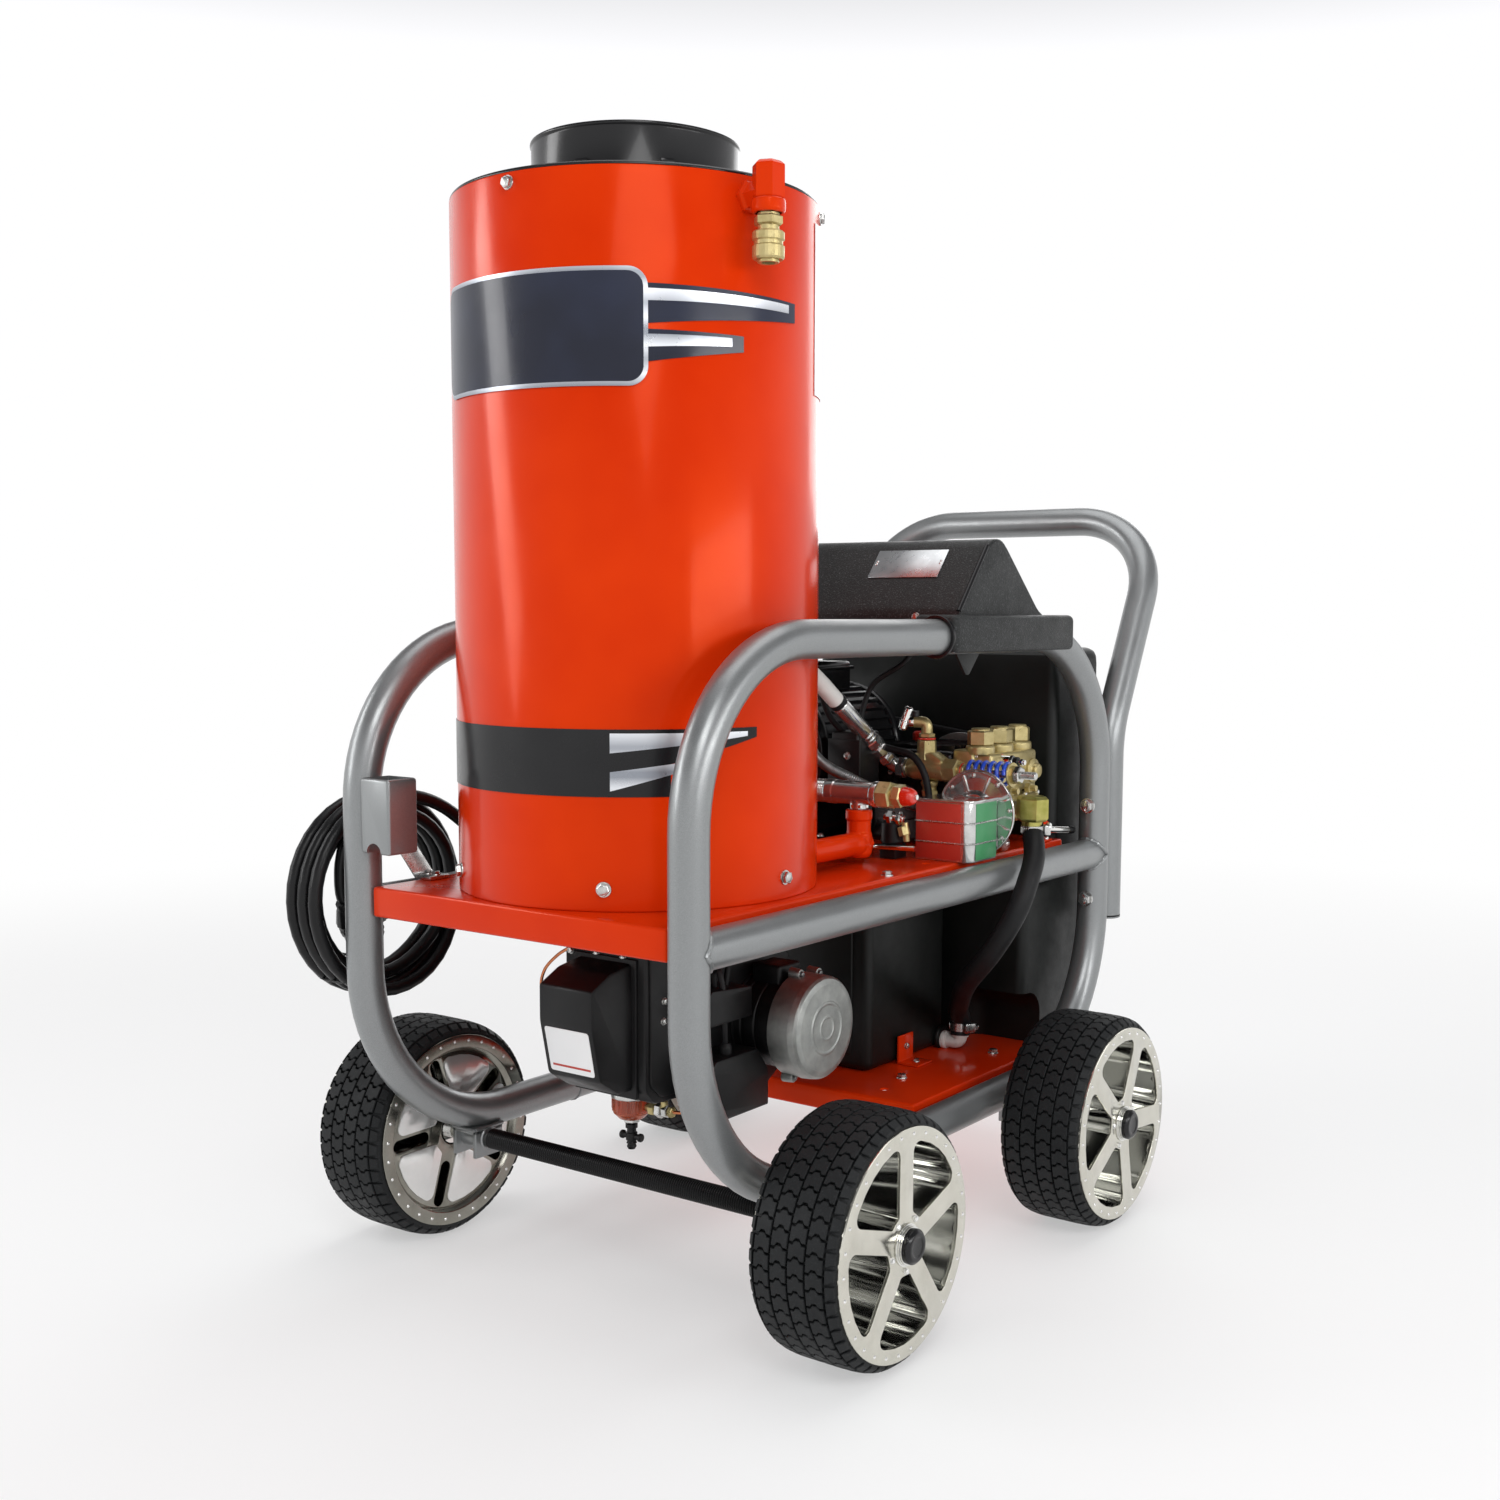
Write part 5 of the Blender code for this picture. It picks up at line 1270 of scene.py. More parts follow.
def burner_case():
    outline = [(-0.406, 0.432), (-0.406, 0.245), (-0.390, 0.228), (-0.320, 0.224), (-0.280, 0.200),
               (-0.185, 0.200), (-0.130, 0.232), (-0.130, 0.360), (-0.185, 0.400), (-0.260, 0.432)]
    case = Shape().slab([softened(outline, 0.006, True)], -0.062, BURNER_FACE_X, "X", 0.004)
    room = Shape().rod((-0.080, FAN_Y, FAN_Z), (0.050, FAN_Y, FAN_Z), 0.060, 72, 0)
    shaft = Shape().rod((0.040, FAN_Y, FAN_Z), (0.080, FAN_Y, FAN_Z), 0.008, 24, 0)
    case.cut(room, shaft)
    case.rod((0, BOILER_Y, 0.425), (0, BOILER_Y, 0.500), 0.055, 64, 0.001)
    case.box((-0.086, -0.434, 0.4325), (0.086, -0.262, 0.4400), 0.0015)
    lid = [(-0.400, 0.420), (-0.400, 0.252), (-0.384, 0.236), (-0.317, 0.231), (-0.278, 0.207),
           (-0.188, 0.207), (-0.137, 0.238), (-0.137, 0.354), (-0.188, 0.392), (-0.262, 0.420)]
    case.slab([softened(lid, 0.006, True)], BURNER_FACE_X - 0.002, BURNER_FACE_X + 0.0035, "X", 0.0012)
    case.slab([softened(lid, 0.006, True), circle_at((FAN_Y, FAN_Z), 0.064)], -0.0655, -0.060, "X", 0.0012)
    case.piece("burner_case", "plastic", nodes="burner_housing")

    boxes = Shape()
    boxes.slab([softened([(-0.355, 0.264), (-0.355, 0.216), (-0.335, 0.203), (-0.243, 0.203),
                          (-0.243, 0.246), (-0.264, 0.276), (-0.343, 0.276)], 0.003, True)],
               BURNER_FACE_X + 0.003, 0.112, "X", 0.004)
    boxes.slab([softened([(-0.352, 0.314), (-0.268, 0.314), (-0.268, 0.350), (-0.343, 0.356),
                          (-0.352, 0.346)], 0.003, True)], BURNER_FACE_X + 0.003, 0.106, "X", 0.003)
    boxes.turned([(0, 0.036), (0.016, 0.036), (0.021, 0.032), (0.022, 0.006), (0.026, 0.004), (0.026, 0),
                  (0, 0)], (-0.0655, -0.330, 0.300), -X, 40, soft=0.001)
    boxes.nut((-0.1015, -0.330, 0.300), -X, 0.018, 0.006)
    boxes.piece("burner_controls", "plastic")
    cable = Shape()
    cable.tube(smooth_route([(0.083, -0.312, 0.352), (0.084, -0.314, 0.372), (0.095, -0.318, 0.374),
                             (0.101, -0.318, 0.350), (0.100, -0.314, 0.312), (0.096, -0.308, 0.285)], 40),
               0.0036, 12)
    cable.tube(smooth_route([(0.083, -0.290, 0.352), (0.084, -0.280, 0.392), (0.070, -0.230, 0.420),
                             (0.020, -0.180, 0.432), (-0.020, -0.120, 0.450)], 40), 0.0036, 12)
    cable.turned([(0, 0.013), (0.0052, 0.013), (0.0075, 0.008), (0.0075, 0), (0, 0)],
                 (0.096, -0.307, 0.2755), Z, 24, soft=0.0006)
    cable.piece("burner_cables", "hose")

    screws = Shape()
    for x in (-0.052, -0.012, 0.028):
        screws.bolt((x, -0.406, 0.3955), -Y, 0.0042, x * 20)
    for y, z in ((-0.3777, 0.3458), (-0.3796, 0.3231), (-0.2389, 0.2135), (-0.2853, 0.2190),
                 (-0.150, 0.345), (-0.150, 0.250)):
        screws.bolt((BURNER_FACE_X + 0.0035, y, z), X, 0.0040, y * 20)
        screws.bolt((-0.0655, y, z), -X, 0.0040, y * 20)
    screws.piece("burner_screws", "steel")

    cover = [(-0.404, 0.392), (-0.444, 0.386), (-0.4758, 0.3705), (-0.4758, 0.3290), (-0.4625, 0.2660),
             (-0.430, 0.2450), (-0.404, 0.2450)]
    shell = Shape().slab([softened(cover, 0.0035, True)], -0.0375, 0.0425, "X", 0.0045)
    shell.slab([softened([(-0.404, 0.396), (-0.410, 0.396), (-0.410, 0.236), (-0.404, 0.236)], 0.001,
                         True)], -0.044, 0.049, "X", 0.0010)
    shell.piece("burner_cover_moulding", "plastic", nodes="burner_cover")
    slope = math.atan2(0.4758 - 0.4625, 0.3290 - 0.2660)
    place = Matrix.Translation((0.0045, -0.46945, 0.2975)) @ Matrix.Rotation(slope, 4, "X")
    label = Shape()
    label.slab([softened([(-0.0335, -0.0265), (0.0320, -0.0265), (0.0320, 0.0265), (-0.0335, 0.0265)],
                         0.0035, True)], -0.0004, 0.0004, "Y", 0.0001, place)
    label.piece("burner_blank_label", "white_label")
    strip = Shape().box((-0.0290, -0.0007, -0.0200), (0.0275, 0.0, -0.0175), 0.0001, matrix=place)
    strip.piece("burner_label_stripe", "red_label")


def circle_at(centre, radius, count=72):
    return [(centre[0] + x, centre[1] + y) for x, y in circle(radius, count)]


def burner_motor():
    axis = Vector((0, FAN_Y, FAN_Z))
    face = BURNER_FACE_X + 0.0036
    barrel = Shape()
    barrel.turned([(0.0550, 0.1215), (0.0550, 0.0995), (0.0535, 0.0985), (0.0535, 0.0955), (0.0550, 0.0945),
                   (0.0550, 0.0800), (0.0535, 0.0790), (0.0535, 0.0760), (0.0550, 0.0750),
                   (0.0550, face + 0.002), (0.0580, face + 0.002), (0.0580, face), (0.0068, face),
                   (0.0068, 0.082), (0, 0.082), (0, 0.1215)][:-2] + [(0.0068, 0.1215)], axis, X, 96,
                  ring=True, soft=0.0006)
    barrel.box((0.070, FAN_Y - 0.024, FAN_Z + 0.045), (0.112, FAN_Y + 0.020, FAN_Z + 0.072), 0.004, 3)
    barrel.piece("burner_motor_barrel", "plastic", nodes="burner_motor")
    bell = Shape()
    bell.turned([(0, 0.1643), (0.0112, 0.1643), (0.0125, 0.1650), (0.0142, 0.1650), (0.0155, 0.1643),
                 (0.0275, 0.1639), (0.0290, 0.1648), (0.0312, 0.1648), (0.0328, 0.1637), (0.0520, 0.1630),
                 (0.0585, 0.1612), (0.0612, 0.1578), (0.0622, 0.1500), (0.0622, 0.1210), (0.0600, 0.1200),
                 (0, 0.1200)], axis, X, 128, soft=0.0006)
    for degrees in (100.3, 246.6, 280.3, 66.6):
        angle = math.radians(degrees)
        at = axis + Vector((0.1195, 0.0640 * math.cos(angle), 0.0640 * math.sin(angle)))
        bell.turned([(0, 0.0150), (0.0058, 0.0150), (0.0062, 0.0130), (0.0070, 0), (0, 0)], at, X, 24,
                    soft=0.0008)
    bell.piece("burner_motor_bell", "cast")
    lugs = Shape()
    for degrees in (100.3, 246.6, 280.3, 66.6):
        angle = math.radians(degrees)
        at = axis + Vector((0.1345, 0.0640 * math.cos(angle), 0.0640 * math.sin(angle)))
        lugs.bolt(at, X, 0.0036, degrees)
    lugs.piece("burner_motor_screws", "dark_steel")

    fan = Shape()
    fan.turned([(0, 0.078), (0.0060, 0.078), (0.0060, 0.0402), (0.0515, 0.0400), (0.0515, 0.0385),
                (0.0130, 0.0370), (0.0110, 0.0100), (0.0080, -0.030), (0, -0.030)], axis, X, 64,
               soft=0.0006)
    fan.turned([(0.0520, -0.0375), (0.0520, -0.0400), (0.0440, -0.0400), (0.0440, -0.0375)], axis, X, 64,
               ring=True)
    for k in range(28):
        turn = aimed(axis, X) @ Matrix.Rotation(math.tau * k / 28, 4, "Z") \
            @ Matrix.Translation((0.0478, 0, 0)) \
            @ Matrix.Rotation(math.radians(32), 4, "Z")
        fan.box((-0.0042, -0.0004, -0.0380), (0.0042, 0.0004, 0.0388), 0.0, matrix=turn)
    fan.piece("fan_wheel", "dark_steel", "burner_fan", "burner_fan")


def fuel_filter():
    base = Vector((0, FILTER_Y, FILTER_Z))
    bowl = Shape()
    bowl.turned([(0, 0), (0.0145, 0), (0.0215, 0.0070), (0.0228, 0.0120), (0.0228, 0.0255), (0.0204, 0.0255),
                 (0.0200, 0.0125), (0.0188, 0.0085), (0.0130, 0.0028), (0, 0.0028)], base, Z, 64, soft=0.0008)
    for k in range(12):
        turn = Matrix.Translation(base) @ Matrix.Rotation(math.tau * k / 12, 4, "Z")
        bowl.box((0.0222, -0.0011, 0.0110), (0.0236, 0.0011, 0.0240), 0.0004, matrix=turn)
    bowl.piece("filter_bowl", "amber", nodes="fuel_filter")
    inner = Shape()
    inner.turned([(0, 0.0040), (0.0120, 0.0040), (0.0120, 0.0270), (0, 0.0270)], base, Z, 48, soft=0.0006,
                 wave=lambda a, h: 1 + 0.05 * math.cos(24 * a))
    inner.piece("filter_element", "nylon")
    head = Shape()
    head.turned([(0, 0.0315), (0.0238, 0.0315), (0.0245, 0.0300), (0.0245, 0.0262), (0.0232, 0.0250),
                 (0, 0.0250)], base, Z, 12, soft=0.0008)
    head.nut(base - Z * 0.0052, Z, 0.0175, 0.0050, 0.3, bore=0.0054)
    head.piece("filter_head", "steel")
    brass = Shape()
    brass.rod(base + Vector((0.020, 0.002, 0.0160)), base + Vector((0.052, 0.002, 0.0160)), 0.0045, 24)
    brass.nut(base + Vector((0.028, 0.002, 0.0160)), X, 0.0150, 0.0085, 0.2)
    brass.nut(base + Vector((0.056, 0.002, 0.0160)), X, 0.0110, 0.0060, 0.5)
    brass.turned([(0, 0.009), (0.0042, 0.009), (0.0050, 0), (0, 0)], base + Vector((0.0480, 0.002, 0.0180)),
                 Z, 20)
    brass.piece("filter_fittings", "brass")
    nuts = Shape()
    nuts.nut(base + Vector((0.0385, 0.002, 0.0160)), X, 0.0165, 0.0080, 0.9)
    nuts.nut(base + Vector((0.0475, 0.002, 0.0160)), X, 0.0135, 0.0070, 0.1)
    nuts.piece("filter_fitting_nuts", "steel")
    copper = Shape()
    copper.tube(smooth_route([(-0.055, -0.4045, 0.398), (-0.0745, -0.406, 0.386), (-0.0950, -0.406, 0.366),
                              (-0.1010, -0.404, 0.342), (-0.0960, -0.385, 0.318), (-0.0980, -0.350, 0.303)],
                             50), 0.0019, 14)
    copper.tube(smooth_route([base + Vector((0.060, 0.002, 0.0160)), base + Vector((0.074, 0.010, 0.0160)),
                              (0.076, -0.330, 0.208), (0.060, -0.270, 0.196), (0.010, -0.240, 0.1945),
                              (-0.070, -0.250, 0.205), (-0.088, -0.300, 0.250), (-0.090, -0.328, 0.280)],
                             70), 0.0019, 14)
    copper.piece("fuel_lines", "copper")

    valve = Shape()
    foot = (0, FILTER_Y, 0.159)
    valve.turned([(0, 0.0369), (0.0052, 0.0369), (0.0052, 0.0310), (0.0072, 0.0300), (0.0072, 0.0255),
                  (0.0054, 0.0245), (0.0054, 0.0200), (0.0068, 0.0195), (0.0068, 0.0110), (0.0050, 0.0100),
                  (0.0062, 0.0070), (0.0046, 0.0062), (0.0058, 0.0030), (0.0042, 0.0), (0, 0)], foot, Z, 32)
    for side in (-1, 1):
        valve.turned([(0, 0.0160), (0.0040, 0.0160), (0.0050, 0.0150), (0.0050, 0.0120), (0.0036, 0.0105),
                      (0.0036, 0.0), (0, 0)], (0, FILTER_Y, 0.174), X * side, 24, soft=0.0006)
    valve.piece("drain_valve_handle", "plastic", "drain_valve", "drain_valve")


# ---------------------------------------------------------------- drive and pump

MOTOR_X, MOTOR_Z = -0.095, 0.592
PUMP_X, PUMP_Z = 0.070, 0.545
PUMP_FRONT_Y, PUMP_REAR_Y, BELT_Y = 0.124, 0.264, 0.280
HEAD_X = 0.172


def pulley_profile(groove):
    outer = groove + 0.008
    return [(0, 0.014), (0.0150, 0.014), (0.0180, 0.012), (0.0185, 0.003), (groove - 0.009, 0.003),
            (groove - 0.006, 0.012), (outer, 0.012), (outer, 0.008), (groove, 0.006), (groove, -0.006),
            (outer, -0.008), (outer, -0.012), (groove - 0.006, -0.012), (groove - 0.009, -0.003),
            (0.0185, -0.003), (0.0180, -0.012), (0.0110, -0.013), (0.0110, -0.060), (0, -0.060)]


def belt_outline(lift):
    span = Vector((PUMP_X - MOTOR_X, PUMP_Z - MOTOR_Z))
    heading, small, large = math.atan2(span.y, span.x), 0.037 + lift, 0.062 + lift
    lean = math.acos((small - large) / span.length)
    points = []
    for k in range(33):
        angle = heading - lean + 2 * lean * k / 32
        points.append((PUMP_X + large * math.cos(angle), PUMP_Z + large * math.sin(angle)))
    for k in range(33):
        angle = heading + lean + (math.tau - 2 * lean) * k / 32
        points.append((MOTOR_X + small * math.cos(angle), MOTOR_Z + small * math.sin(angle)))
    return points


def drive():
    at = Vector((MOTOR_X, 0, MOTOR_Z))
    motor = Shape()
    motor.turned([(0, 0.213), (0.0880, 0.213), (0.0880, 0.047), (0, 0.047)], at, Y, 324,
                 wave=lambda a, h: 1.05 if math.cos(36 * a) > 0.2 else 1.0)
    motor.turned([(0, 0.0200), (0.0280, 0.0200), (0.0320, 0.0250), (0.0780, 0.0270), (0.0890, 0.0330),
                  (0.0930, 0.0420), (0.0930, 0.0490), (0.0900, 0.0520), (0, 0.0520)], at, Y, 96,
                 soft=0.0015)
    motor.turned([(0, 0.2450), (0.0280, 0.2450), (0.0320, 0.2400), (0.0780, 0.2380), (0.0890, 0.2320),
                  (0.0930, 0.2230), (0.0930, 0.2160), (0.0900, 0.2130), (0, 0.2130)], at, Y, 96,
                 soft=0.0015)
    for side in (-1, 1):
        motor.box((MOTOR_X + side * 0.052 - 0.020, 0.050, UPPER_DECK_Z + 0.0003),
                  (MOTOR_X + side * 0.052 + 0.020, 0.215, UPPER_DECK_Z + 0.008), 0.0015)
        motor.box((MOTOR_X + side * 0.048 - 0.005, 0.060, UPPER_DECK_Z + 0.006),
                  (MOTOR_X + side * 0.048 + 0.005, 0.205, 0.530), 0.002)
    motor.box((MOTOR_X - 0.038, 0.082, 0.672), (MOTOR_X + 0.038, 0.178, 0.716), 0.006, 3)
    motor.box((MOTOR_X - 0.041, 0.079, 0.704), (MOTOR_X + 0.041, 0.181, 0.709), 0.0015)
    motor.piece("motor_casting", "black_gloss", nodes="drive_motor")
    small = Shape()
    for side in (-1, 1):
        for y in (0.066, 0.199):
            small.bolt((MOTOR_X + side * 0.064, y, UPPER_DECK_Z + 0.008), Z, 0.0048, y * 9)
    for k in range(4):
        angle = math.radians(45 + 90 * k)
        small.bolt(at + Vector((0.080 * math.cos(angle), 0.0275, 0.080 * math.sin(angle))), -Y, 0.0036, k)
    small.bolt((0.0428, 0.0205, 0.5967), -Y, 0.0048, 0.4)
    small.bolt((0.0428, 0.0205, 0.5560), -Y, 0.0048, 0.9)
    small.piece("motor_bolts", "steel")
    relay = Shape().box((0.016, 0.021, 0.535), (0.058, 0.075, 0.628), 0.004, 3)
    relay.box((0.012, 0.0195, 0.545), (0.062, 0.0230, 0.618), 0.001)
    relay.piece("contactor_case", "plastic")

    for name, centre, groove, holes in (("motor_pulley", (MOTOR_X, BELT_Y, MOTOR_Z), 0.037, 0),
                                        ("pump_pulley", (PUMP_X, BELT_Y, PUMP_Z), 0.062, 5)):
        wheel = Shape().turned(pulley_profile(groove), centre, Y, 96, soft=0.0006)
        tools = []
        for k in range(holes):
            angle = math.tau * k / holes
            spot = Vector(centre) + Vector((0.036 * math.cos(angle), 0, 0.036 * math.sin(angle)))
            tools.append(Shape().rod(spot - Y * 0.02, spot + Y * 0.02, 0.0110, 32, 0))
        if tools:
            wheel.cut(*tools)
        wheel.nut(Vector(centre) + Y * 0.0145, Y, 0.016, 0.006, 0.3)
        wheel.piece(f"{name}_casting", "cast", name, name)
    belt = Shape().slab([belt_outline(0.0090), belt_outline(0.0022)], BELT_Y - 0.0055, BELT_Y + 0.0055, "Y",
                        0.0008)
    belt.piece("belt_loop", "hose", nodes="drive_belt")

    case = Shape()
    case.box((0.010, PUMP_FRONT_Y, UPPER_DECK_Z + 0.0003), (0.1397, PUMP_REAR_Y, 0.600), 0.009, 4)
    for k in range(7):
        y = PUMP_FRONT_Y + 0.020 + 0.0165 * k
        case.box((0.018, y - 0.0013, 0.595), (0.132, y + 0.0013, 0.6065), 0.0006)
        case.box((0.0065, y - 0.0013, 0.500), (0.016, y + 0.0013, 0.590), 0.0006)
    case.turned([(0, 0.003), (0.040, 0.003), (0.042, 0), (0, 0)], (PUMP_X, PUMP_FRONT_Y + 0.001, PUMP_Z),
                -Y, 64, soft=0.0008)
    case.turned([(0.0380, 0.0045), (0.040, 0.0), (0.0120, 0), (0.0120, 0.0045)],
                (PUMP_X, PUMP_REAR_Y - 0.001, PUMP_Z), Y, 64, ring=True)
    case.piece("pump_casting", "black_gloss", nodes="pump_crankcase")
    trim = Shape()
    for k in range(6):
        angle = math.tau * k / 6 + 0.3
        trim.bolt((PUMP_X + 0.034 * math.cos(angle), PUMP_FRONT_Y - 0.002,
                   PUMP_Z + 0.034 * math.sin(angle)), -Y, 0.0034, k)
    trim.turned([(0.0100, 0.0055), (0.0115, 0.0045), (0.0115, 0), (0.0080, 0), (0.0080, 0.0055)],
                (PUMP_X, PUMP_FRONT_Y - 0.002, PUMP_Z - 0.004), -Y, 40, ring=True)
    trim.piece("pump_cover_screws", "steel")
    cap = Shape()
    cap.turned([(0, 0.020), (0.0095, 0.020), (0.0120, 0.017), (0.0120, 0.008), (0.0085, 0.006), (0.0085, 0),
                (0, 0)], (0.050, 0.194, 0.600), Z, 60, soft=0.0008, wave=lambda a,
               h: 1 + 0.04 * (math.cos(10 * a) > 0) * (h > 0.007))
    cap.piece("oil_cap", "red_plastic")


def pump_head():
    head = Shape()
    head.box((0.1402, PUMP_FRONT_Y + 0.0005, 0.5005), (0.1720, PUMP_REAR_Y - 0.0005, 0.6035), 0.004, 3)
    head.box((0.1690, PUMP_FRONT_Y + 0.0070, 0.5450), (0.1960, PUMP_REAR_Y - 0.0070, 0.5990), 0.005, 3)
    head.box((0.1690, PUMP_FRONT_Y + 0.0050, 0.5050), (0.2010, PUMP_REAR_Y - 0.0050, 0.5400), 0.005, 3)
    for k, y in enumerate((0.143, 0.194, 0.245)):
        head.turned([(0, 0.012), (0.0180, 0.012), (0.0195, 0.009), (0.0195, 0.0), (0, 0.0)],
                    (HEAD_X, y, 0.5975), Z, 48, soft=0.001)
        head.nut((HEAD_X, y, 0.6090), Z, 0.0310, 0.0200, 0.26 + 0.3 * k)
        head.turned([(0, 0.0030), (0.0115, 0.0030), (0.0125, 0.0015), (0.0125, 0), (0, 0)],
                    (HEAD_X, y, 0.6290), Z, 40)
        head.turned([(0, 0.0110), (0.0085, 0.0110), (0.0100, 0.0090), (0.0100, 0.0050), (0.0165, 0.0030),
                     (0.0165, 0), (0, 0)], (0.1955, y, 0.570), X, 40, soft=0.0008)
        head.turned([(0, 0.0055), (0.0120, 0.0055), (0.0150, 0.0030), (0.0155, 0), (0, 0)],
                    (0.2000, y, 0.5225), X, 40, soft=0.0008)
        head.nut((0.2050, y, 0.5225), X, 0.0135, 0.0050, 0.4 * k)
    head.rod((0.190, 0.137, 0.532), (0.245, 0.137, 0.532), 0.0105, 32)
    head.nut((0.212, 0.137, 0.532), X, 0.0250, 0.0100, 0.2)
    for y, z in ((0.222, 0.5480), (0.171, 0.5480)):
        head.nut((0.1990, y, z), X, 0.0120, 0.0080, 0.3)
        head.rod((0.2060, y, z), (0.2150, y, z), 0.0042, 20)
    head.piece("pump_manifold", "brass", nodes="pump_head")
    block = Shape()
    block.turned([(0, 0.0330), (0.0175, 0.0330), (0.0214, 0.0290), (0.0214, 0.0040), (0.0175, 0), (0, 0)],
                 (0.257, 0.131, 0.5155), Z, 6, soft=0.0010, spin=math.radians(12))
    block.turned([(0, 0.0165), (0.0125, 0.0165), (0.0135, 0.0150), (0.0135, 0), (0, 0)],
                 (0.257, 0.131, 0.5035), Z, 32)
    block.piece("inlet_hex_block", "olive_brass")
    bolts = Shape()
    for y in (0.1265, 0.1685, 0.2195, 0.2615):
        for z in (0.5085, 0.5400, 0.5950):
            bolts.bolt((0.1720 if z > 0.59 else 0.1985, min(max(y, 0.1330), 0.2550), z), X, 0.0034, y * 40)
    bolts.turned([(0, 0.0150), (0.0080, 0.0150), (0.0085, 0.0130), (0.0085, 0), (0, 0)],
                 (0.1930, 0.162, 0.5880), X, 32)
    bolts.nut((0.2080, 0.162, 0.5880), X, 0.0155, 0.0050, 0.2)
    bolts.rod((0.2180, 0.162, 0.5880), (0.2290, 0.162, 0.5880), 0.0036, 20)
    bolts.nut((0.2225, 0.162, 0.5880), X, 0.0080, 0.0040, 0.2)
    bolts.piece("pump_head_bolts", "chrome")
    seal = Shape()
    seal.turned([(0.0095, 0.0030), (0.0100, 0.0015), (0.0095, 0), (0.006, 0), (0.006, 0.0030)],
                (0.1920, 0.162, 0.5880), X, 32, ring=True)
    seal.turned([(0.0116, 0.0024), (0.0120, 0.0012), (0.0116, 0), (0.009, 0), (0.009, 0.0024)],
                (UNLOADER_NECK_X, UNLOADER_Y, 0.6165), Z, 32, ring=True)
    seal.turned([(0.0112, 0.0022), (0.0116, 0.0011), (0.0112, 0), (0.006, 0), (0.006, 0.0022)],
                (0.1685, UNLOADER_Y, UNLOADER_Z), X, 32, ring=True)
    seal.piece("sealing_rings", "red")
    collar = Shape().turned([(0, 0.0060), (0.0068, 0.0060), (0.0068, 0), (0, 0)], (0.2130, 0.162, 0.5880),
                            X, 32, soft=0.0006)
    collar.piece("pump_fitting_collar", "plastic")


UNLOADER_Y, UNLOADER_Z = 0.104, 0.577
UNLOADER_NECK_X = 0.113
TANK_PORT_Y = 0.177  # where the suction hose meets the float tank


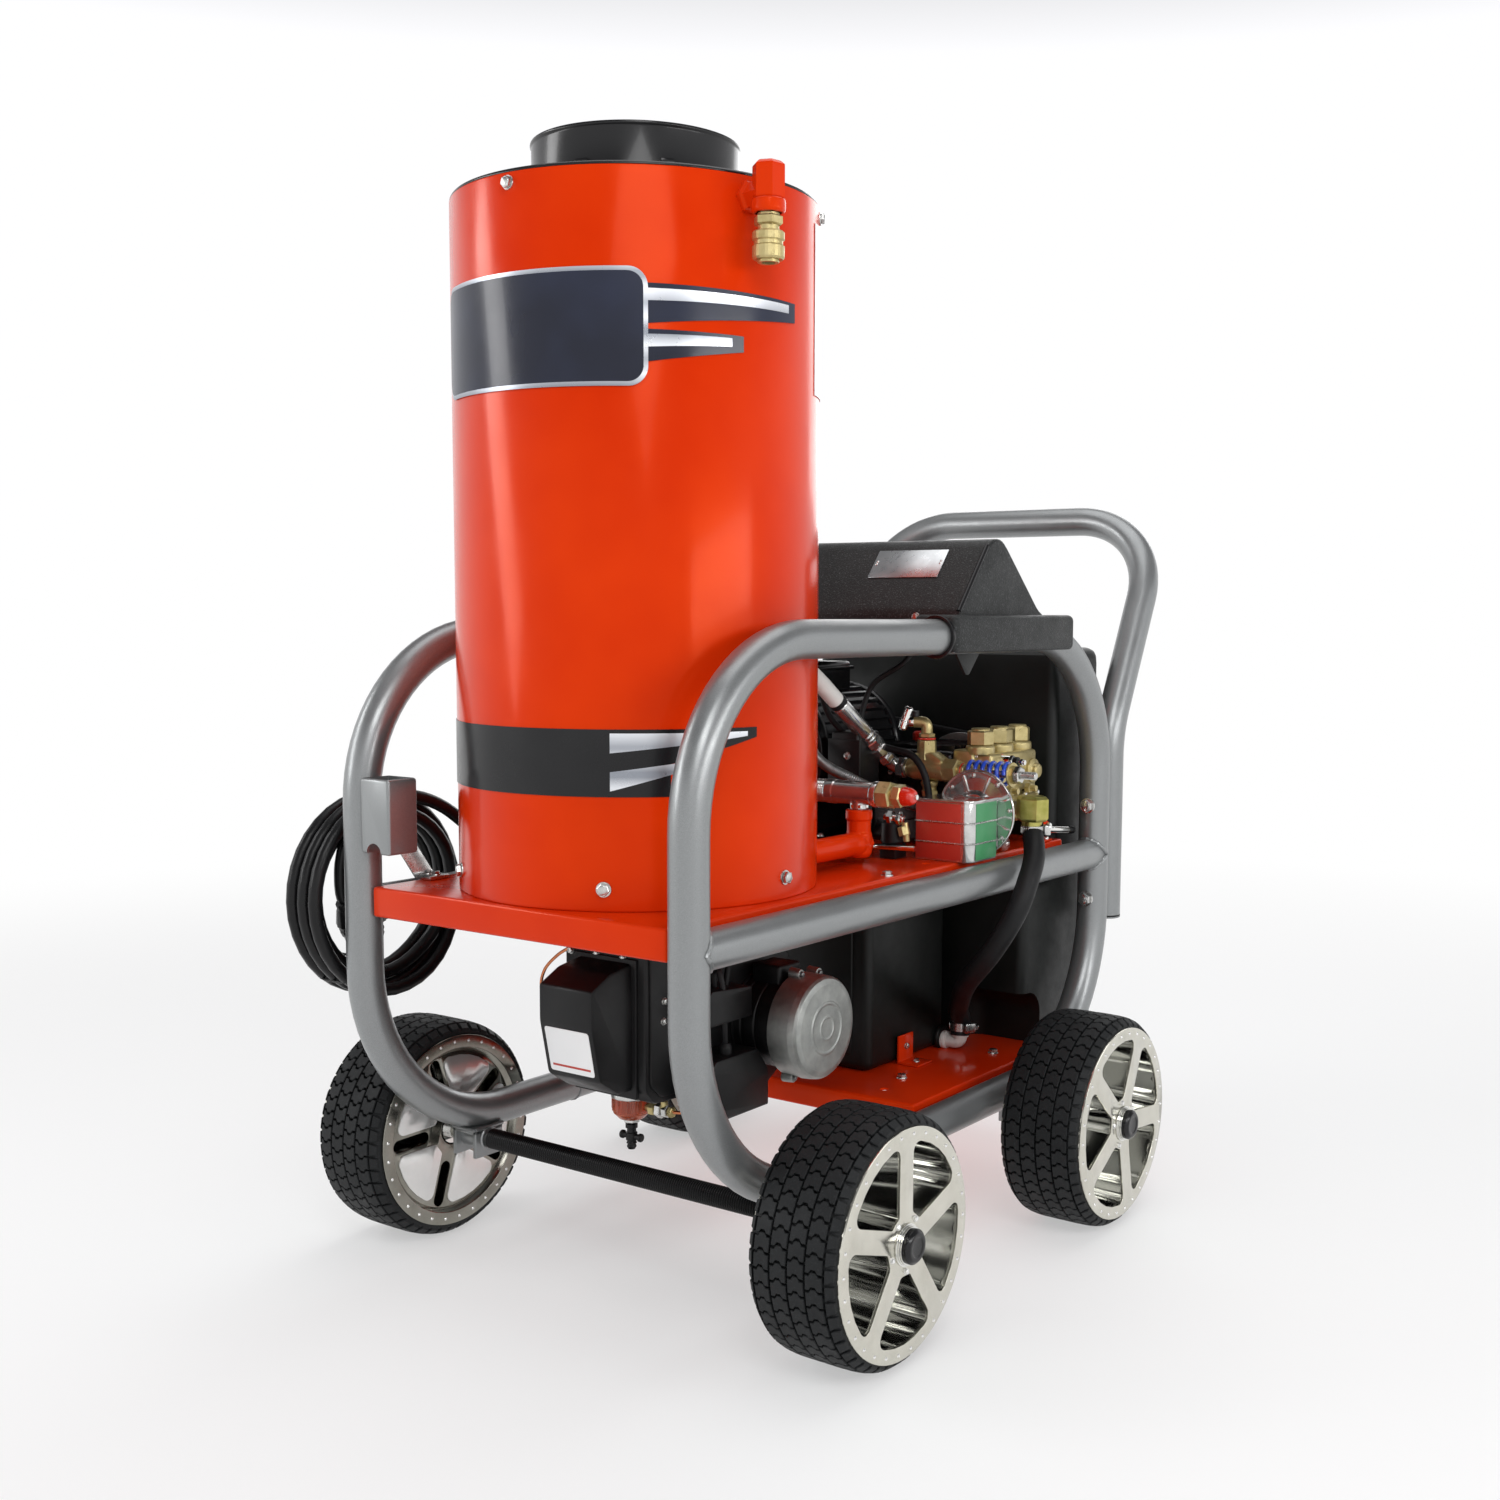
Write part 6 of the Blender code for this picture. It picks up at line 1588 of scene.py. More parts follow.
def unloader():
    axis = Vector((0, UNLOADER_Y, UNLOADER_Z))
    body = Shape()
    body.turned([(0, 0.0850), (0.0105, 0.0850), (0.0120, 0.0870), (0.0145, 0.0960), (0.0148, 0.1000),
                 (0.0148, 0.1440), (0, 0.1440)], axis, X, 48, soft=0.0010)
    body.nut(axis + X * 0.1420, X, 0.0285, 0.0220, 0.26)
    body.turned([(0, 0.1752), (0.0088, 0.1752), (0.0108, 0.1735), (0.0108, 0.1625), (0, 0.1625)], axis, X,
                40, soft=0.0008)
    body.slab([softened([(0.0870, 0.5700), (0.0870, 0.5860), (0.1000, 0.5985), (0.1260, 0.6005),
                         (0.1430, 0.5905), (0.1430, 0.5700)], 0.003, True)], UNLOADER_Y - 0.0125,
              UNLOADER_Y + 0.0125, "Y", 0.003)
    neck = Vector((UNLOADER_NECK_X, UNLOADER_Y, 0))
    body.turned([(0, 0.6165), (0.0112, 0.6165), (0.0124, 0.6150), (0.0130, 0.6000), (0.0148, 0.5900),
                 (0, 0.5900)], neck, Z, 10, soft=0.0008)
    body.nut(neck + Z * 0.6190, Z, 0.0190, 0.0060, 0.3)
    body.turned([(0, 0.6290), (0.0078, 0.6290), (0.0078, 0.6245), (0, 0.6245)], neck, Z, 32)
    bend = [neck + Z * 0.6240, neck + Z * 0.6330, neck + Vector((-0.0030, -0.0013, 0.6385)),
            neck + Vector((-0.0120, -0.0052, 0.6395)), neck + Vector((-0.0160, -0.0069, 0.6395))]
    body.tube(smooth_route(bend, 24), 0.0076, 32)
    body.turned([(0, 0.5620), (0.0105, 0.5620), (0.0120, 0.5600), (0.0105, 0.5550), (0.0092, 0.5540),
                 (0.0092, 0.5400), (0, 0.5400)], Vector((0.118, UNLOADER_Y, 0)), Z, 32, soft=0.0006)
    body.nut((0.118, UNLOADER_Y, 0.5420), Z, 0.0200, 0.0080, 0.1)
    body.turned([(0, 0.0200), (0.0100, 0.0200), (0.0100, 0.0060), (0.0125, 0.0050), (0.0125, 0), (0, 0)],
                (0.155, 0.1038, UNLOADER_Z), Y, 32)
    body.piece("unloader_casting", "brass", nodes="unloader_body")
    lever = Shape()
    out = Vector((-0.92, -0.39, 0)).normalized()
    seat = neck + Vector((0, 0, 0.6395)) + out * 0.0170
    lever.turned([(0, 0.0080), (0.0062, 0.0080), (0.0080, 0.0060), (0.0080, 0), (0, 0)], seat, out, 28,
                 soft=0.0006)
    tip = seat + out * 0.0130
    along = Vector((0.36, 0.10, 1.0)).normalized()
    lever.turned([(0, 0.0210), (0.0045, 0.0210), (0.0062, 0.0185), (0.0066, 0.0020), (0.0072, 0.0010),
                  (0.0072, -0.0090), (0.0055, -0.0115), (0, -0.0115)], tip, along, 32, soft=0.0010)
    lever.turned([(0.0078, 0.0018), (0.0078, 0), (0.005, 0), (0.005, 0.0018)], tip - along * 0.002, along,
                 32, ring=True)
    lever.piece("sample_valve", "chrome")
    grip = Shape().turned([(0, 0.0075), (0.0052, 0.0075), (0.0056, 0.006), (0.0056, 0), (0, 0)],
                          seat - out * 0.0010 + Z * 0.0070, Z, 24)
    grip.piece("sample_valve_cap", "plastic")

    spring = Shape()
    turns, low, high, coil_r, wire_r = 5.5, 0.1790, 0.2370, 0.0140, 0.0028
    path = []
    for k in range(int(turns * 28) + 1):
        angle = math.tau * k / 28
        path.append((low + (high - low) * k / (turns * 28), UNLOADER_Y + coil_r * math.cos(angle),
                     UNLOADER_Z + coil_r * math.sin(angle)))
    spring.tube(path, wire_r, 16)
    spring.piece("spring_coil", "blue", nodes="unloader_spring", angle=60)
    stud = Shape()
    thread = [(0, 0.2760), (0.0040, 0.2760)]
    for k in range(22):
        x = 0.2750 - 0.0010 * k
        thread += [(0.0050, x), (0.0042, x - 0.0005)]
    stud.turned(thread + [(0.0046, 0.2520), (0.0046, 0.1756), (0, 0.1756)], axis, X, 32)
    stud.nut(axis + X * 0.2465, X, 0.0205, 0.0085, 0.2)
    stud.piece("adjuster_stud", "steel", "unloader_adjuster", "unloader_adjuster")
    seat_ring = Shape()
    seat_ring.turned([(0.0155, 0.0024), (0.0160, 0.0012), (0.0155, 0), (0.0052, 0), (0.0052, 0.0024)],
                     axis + X * 0.2405, X, 40, ring=True)
    seat_ring.turned([(0.0118, 0.0036), (0.0118, 0), (0.0052, 0), (0.0052, 0.0036)], axis + X * 0.2429, X,
                     8, ring=True)
    seat_ring.piece("adjuster_washers", "brass", "unloader_adjuster")


def switch():
    corner = [(0.155, 0.008), (0.236, 0.008), (0.236, 0.075), (0.155, 0.075)]
    outline = [tuple(p[:2]) for p in rounded([(*p, 0) for p in corner], [0.003, 0.0125, 0.003, 0.003], 8,
                                             closed=True)]
    case = Shape()
    case.slab([outline], UPPER_DECK_Z + 0.0003, 0.5475, "Z", 0.0010)
    lid = [tuple(p[:2]) for p in rounded([(0.1538, 0.0068, 0), (0.2372, 0.0068, 0), (0.2372, 0.0755, 0),
                                          (0.1538, 0.0755, 0)], [0.004, 0.0137, 0.003, 0.003], 8,
                                         closed=True)]
    case.slab([lid], 0.5465, 0.5500, "Z", 0.0008)
    centre = Vector((0.205, 0.0782, 0.5285))
    case.turned([(0, 0.0125), (0.0170, 0.0125), (0.0240, 0.0100), (0.0290, 0.0035), (0.0450, 0.0022),
                 (0.0525, 0.0026), (0.0545, 0.0042), (0.0558, 0.0026), (0.0552, 0.0), (0.0500, -0.0016),
                 (0, -0.0016)], centre, -Y, 96, soft=0.0008)
    for k in range(8):
        turn = aimed(centre, -Y) @ Matrix.Rotation(math.tau * (k + 0.5) / 8, 4, "Z")
        case.box((0.0270, -0.0014, 0.0015), (0.0500, 0.0014, 0.0050), 0.0006, matrix=turn)
    case.piece("switch_case", "zinc", nodes="pressure_switch")
    ribs = Shape()
    for z in (0.4955, 0.5215):
        ribs.tube([Vector((x + (0.0006 if x > 0.2 else -0.0002), y - 0.0006 if y < 0.04 else y, z)) for x,
                   y in outline], 0.0012, 10, closed=True)
    for k in range(8):
        angle = math.tau * k / 8 + 0.1
        ribs.bolt(centre + Vector((0.0478 * math.cos(angle), -0.0024, 0.0478 * math.sin(angle))), -Y,
                  0.0030, k)
    ribs.piece("switch_ribs", "steel")
    red = Shape().box((0.1568, 0.0074, 0.4745), (0.2225, 0.0082, 0.5458), 0.0003)
    red.piece("switch_red_panel", "red_label")
    # A thin green sheet on the switch's right side: painted reflection of green light on the black case.
    green = Shape().box((0.2358, 0.0215, 0.4745), (0.2366, 0.0735, 0.5458), 0.0003)
    green.piece("switch_painted_green_reflection", "painted_green_reflection")


TEE_Y, TEE_Z = -0.068, 0.560


def tee():
    axis = Vector((0, TEE_Y, TEE_Z))
    body = Shape()
    profile = [(0, 0.0575), (0.0128, 0.0575)]
    for k in range(6):
        profile += [(0.0148, 0.0590 + 0.0024 * k), (0.0138, 0.0602 + 0.0024 * k)]
    profile += [(0.0155, 0.0760), (0.0155, 0.0860), (0.0146, 0.0880), (0.0146, 0.1420), (0.0162, 0.1440),
                (0.0162, 0.1515), (0, 0.1515)]
    body.turned(profile, axis, X, 48, soft=0.0005)
    body.turned([(0, 0.0), (0.0120, 0.0), (0.0128, -0.0080), (0.0112, -0.0120), (0.0112, -0.0197),
                 (0, -0.0197)], Vector((0.120, TEE_Y, TEE_Z)), Z, 32, soft=0.0006)
    body.piece("tee_body", "zinc", nodes="manifold_tee")
    brass = Shape()
    brass.nut(axis + X * 0.1510, X, 0.0305, 0.0200, 0.3)
    brass.turned([(0, 0.1740), (0.0120, 0.1740), (0.0120, 0.1700), (0, 0.1700)], axis, X, 32)
    brass.nut(axis + X * 0.1738, X, 0.0260, 0.0120, 0.7)
    brass.piece("tee_brass_nuts", "brass")
    plug = Shape().turned([(0, 0.2020), (0.0060, 0.2020), (0.0088, 0.2000), (0.0110, 0.1950),
                           (0.0120, 0.1880), (0.0120, 0.1850), (0, 0.1850)], axis, X, 40, soft=0.0012)
    plug.piece("tee_dipped_plug", "red")
    pin = Shape().rod(axis + X * 0.2010, axis + X * 0.2050, 0.0034, 24)
    pin.nut((0.120, TEE_Y, 0.5410), Z, 0.0215, 0.0060, 0.2)
    pin.rod((0.123, -0.012, 0.5255), (0.150, -0.010, 0.5225), 0.0056, 24)
    pin.nut((0.128, -0.012, 0.5250), X, 0.0155, 0.0070, 0.3)
    pin.nut((0.141, -0.011, 0.5232), X, 0.0140, 0.0055, 0.6)
    pin.tube(smooth_route([(0.090, -0.006, 0.487), (0.112, -0.018, 0.4870), (0.145, -0.020, 0.4880),
                           (0.170, -0.016, 0.4885)], 20), 0.0034, 14)
    pin.piece("tee_small_parts", "chrome")
    extra = Shape().nut((0.150, -0.013, 0.5150), Vector((0.3, 0, -1)), 0.0130, 0.0120, 0.2)
    extra.rod((0.153, -0.013, 0.520), (0.156, -0.013, 0.496), 0.0042, 20)
    extra.piece("bypass_fitting", "brass")
    solenoid = Shape().turned([(0, 0.030), (0.0120, 0.030), (0.0150, 0.027), (0.0155, 0.003), (0.0140, 0.0),
                               (0, 0.0)], (0.130, -0.004, 0.4905), Z, 40, soft=0.0010)
    solenoid.box((0.118, -0.018, 0.4724), (0.142, 0.010, 0.4910), 0.002)
    solenoid.piece("bypass_solenoid", "plastic")


# ---------------------------------------------------------------- hoses and wiring

def clamp(shape, centre, axis, radius, screw):
    """Worm-drive clamp: slotted band, screw housing and screw."""
    matrix = aimed(centre, axis, screw)
    shape.turned([(radius + 0.0011, 0.0055), (radius + 0.0011, -0.0055), (radius, -0.0055),
                  (radius, 0.0055)], centre, axis, 64, ring=True)
    for k in range(14):
        turn = matrix @ Matrix.Rotation(math.radians(60 + 14 * k), 4, "Z")
        shape.box((radius + 0.0006, -0.0006, -0.0036), (radius + 0.0017, 0.0006, 0.0036), 0.0002, matrix=turn)
    shape.box((radius + 0.0004, -0.0085, -0.0062), (radius + 0.0085, 0.0085, 0.0062), 0.0012, matrix=matrix)
    ahead = matrix.to_3x3() @ Vector((0, 1, 0))
    shape.nut(matrix @ Vector((radius + 0.0045, 0.0080, 0)), ahead, 0.0080, 0.0055, 0.2)
    shape.rod(matrix @ Vector((radius + 0.0045, 0.0125, 0)), matrix @ Vector((radius + 0.0045, 0.0160, 0)),
              0.0024, 16)


def hoses():
    delivery = [(0.0844, UNLOADER_Y, UNLOADER_Z), (0.074, UNLOADER_Y, UNLOADER_Z), (0.061, 0.086, 0.591),
                (0.056, 0.020, 0.640), (0.050, -0.058, 0.6975), (0.030, -0.098, 0.735),
                (-0.020, -0.112, 0.745), (-0.075, -0.108, 0.715), (-0.100, -0.100, 0.655),
                (-0.080, -0.088, 0.595), (-0.030, -0.072, 0.564), (0.030, -0.068, 0.560),
                (0.0567, -0.068, 0.560)]
    corner = Vector((0.0612, 0.086, 0.591))
    along = (Vector((0.050, -0.058, 0.6975)) - corner).normalized()
    hose = Shape()
    hose.tube(smooth_route([corner + along * 0.12, corner + along * 0.15, *delivery[4:]], 120), 0.0095, 28)
    hose.piece("delivery_hose", "hose", nodes="high_pressure_hose", angle=60)
    sleeve = Shape()
    sleeve.tube(smooth_route([corner + along * 0.133, corner + along * 0.152, corner + along * 0.174,
                              (0.043, -0.075, 0.7130), (0.030, -0.098, 0.735)], 30), 0.0112, 28)
    sleeve.piece("hose_sleeve", "nylon", angle=60)
    band = Shape().turned([(0, 0.0075), (0.0120, 0.0075), (0.0124, 0.0060), (0.0124, 0.0015), (0.0120, 0),
                           (0, 0)], corner + along * 0.1275, along, 32)
    band.piece("hose_sleeve_band", "hose")
    steel = Shape()
    steel.tube(smooth_route([(0.0860, UNLOADER_Y, UNLOADER_Z), (0.0760, UNLOADER_Y, UNLOADER_Z),
                             (0.0665, 0.1005, 0.5800), corner + along * 0.002, corner + along * 0.018], 30),
               0.0102, 32)
    steel.turned([(0, 0.016), (0.0112, 0.016), (0.0130, 0.012), (0.0130, 0.004), (0.0112, 0), (0, 0)],
                 corner - along * 0.004, along, 8, soft=0.001)
    steel.nut(corner + along * 0.0170, along, 0.0235, 0.0130, 0.2)
    steel.turned([(0, 0.0060), (0.0098, 0.0060), (0.0098, 0), (0, 0)], corner + along * 0.0300, along, 32)
    steel.nut(corner + along * 0.0345, along, 0.0220, 0.0110, 0.7)
    ferrule = [(0, 0.0), (0.0098, 0.0), (0.0110, 0.0015), (0.0110, 0.0050), (0.0098, 0.0060),
               (0.0098, 0.0080), (0.0114, 0.0090), (0.0114, 0.0125), (0.0102, 0.0135), (0.0102, 0.0155),
               (0.0118, 0.0165), (0.0118, 0.0590), (0.0108, 0.0610), (0, 0.0610)]
    long_ferrule = [(r, h + (0.0210 if h > 0.0165 else 0.0)) for r, h in ferrule]
    steel.turned(long_ferrule, corner + along * 0.0455, along, 48, soft=0.0008)
    steel.nut((0.0695, UNLOADER_Y, UNLOADER_Z), X, 0.0250, 0.0120, 0.15)
    steel.turned([(0.0140, 0.0030), (0.0140, 0), (0.009, 0), (0.009, 0.0030)],
                 (0.0815, UNLOADER_Y, UNLOADER_Z), X, 36, ring=True)
    steel.turned(ferrule, (0.0480, TEE_Y, TEE_Z), -X, 48, soft=0.0008)
    steel.nut((0.0470, TEE_Y, TEE_Z), X, 0.0225, 0.0105, 0.3)
    steel.piece("delivery_hose_fittings", "zinc")

    suction = [(0.2580, 0.131, 0.5146), (0.2580, 0.131, 0.504), (0.2745, 0.105, 0.474),
               (0.2795, 0.080, 0.446), (0.2720, 0.062, 0.405), (0.2350, 0.068, 0.350),
               (0.1780, 0.104, 0.295), (0.1400, 0.150, 0.250), (0.1280, TANK_PORT_Y, 0.228),
               (0.1280, TANK_PORT_Y, 0.2054)]
    hose = Shape()
    hose.tube(smooth_route(suction, 90), 0.0138, 32)
    hose.piece("feed_hose", "hose", nodes="suction_hose", angle=60)
    clamps = Shape()
    clamp(clamps, (0.2580, 0.131, 0.5045), Z, 0.0138, math.radians(35))
    clamp(clamps, (0.1280, TANK_PORT_Y, 0.2180), Z, 0.0138, math.radians(-20))
    clamps.piece("hose_clamps", "steel")

    conduit = Shape()
    path = smooth_route([(-0.010, 0.005, 0.618), (0.020, -0.020, 0.598), (0.0495, -0.030, 0.5845),
                         (0.084, -0.030, 0.5726), (0.114, -0.006, 0.5535), (0.138, 0.018, 0.5400),
                         (0.159, 0.032, 0.5360)], 180)
    conduit.tube(path, lambda i: 0.0062 + 0.0009 * (i % 2), 18)
    conduit.turned([(0, 0.010), (0.0085, 0.010), (0.0095, 0.008), (0.0095, 0.002), (0.0085, 0), (0, 0)],
                   (0.1470, 0.029, 0.5370), X, 24)
    conduit.piece("cable_conduit", "dark_steel", angle=60)
    wires = Shape()
    wires.tube(smooth_route([(0.030, 0.072, 0.592), (0.055, 0.070, 0.606), (0.0827, 0.070, 0.6035),
                             (0.1124, 0.070, 0.5965), (0.1300, 0.070, 0.5751), (0.1385, 0.069, 0.5446),
                             (0.1420, 0.066, 0.5230), (0.160, 0.060, 0.5150)], 70), 0.0048, 16)
    wires.tube(smooth_route([(-0.060, 0.060, 0.740), (-0.020, 0.020, 0.730), (0.010, 0.000, 0.690),
                             (0.020, 0.010, 0.650), (0.030, 0.035, 0.622)], 50), 0.0042, 16)
    wires.tube(smooth_route([(0.120, 0.080, 0.760), (0.105, 0.060, 0.720), (0.060, 0.055, 0.690),
                             (0.045, 0.050, 0.650), (0.044, 0.048, 0.622)], 50), 0.0036, 14)
    wires.piece("wiring", "hose", angle=60)

    hook = Shape()
    hook.slab([softened([(0.200, UPPER_DECK_Z + 0.0003), (0.2165, UPPER_DECK_Z + 0.0003),
                         (0.2165, UPPER_DECK_Z + 0.0032), (0.2030, UPPER_DECK_Z + 0.0032), (0.2030, 0.5060),
                         (0.200, 0.5060)], 0.0010, True)], 0.236, 0.268, "Y", 0.0008)
    hook.turned([(0, 0.0130), (0.0080, 0.0130), (0.0095, 0.0110), (0.0095, 0.0), (0, 0.0)],
                (0.2035, 0.252, 0.4930), X, 8, soft=0.001)
    hook.piece("tap_bracket", "orange")
    tap = Shape()
    tap.rod((0.2120, 0.243, 0.4905), (0.2200, 0.3090, 0.4835), 0.0048, 24, 0.001)
    tap.nut((0.2165, 0.252, 0.4930), X, 0.0110, 0.0050, 0.2)
    tap.bolt((0.2100, 0.262, UPPER_DECK_Z + 0.0032), Z, 0.0036)
    tap.piece("tap_lever", "chrome")
    tip = Shape().rod((0.2200, 0.3080, 0.4837), (0.2215, 0.3190, 0.4825), 0.0056, 24, 0.0015)
    tip.piece("tap_lever_tip", "plastic")


# ---------------------------------------------------------------- tanks

def tanks():
    seat = LOWER_DECK_Z + 0.0003
    tank = Shape()
    tank.box((-0.0975, -0.0045, seat), (0.0955, 0.1895, 0.408), 0.013, 5)
    tank.box((-0.100, -0.007, 0.398), (0.098, 0.192, 0.414), 0.004, 3)
    tank.box((-0.092, 0.001, 0.410), (0.090, 0.184, 0.4300), 0.006, 3)
    tank.box((-0.070, -0.0068, 0.205), (0.070, 0.010, 0.385), 0.0022, 3)
    tank.turned([(0, 0.006), (0.0150, 0.006), (0.0170, 0.004), (0.0170, 0), (0, 0)],
                (0.0955, TANK_PORT_Y, 0.1975), X, 40, soft=0.001)
    tank.piece("float_tank_moulding", "tank", nodes="float_tank")
    elbow = Shape()
    elbow.tube(rounded([(0.099, TANK_PORT_Y, 0.195), (0.128, TANK_PORT_Y, 0.195),
                        (0.128, TANK_PORT_Y, 0.2090)], [0, 0.0085, 0], 8), 0.0095, 32)
    elbow.turned([(0, 0.007), (0.0118, 0.007), (0.0125, 0.005), (0.0125, 0), (0, 0)],
                 (0.1015, TANK_PORT_Y, 0.195), X, 32, soft=0.0006)
    elbow.turned([(0, 0.0045), (0.0115, 0.0045), (0.0115, 0), (0, 0)], (0.128, TANK_PORT_Y, 0.2030), Z, 32,
                 soft=0.0006)
    elbow.piece("tank_nylon_elbow", "nylon")

    outline = [(0.223, seat), (0.440, seat), (0.440, 0.735), (0.302, 0.735), (0.302, 0.415), (0.223, 0.415)]
    tank = Shape().slab([softened(outline, 0.022, True)], -0.200, 0.200, "X", 0.014, steps=4)
    tools = []
    for side in (-1, 1):
        low, high = sorted((side * 0.085, side * 0.260))
        tools.append(Shape().box((low, 0.170, 0.120), (high, 0.272, 0.262), 0.034, 6))
    tank.cut(*tools)
    for z in (0.470, 0.690):
        tank.box((-0.140, 0.4380, z - 0.004), (0.140, 0.4400, z + 0.004), 0.0008)
    tank.turned([(0, 0.7500), (0.0240, 0.7500), (0.0280, 0.7490), (0.0280, 0.7300), (0.0340, 0.7240),
                 (0, 0.7240)], (0, 0.371, 0), Z, 48, soft=0.0008)
    tank.piece("fuel_tank_moulding", "tank", nodes="fuel_tank")
    cap = Shape()
    cap.turned([(0, 0.0190), (0.0060, 0.0190), (0.0250, 0.0205), (0.0300, 0.0220), (0.0330, 0.0190),
                (0.0338, 0.0020), (0.0325, 0), (0, 0)], (0, 0.371, 0.7503), Z, 144, soft=0.0008,
               wave=lambda a, h: 1 - 0.035 * (math.cos(18 * a) > 0.1) * (0.003 < h < 0.0195))
    cap.box((-0.0230, -0.0035, 0.0190), (0.0230, 0.0035, 0.0219), 0.0010,
            matrix=Matrix.Translation((0, 0.371, 0.7503)))
    cap.piece("fuel_cap_moulding", "red_plastic", "fuel_cap", "fuel_cap")


# ---------------------------------------------------------------- hood and controls

HOOD_HALF_X = 0.245
HOOD_FRONT, HOOD_FRONT_TOP = Vector((0, -0.040, 0.784)), Vector((0, 0.031, 0.869))
HOOD_RIDGE, HOOD_FOOT = Vector((0, 0.075, 0.866)), Vector((0, 0.162, 0.788))


def hood_section(inset):
    floor = 0.735 - (0.01 if inset else 0)
    return [(-0.040 + inset, floor), (-0.040 + inset, 0.784 - inset / 2),
            (0.031 + inset / 3, 0.869 - inset), (0.045, 0.875 - inset), (0.062, 0.875 - inset),
            (HOOD_RIDGE.y - inset / 3, HOOD_RIDGE.z - inset),
            (HOOD_FOOT.y - inset / 3, HOOD_FOOT.z - inset), (0.180 - inset, 0.780 - inset),
            (0.184 - inset, floor)]


def on_slope(start, end, x, share):
    """Frame on a slope of the hood: X across, Y down the slope from start to end, Z off it."""
    down = (end - start).normalized()
    off = X.cross(down)
    spot = start.lerp(end, share) + X * x
    if off.z < 0:
        off = -off
    side = down.cross(off)
    return Matrix(((side.x, down.x, off.x, spot.x), (side.y, down.y, off.y, spot.y),
                   (side.z, down.z, off.z, spot.z), (0, 0, 0, 1)))


def hood():
    shell = Shape().slab([softened(hood_section(0), 0.008, True)], -HOOD_HALF_X, HOOD_HALF_X, "X", 0.004,
                         steps=3)
    saddles = [Shape().box((min(s * 0.205, s * 0.266), -0.0845, 0.735), (max(s * 0.205, s * 0.266), 0.226,
                                                                         0.7812), 0.0085, 5) for s in (-1,
                                                                                                       1)]
    shell.cut(*saddles, operation="UNION")
    inside = Shape().slab([hood_section(0.004)], -HOOD_HALF_X + 0.004, HOOD_HALF_X - 0.004, "X", 0.0001)
    tools = [inside]
    for side in (-1, 1):
        path = [(side * LOOP_X, -0.20, TOP_RAIL_Z), (side * LOOP_X, 0.1589, TOP_RAIL_Z)]
        full = [p for p in loop_path(side) if p.z > 0.6 and p.y > -0.20]
        tools.append(Shape().tube([path[0]] + sorted(full, key=lambda p: (p.y, -p.z)), TUBE_R + 0.0007, 48))
        near, far = sorted((side * 0.200, side * (LOOP_X + TUBE_R + 0.0006)))
        tools.append(Shape().box((near, -0.0805, 0.70), (far, 0.222, TOP_RAIL_Z), 0.0))
    window_at = on_slope(HOOD_RIDGE, HOOD_FOOT, -0.080, 0.5)
    tools.append(Shape().box((-0.0105, -0.0165, -0.012), (0.0105, 0.0165, 0.012), 0.0, matrix=window_at))
    shell.cut(*tools)
    shell.piece("hood_moulding", "hood", nodes="control_hood")

    lip, tabs = Shape(), Shape()
    for side in (-1, 1):
        lip.tube([(side * 0.2415, -0.0375, 0.7850), (side * 0.2415, -0.0050, 0.8245),
                  (side * 0.2415, 0.0290, 0.8655)], 0.0034, 16)
        lip.turned([(TUBE_R + 0.0045, 0.0050), (TUBE_R + 0.0050, 0.0025), (TUBE_R + 0.0045, 0),
                    (TUBE_R + 0.0005, 0), (TUBE_R + 0.0005, 0.0050)], (side * LOOP_X, -0.0885, TOP_RAIL_Z),
                   Y, 64, ring=True, soft=0.0006)
        tabs.slab([softened([(-0.040, 0.737), (0.022, 0.737), (-0.006, 0.708), (-0.014, 0.708)], 0.003,
                            True)], side * 0.2375 - 0.0015, side * 0.2375 + 0.0015, "X", 0.0005)
    lip.piece("hood_edging", "black_gloss")
    tabs.piece("hood_side_tabs", "tank")

    plate_at = on_slope(HOOD_FRONT_TOP, HOOD_FRONT, -0.0, 0.295)
    plate = Shape().box((-0.1910, -0.0225, 0.0001), (-0.0885, 0.0225, 0.0014), 0.0005, matrix=plate_at)
    plate.piece("blank_nameplate", "plate")
    rivets = Shape()
    for x in (-0.1868, -0.0930):
        for y in (-0.0010, 0.0):
            rivets.turned([(0, 0.0008), (0.0012, 0.0006), (0.0019, 0), (0, 0)],
                          plate_at @ Vector((x, y * 4, 0.0014)), plate_at.to_3x3() @ Z, 16)
    rivets.bolt((0.1829, -0.0400, 0.7780), -Y, 0.0052, 0.3)
    rivets.bolt((-0.1829, -0.0400, 0.7780), -Y, 0.0052, 0.3)
    for x in (-0.225, 0.225):
        rivets.bolt((x, 0.1835, 0.757), Y, 0.0048, 0.5)
    rivets.piece("hood_fasteners", "steel")


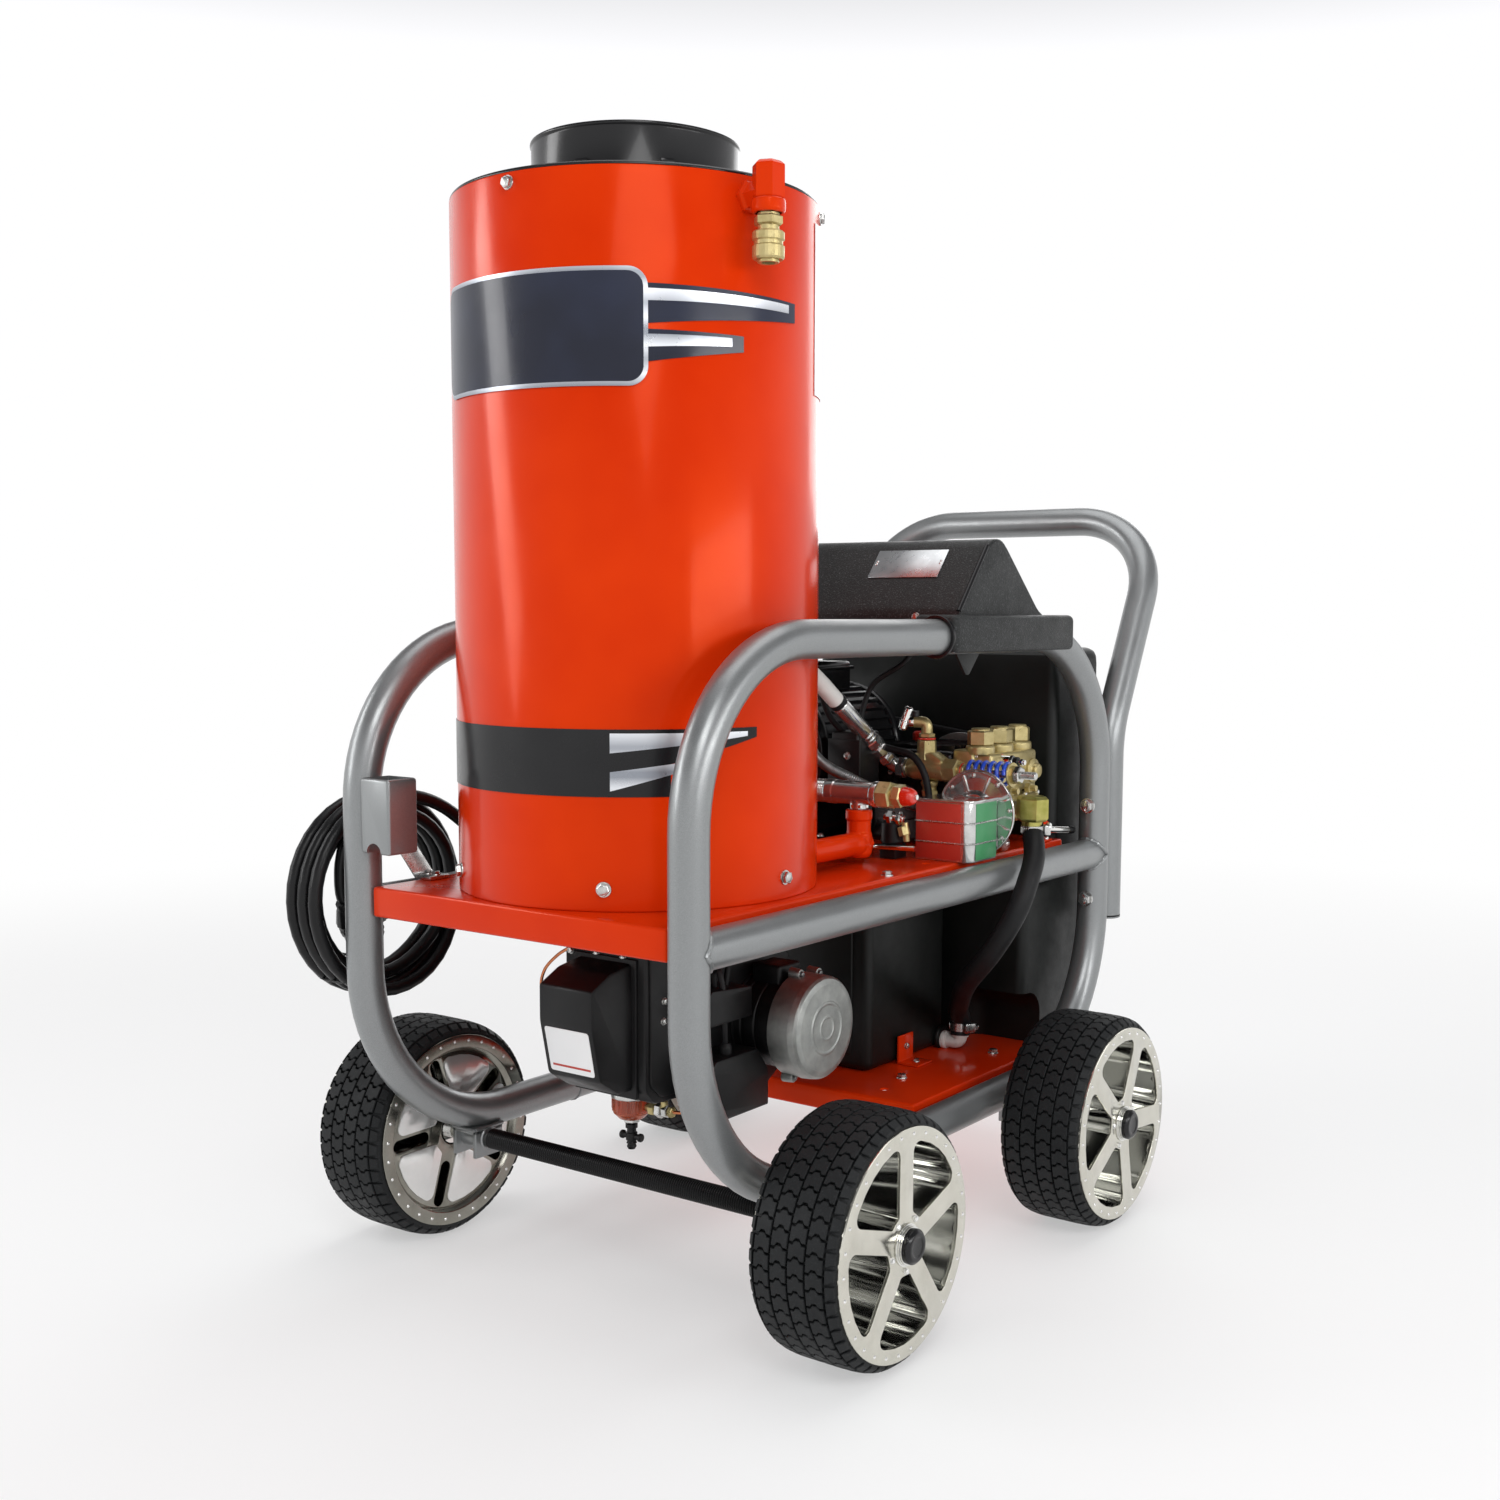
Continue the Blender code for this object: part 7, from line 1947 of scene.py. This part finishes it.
def controls():
    panel_at = on_slope(HOOD_RIDGE, HOOD_FOOT, 0.0, 0.5)
    panel = Shape()
    panel.slab([softened([(-0.125, -0.040), (0.125, -0.040), (0.125, 0.040), (-0.125, 0.040)], 0.006, True),
                softened([(0.0900, -0.0170), (0.0690, -0.0170), (0.0690, 0.0170), (0.0900, 0.0170)], 0.002,
                         True)], 0.0001, 0.0012, "Z", 0.0003, panel_at)
    panel.piece("control_panel_plate", "plate")
    knob_at = on_slope(HOOD_RIDGE, HOOD_FOOT, 0.070, 0.5)
    off = knob_at.to_3x3() @ Z
    knob = Shape()
    knob.turned([(0, 0.0180), (0.0150, 0.0180), (0.0180, 0.0165), (0.0195, 0.0050), (0.0218, 0.0030),
                 (0.0220, 0.0014), (0, 0.0014)], knob_at.translation, off, 96, soft=0.0008, wave=lambda a,
                h: 1 - 0.03 * (math.cos(16 * a) > 0.2) * (h > 0.004) * (h < 0.0170))
    knob.box((-0.0013, -0.0165, 0.0175), (0.0013, -0.0040, 0.0186), 0.0004, matrix=knob_at)
    knob.piece("thermostat_knob_moulding", "plastic", "thermostat_knob", "thermostat_knob")
    ring = Shape()
    ring.turned([(0.0275, 0.0018), (0.0275, 0.0008), (0.0230, 0.0008), (0.0230, 0.0018)],
                knob_at.translation, off, 64, ring=True)
    for k in range(13):
        turn = knob_at @ Matrix.Rotation(math.radians(-150 + 25 * k), 4, "Z")
        ring.box((-0.0004, -0.0325, 0.0008), (0.0004, -0.0290, 0.0018), 0.0, matrix=turn)
    rocker_at = on_slope(HOOD_RIDGE, HOOD_FOOT, -0.080, 0.5)
    frame_outer = softened([(-0.0135, -0.0195), (0.0135, -0.0195), (0.0135, 0.0195), (-0.0135, 0.0195)],
                           0.002, True)
    frame_inner = softened([(-0.0100, -0.0155), (0.0100, -0.0155), (0.0100, 0.0155), (-0.0100, 0.0155)],
                           0.001, True)
    ring.slab([frame_outer, frame_inner], 0.0010, 0.0034, "Z", 0.0006, rocker_at)
    lamp_at = on_slope(HOOD_RIDGE, HOOD_FOOT, -0.005, 0.5)
    ring.turned([(0.0110, 0.0042), (0.0125, 0.0032), (0.0125, 0.0010), (0.0080, 0.0010), (0.0080, 0.0042)],
                lamp_at.translation, off, 40, ring=True)
    ring.piece("control_bezels", "black_gloss")
    rocker = Shape()
    rocker.slab([softened([(-0.0138, -0.0040), (0.0138, -0.0040), (0.0138, 0.0062), (0.0, 0.0036),
                           (-0.0138, 0.0018)], 0.0008, True)], -0.0085, 0.0085, "X", 0.0008, rocker_at)
    rocker.piece("rocker_moulding", "red_plastic", "rocker_switch", "rocker_switch")
    lamp = Shape().turned([(0, 0.0062), (0.0040, 0.0056), (0.0070, 0.0036), (0.0079, 0.0010), (0, 0.0010)],
                          lamp_at.translation, off, 40)
    lamp.piece("pilot_lamp", "amber")


camera()
power_cord()
stage()
frame_tubes()
handle()
wand_holder()
decks()
wheels()
axles()
boiler()
burner_case()
burner_motor()
fuel_filter()
drive()
pump_head()
unloader()
switch()
tee()
hoses()
tanks()
hood()
controls()
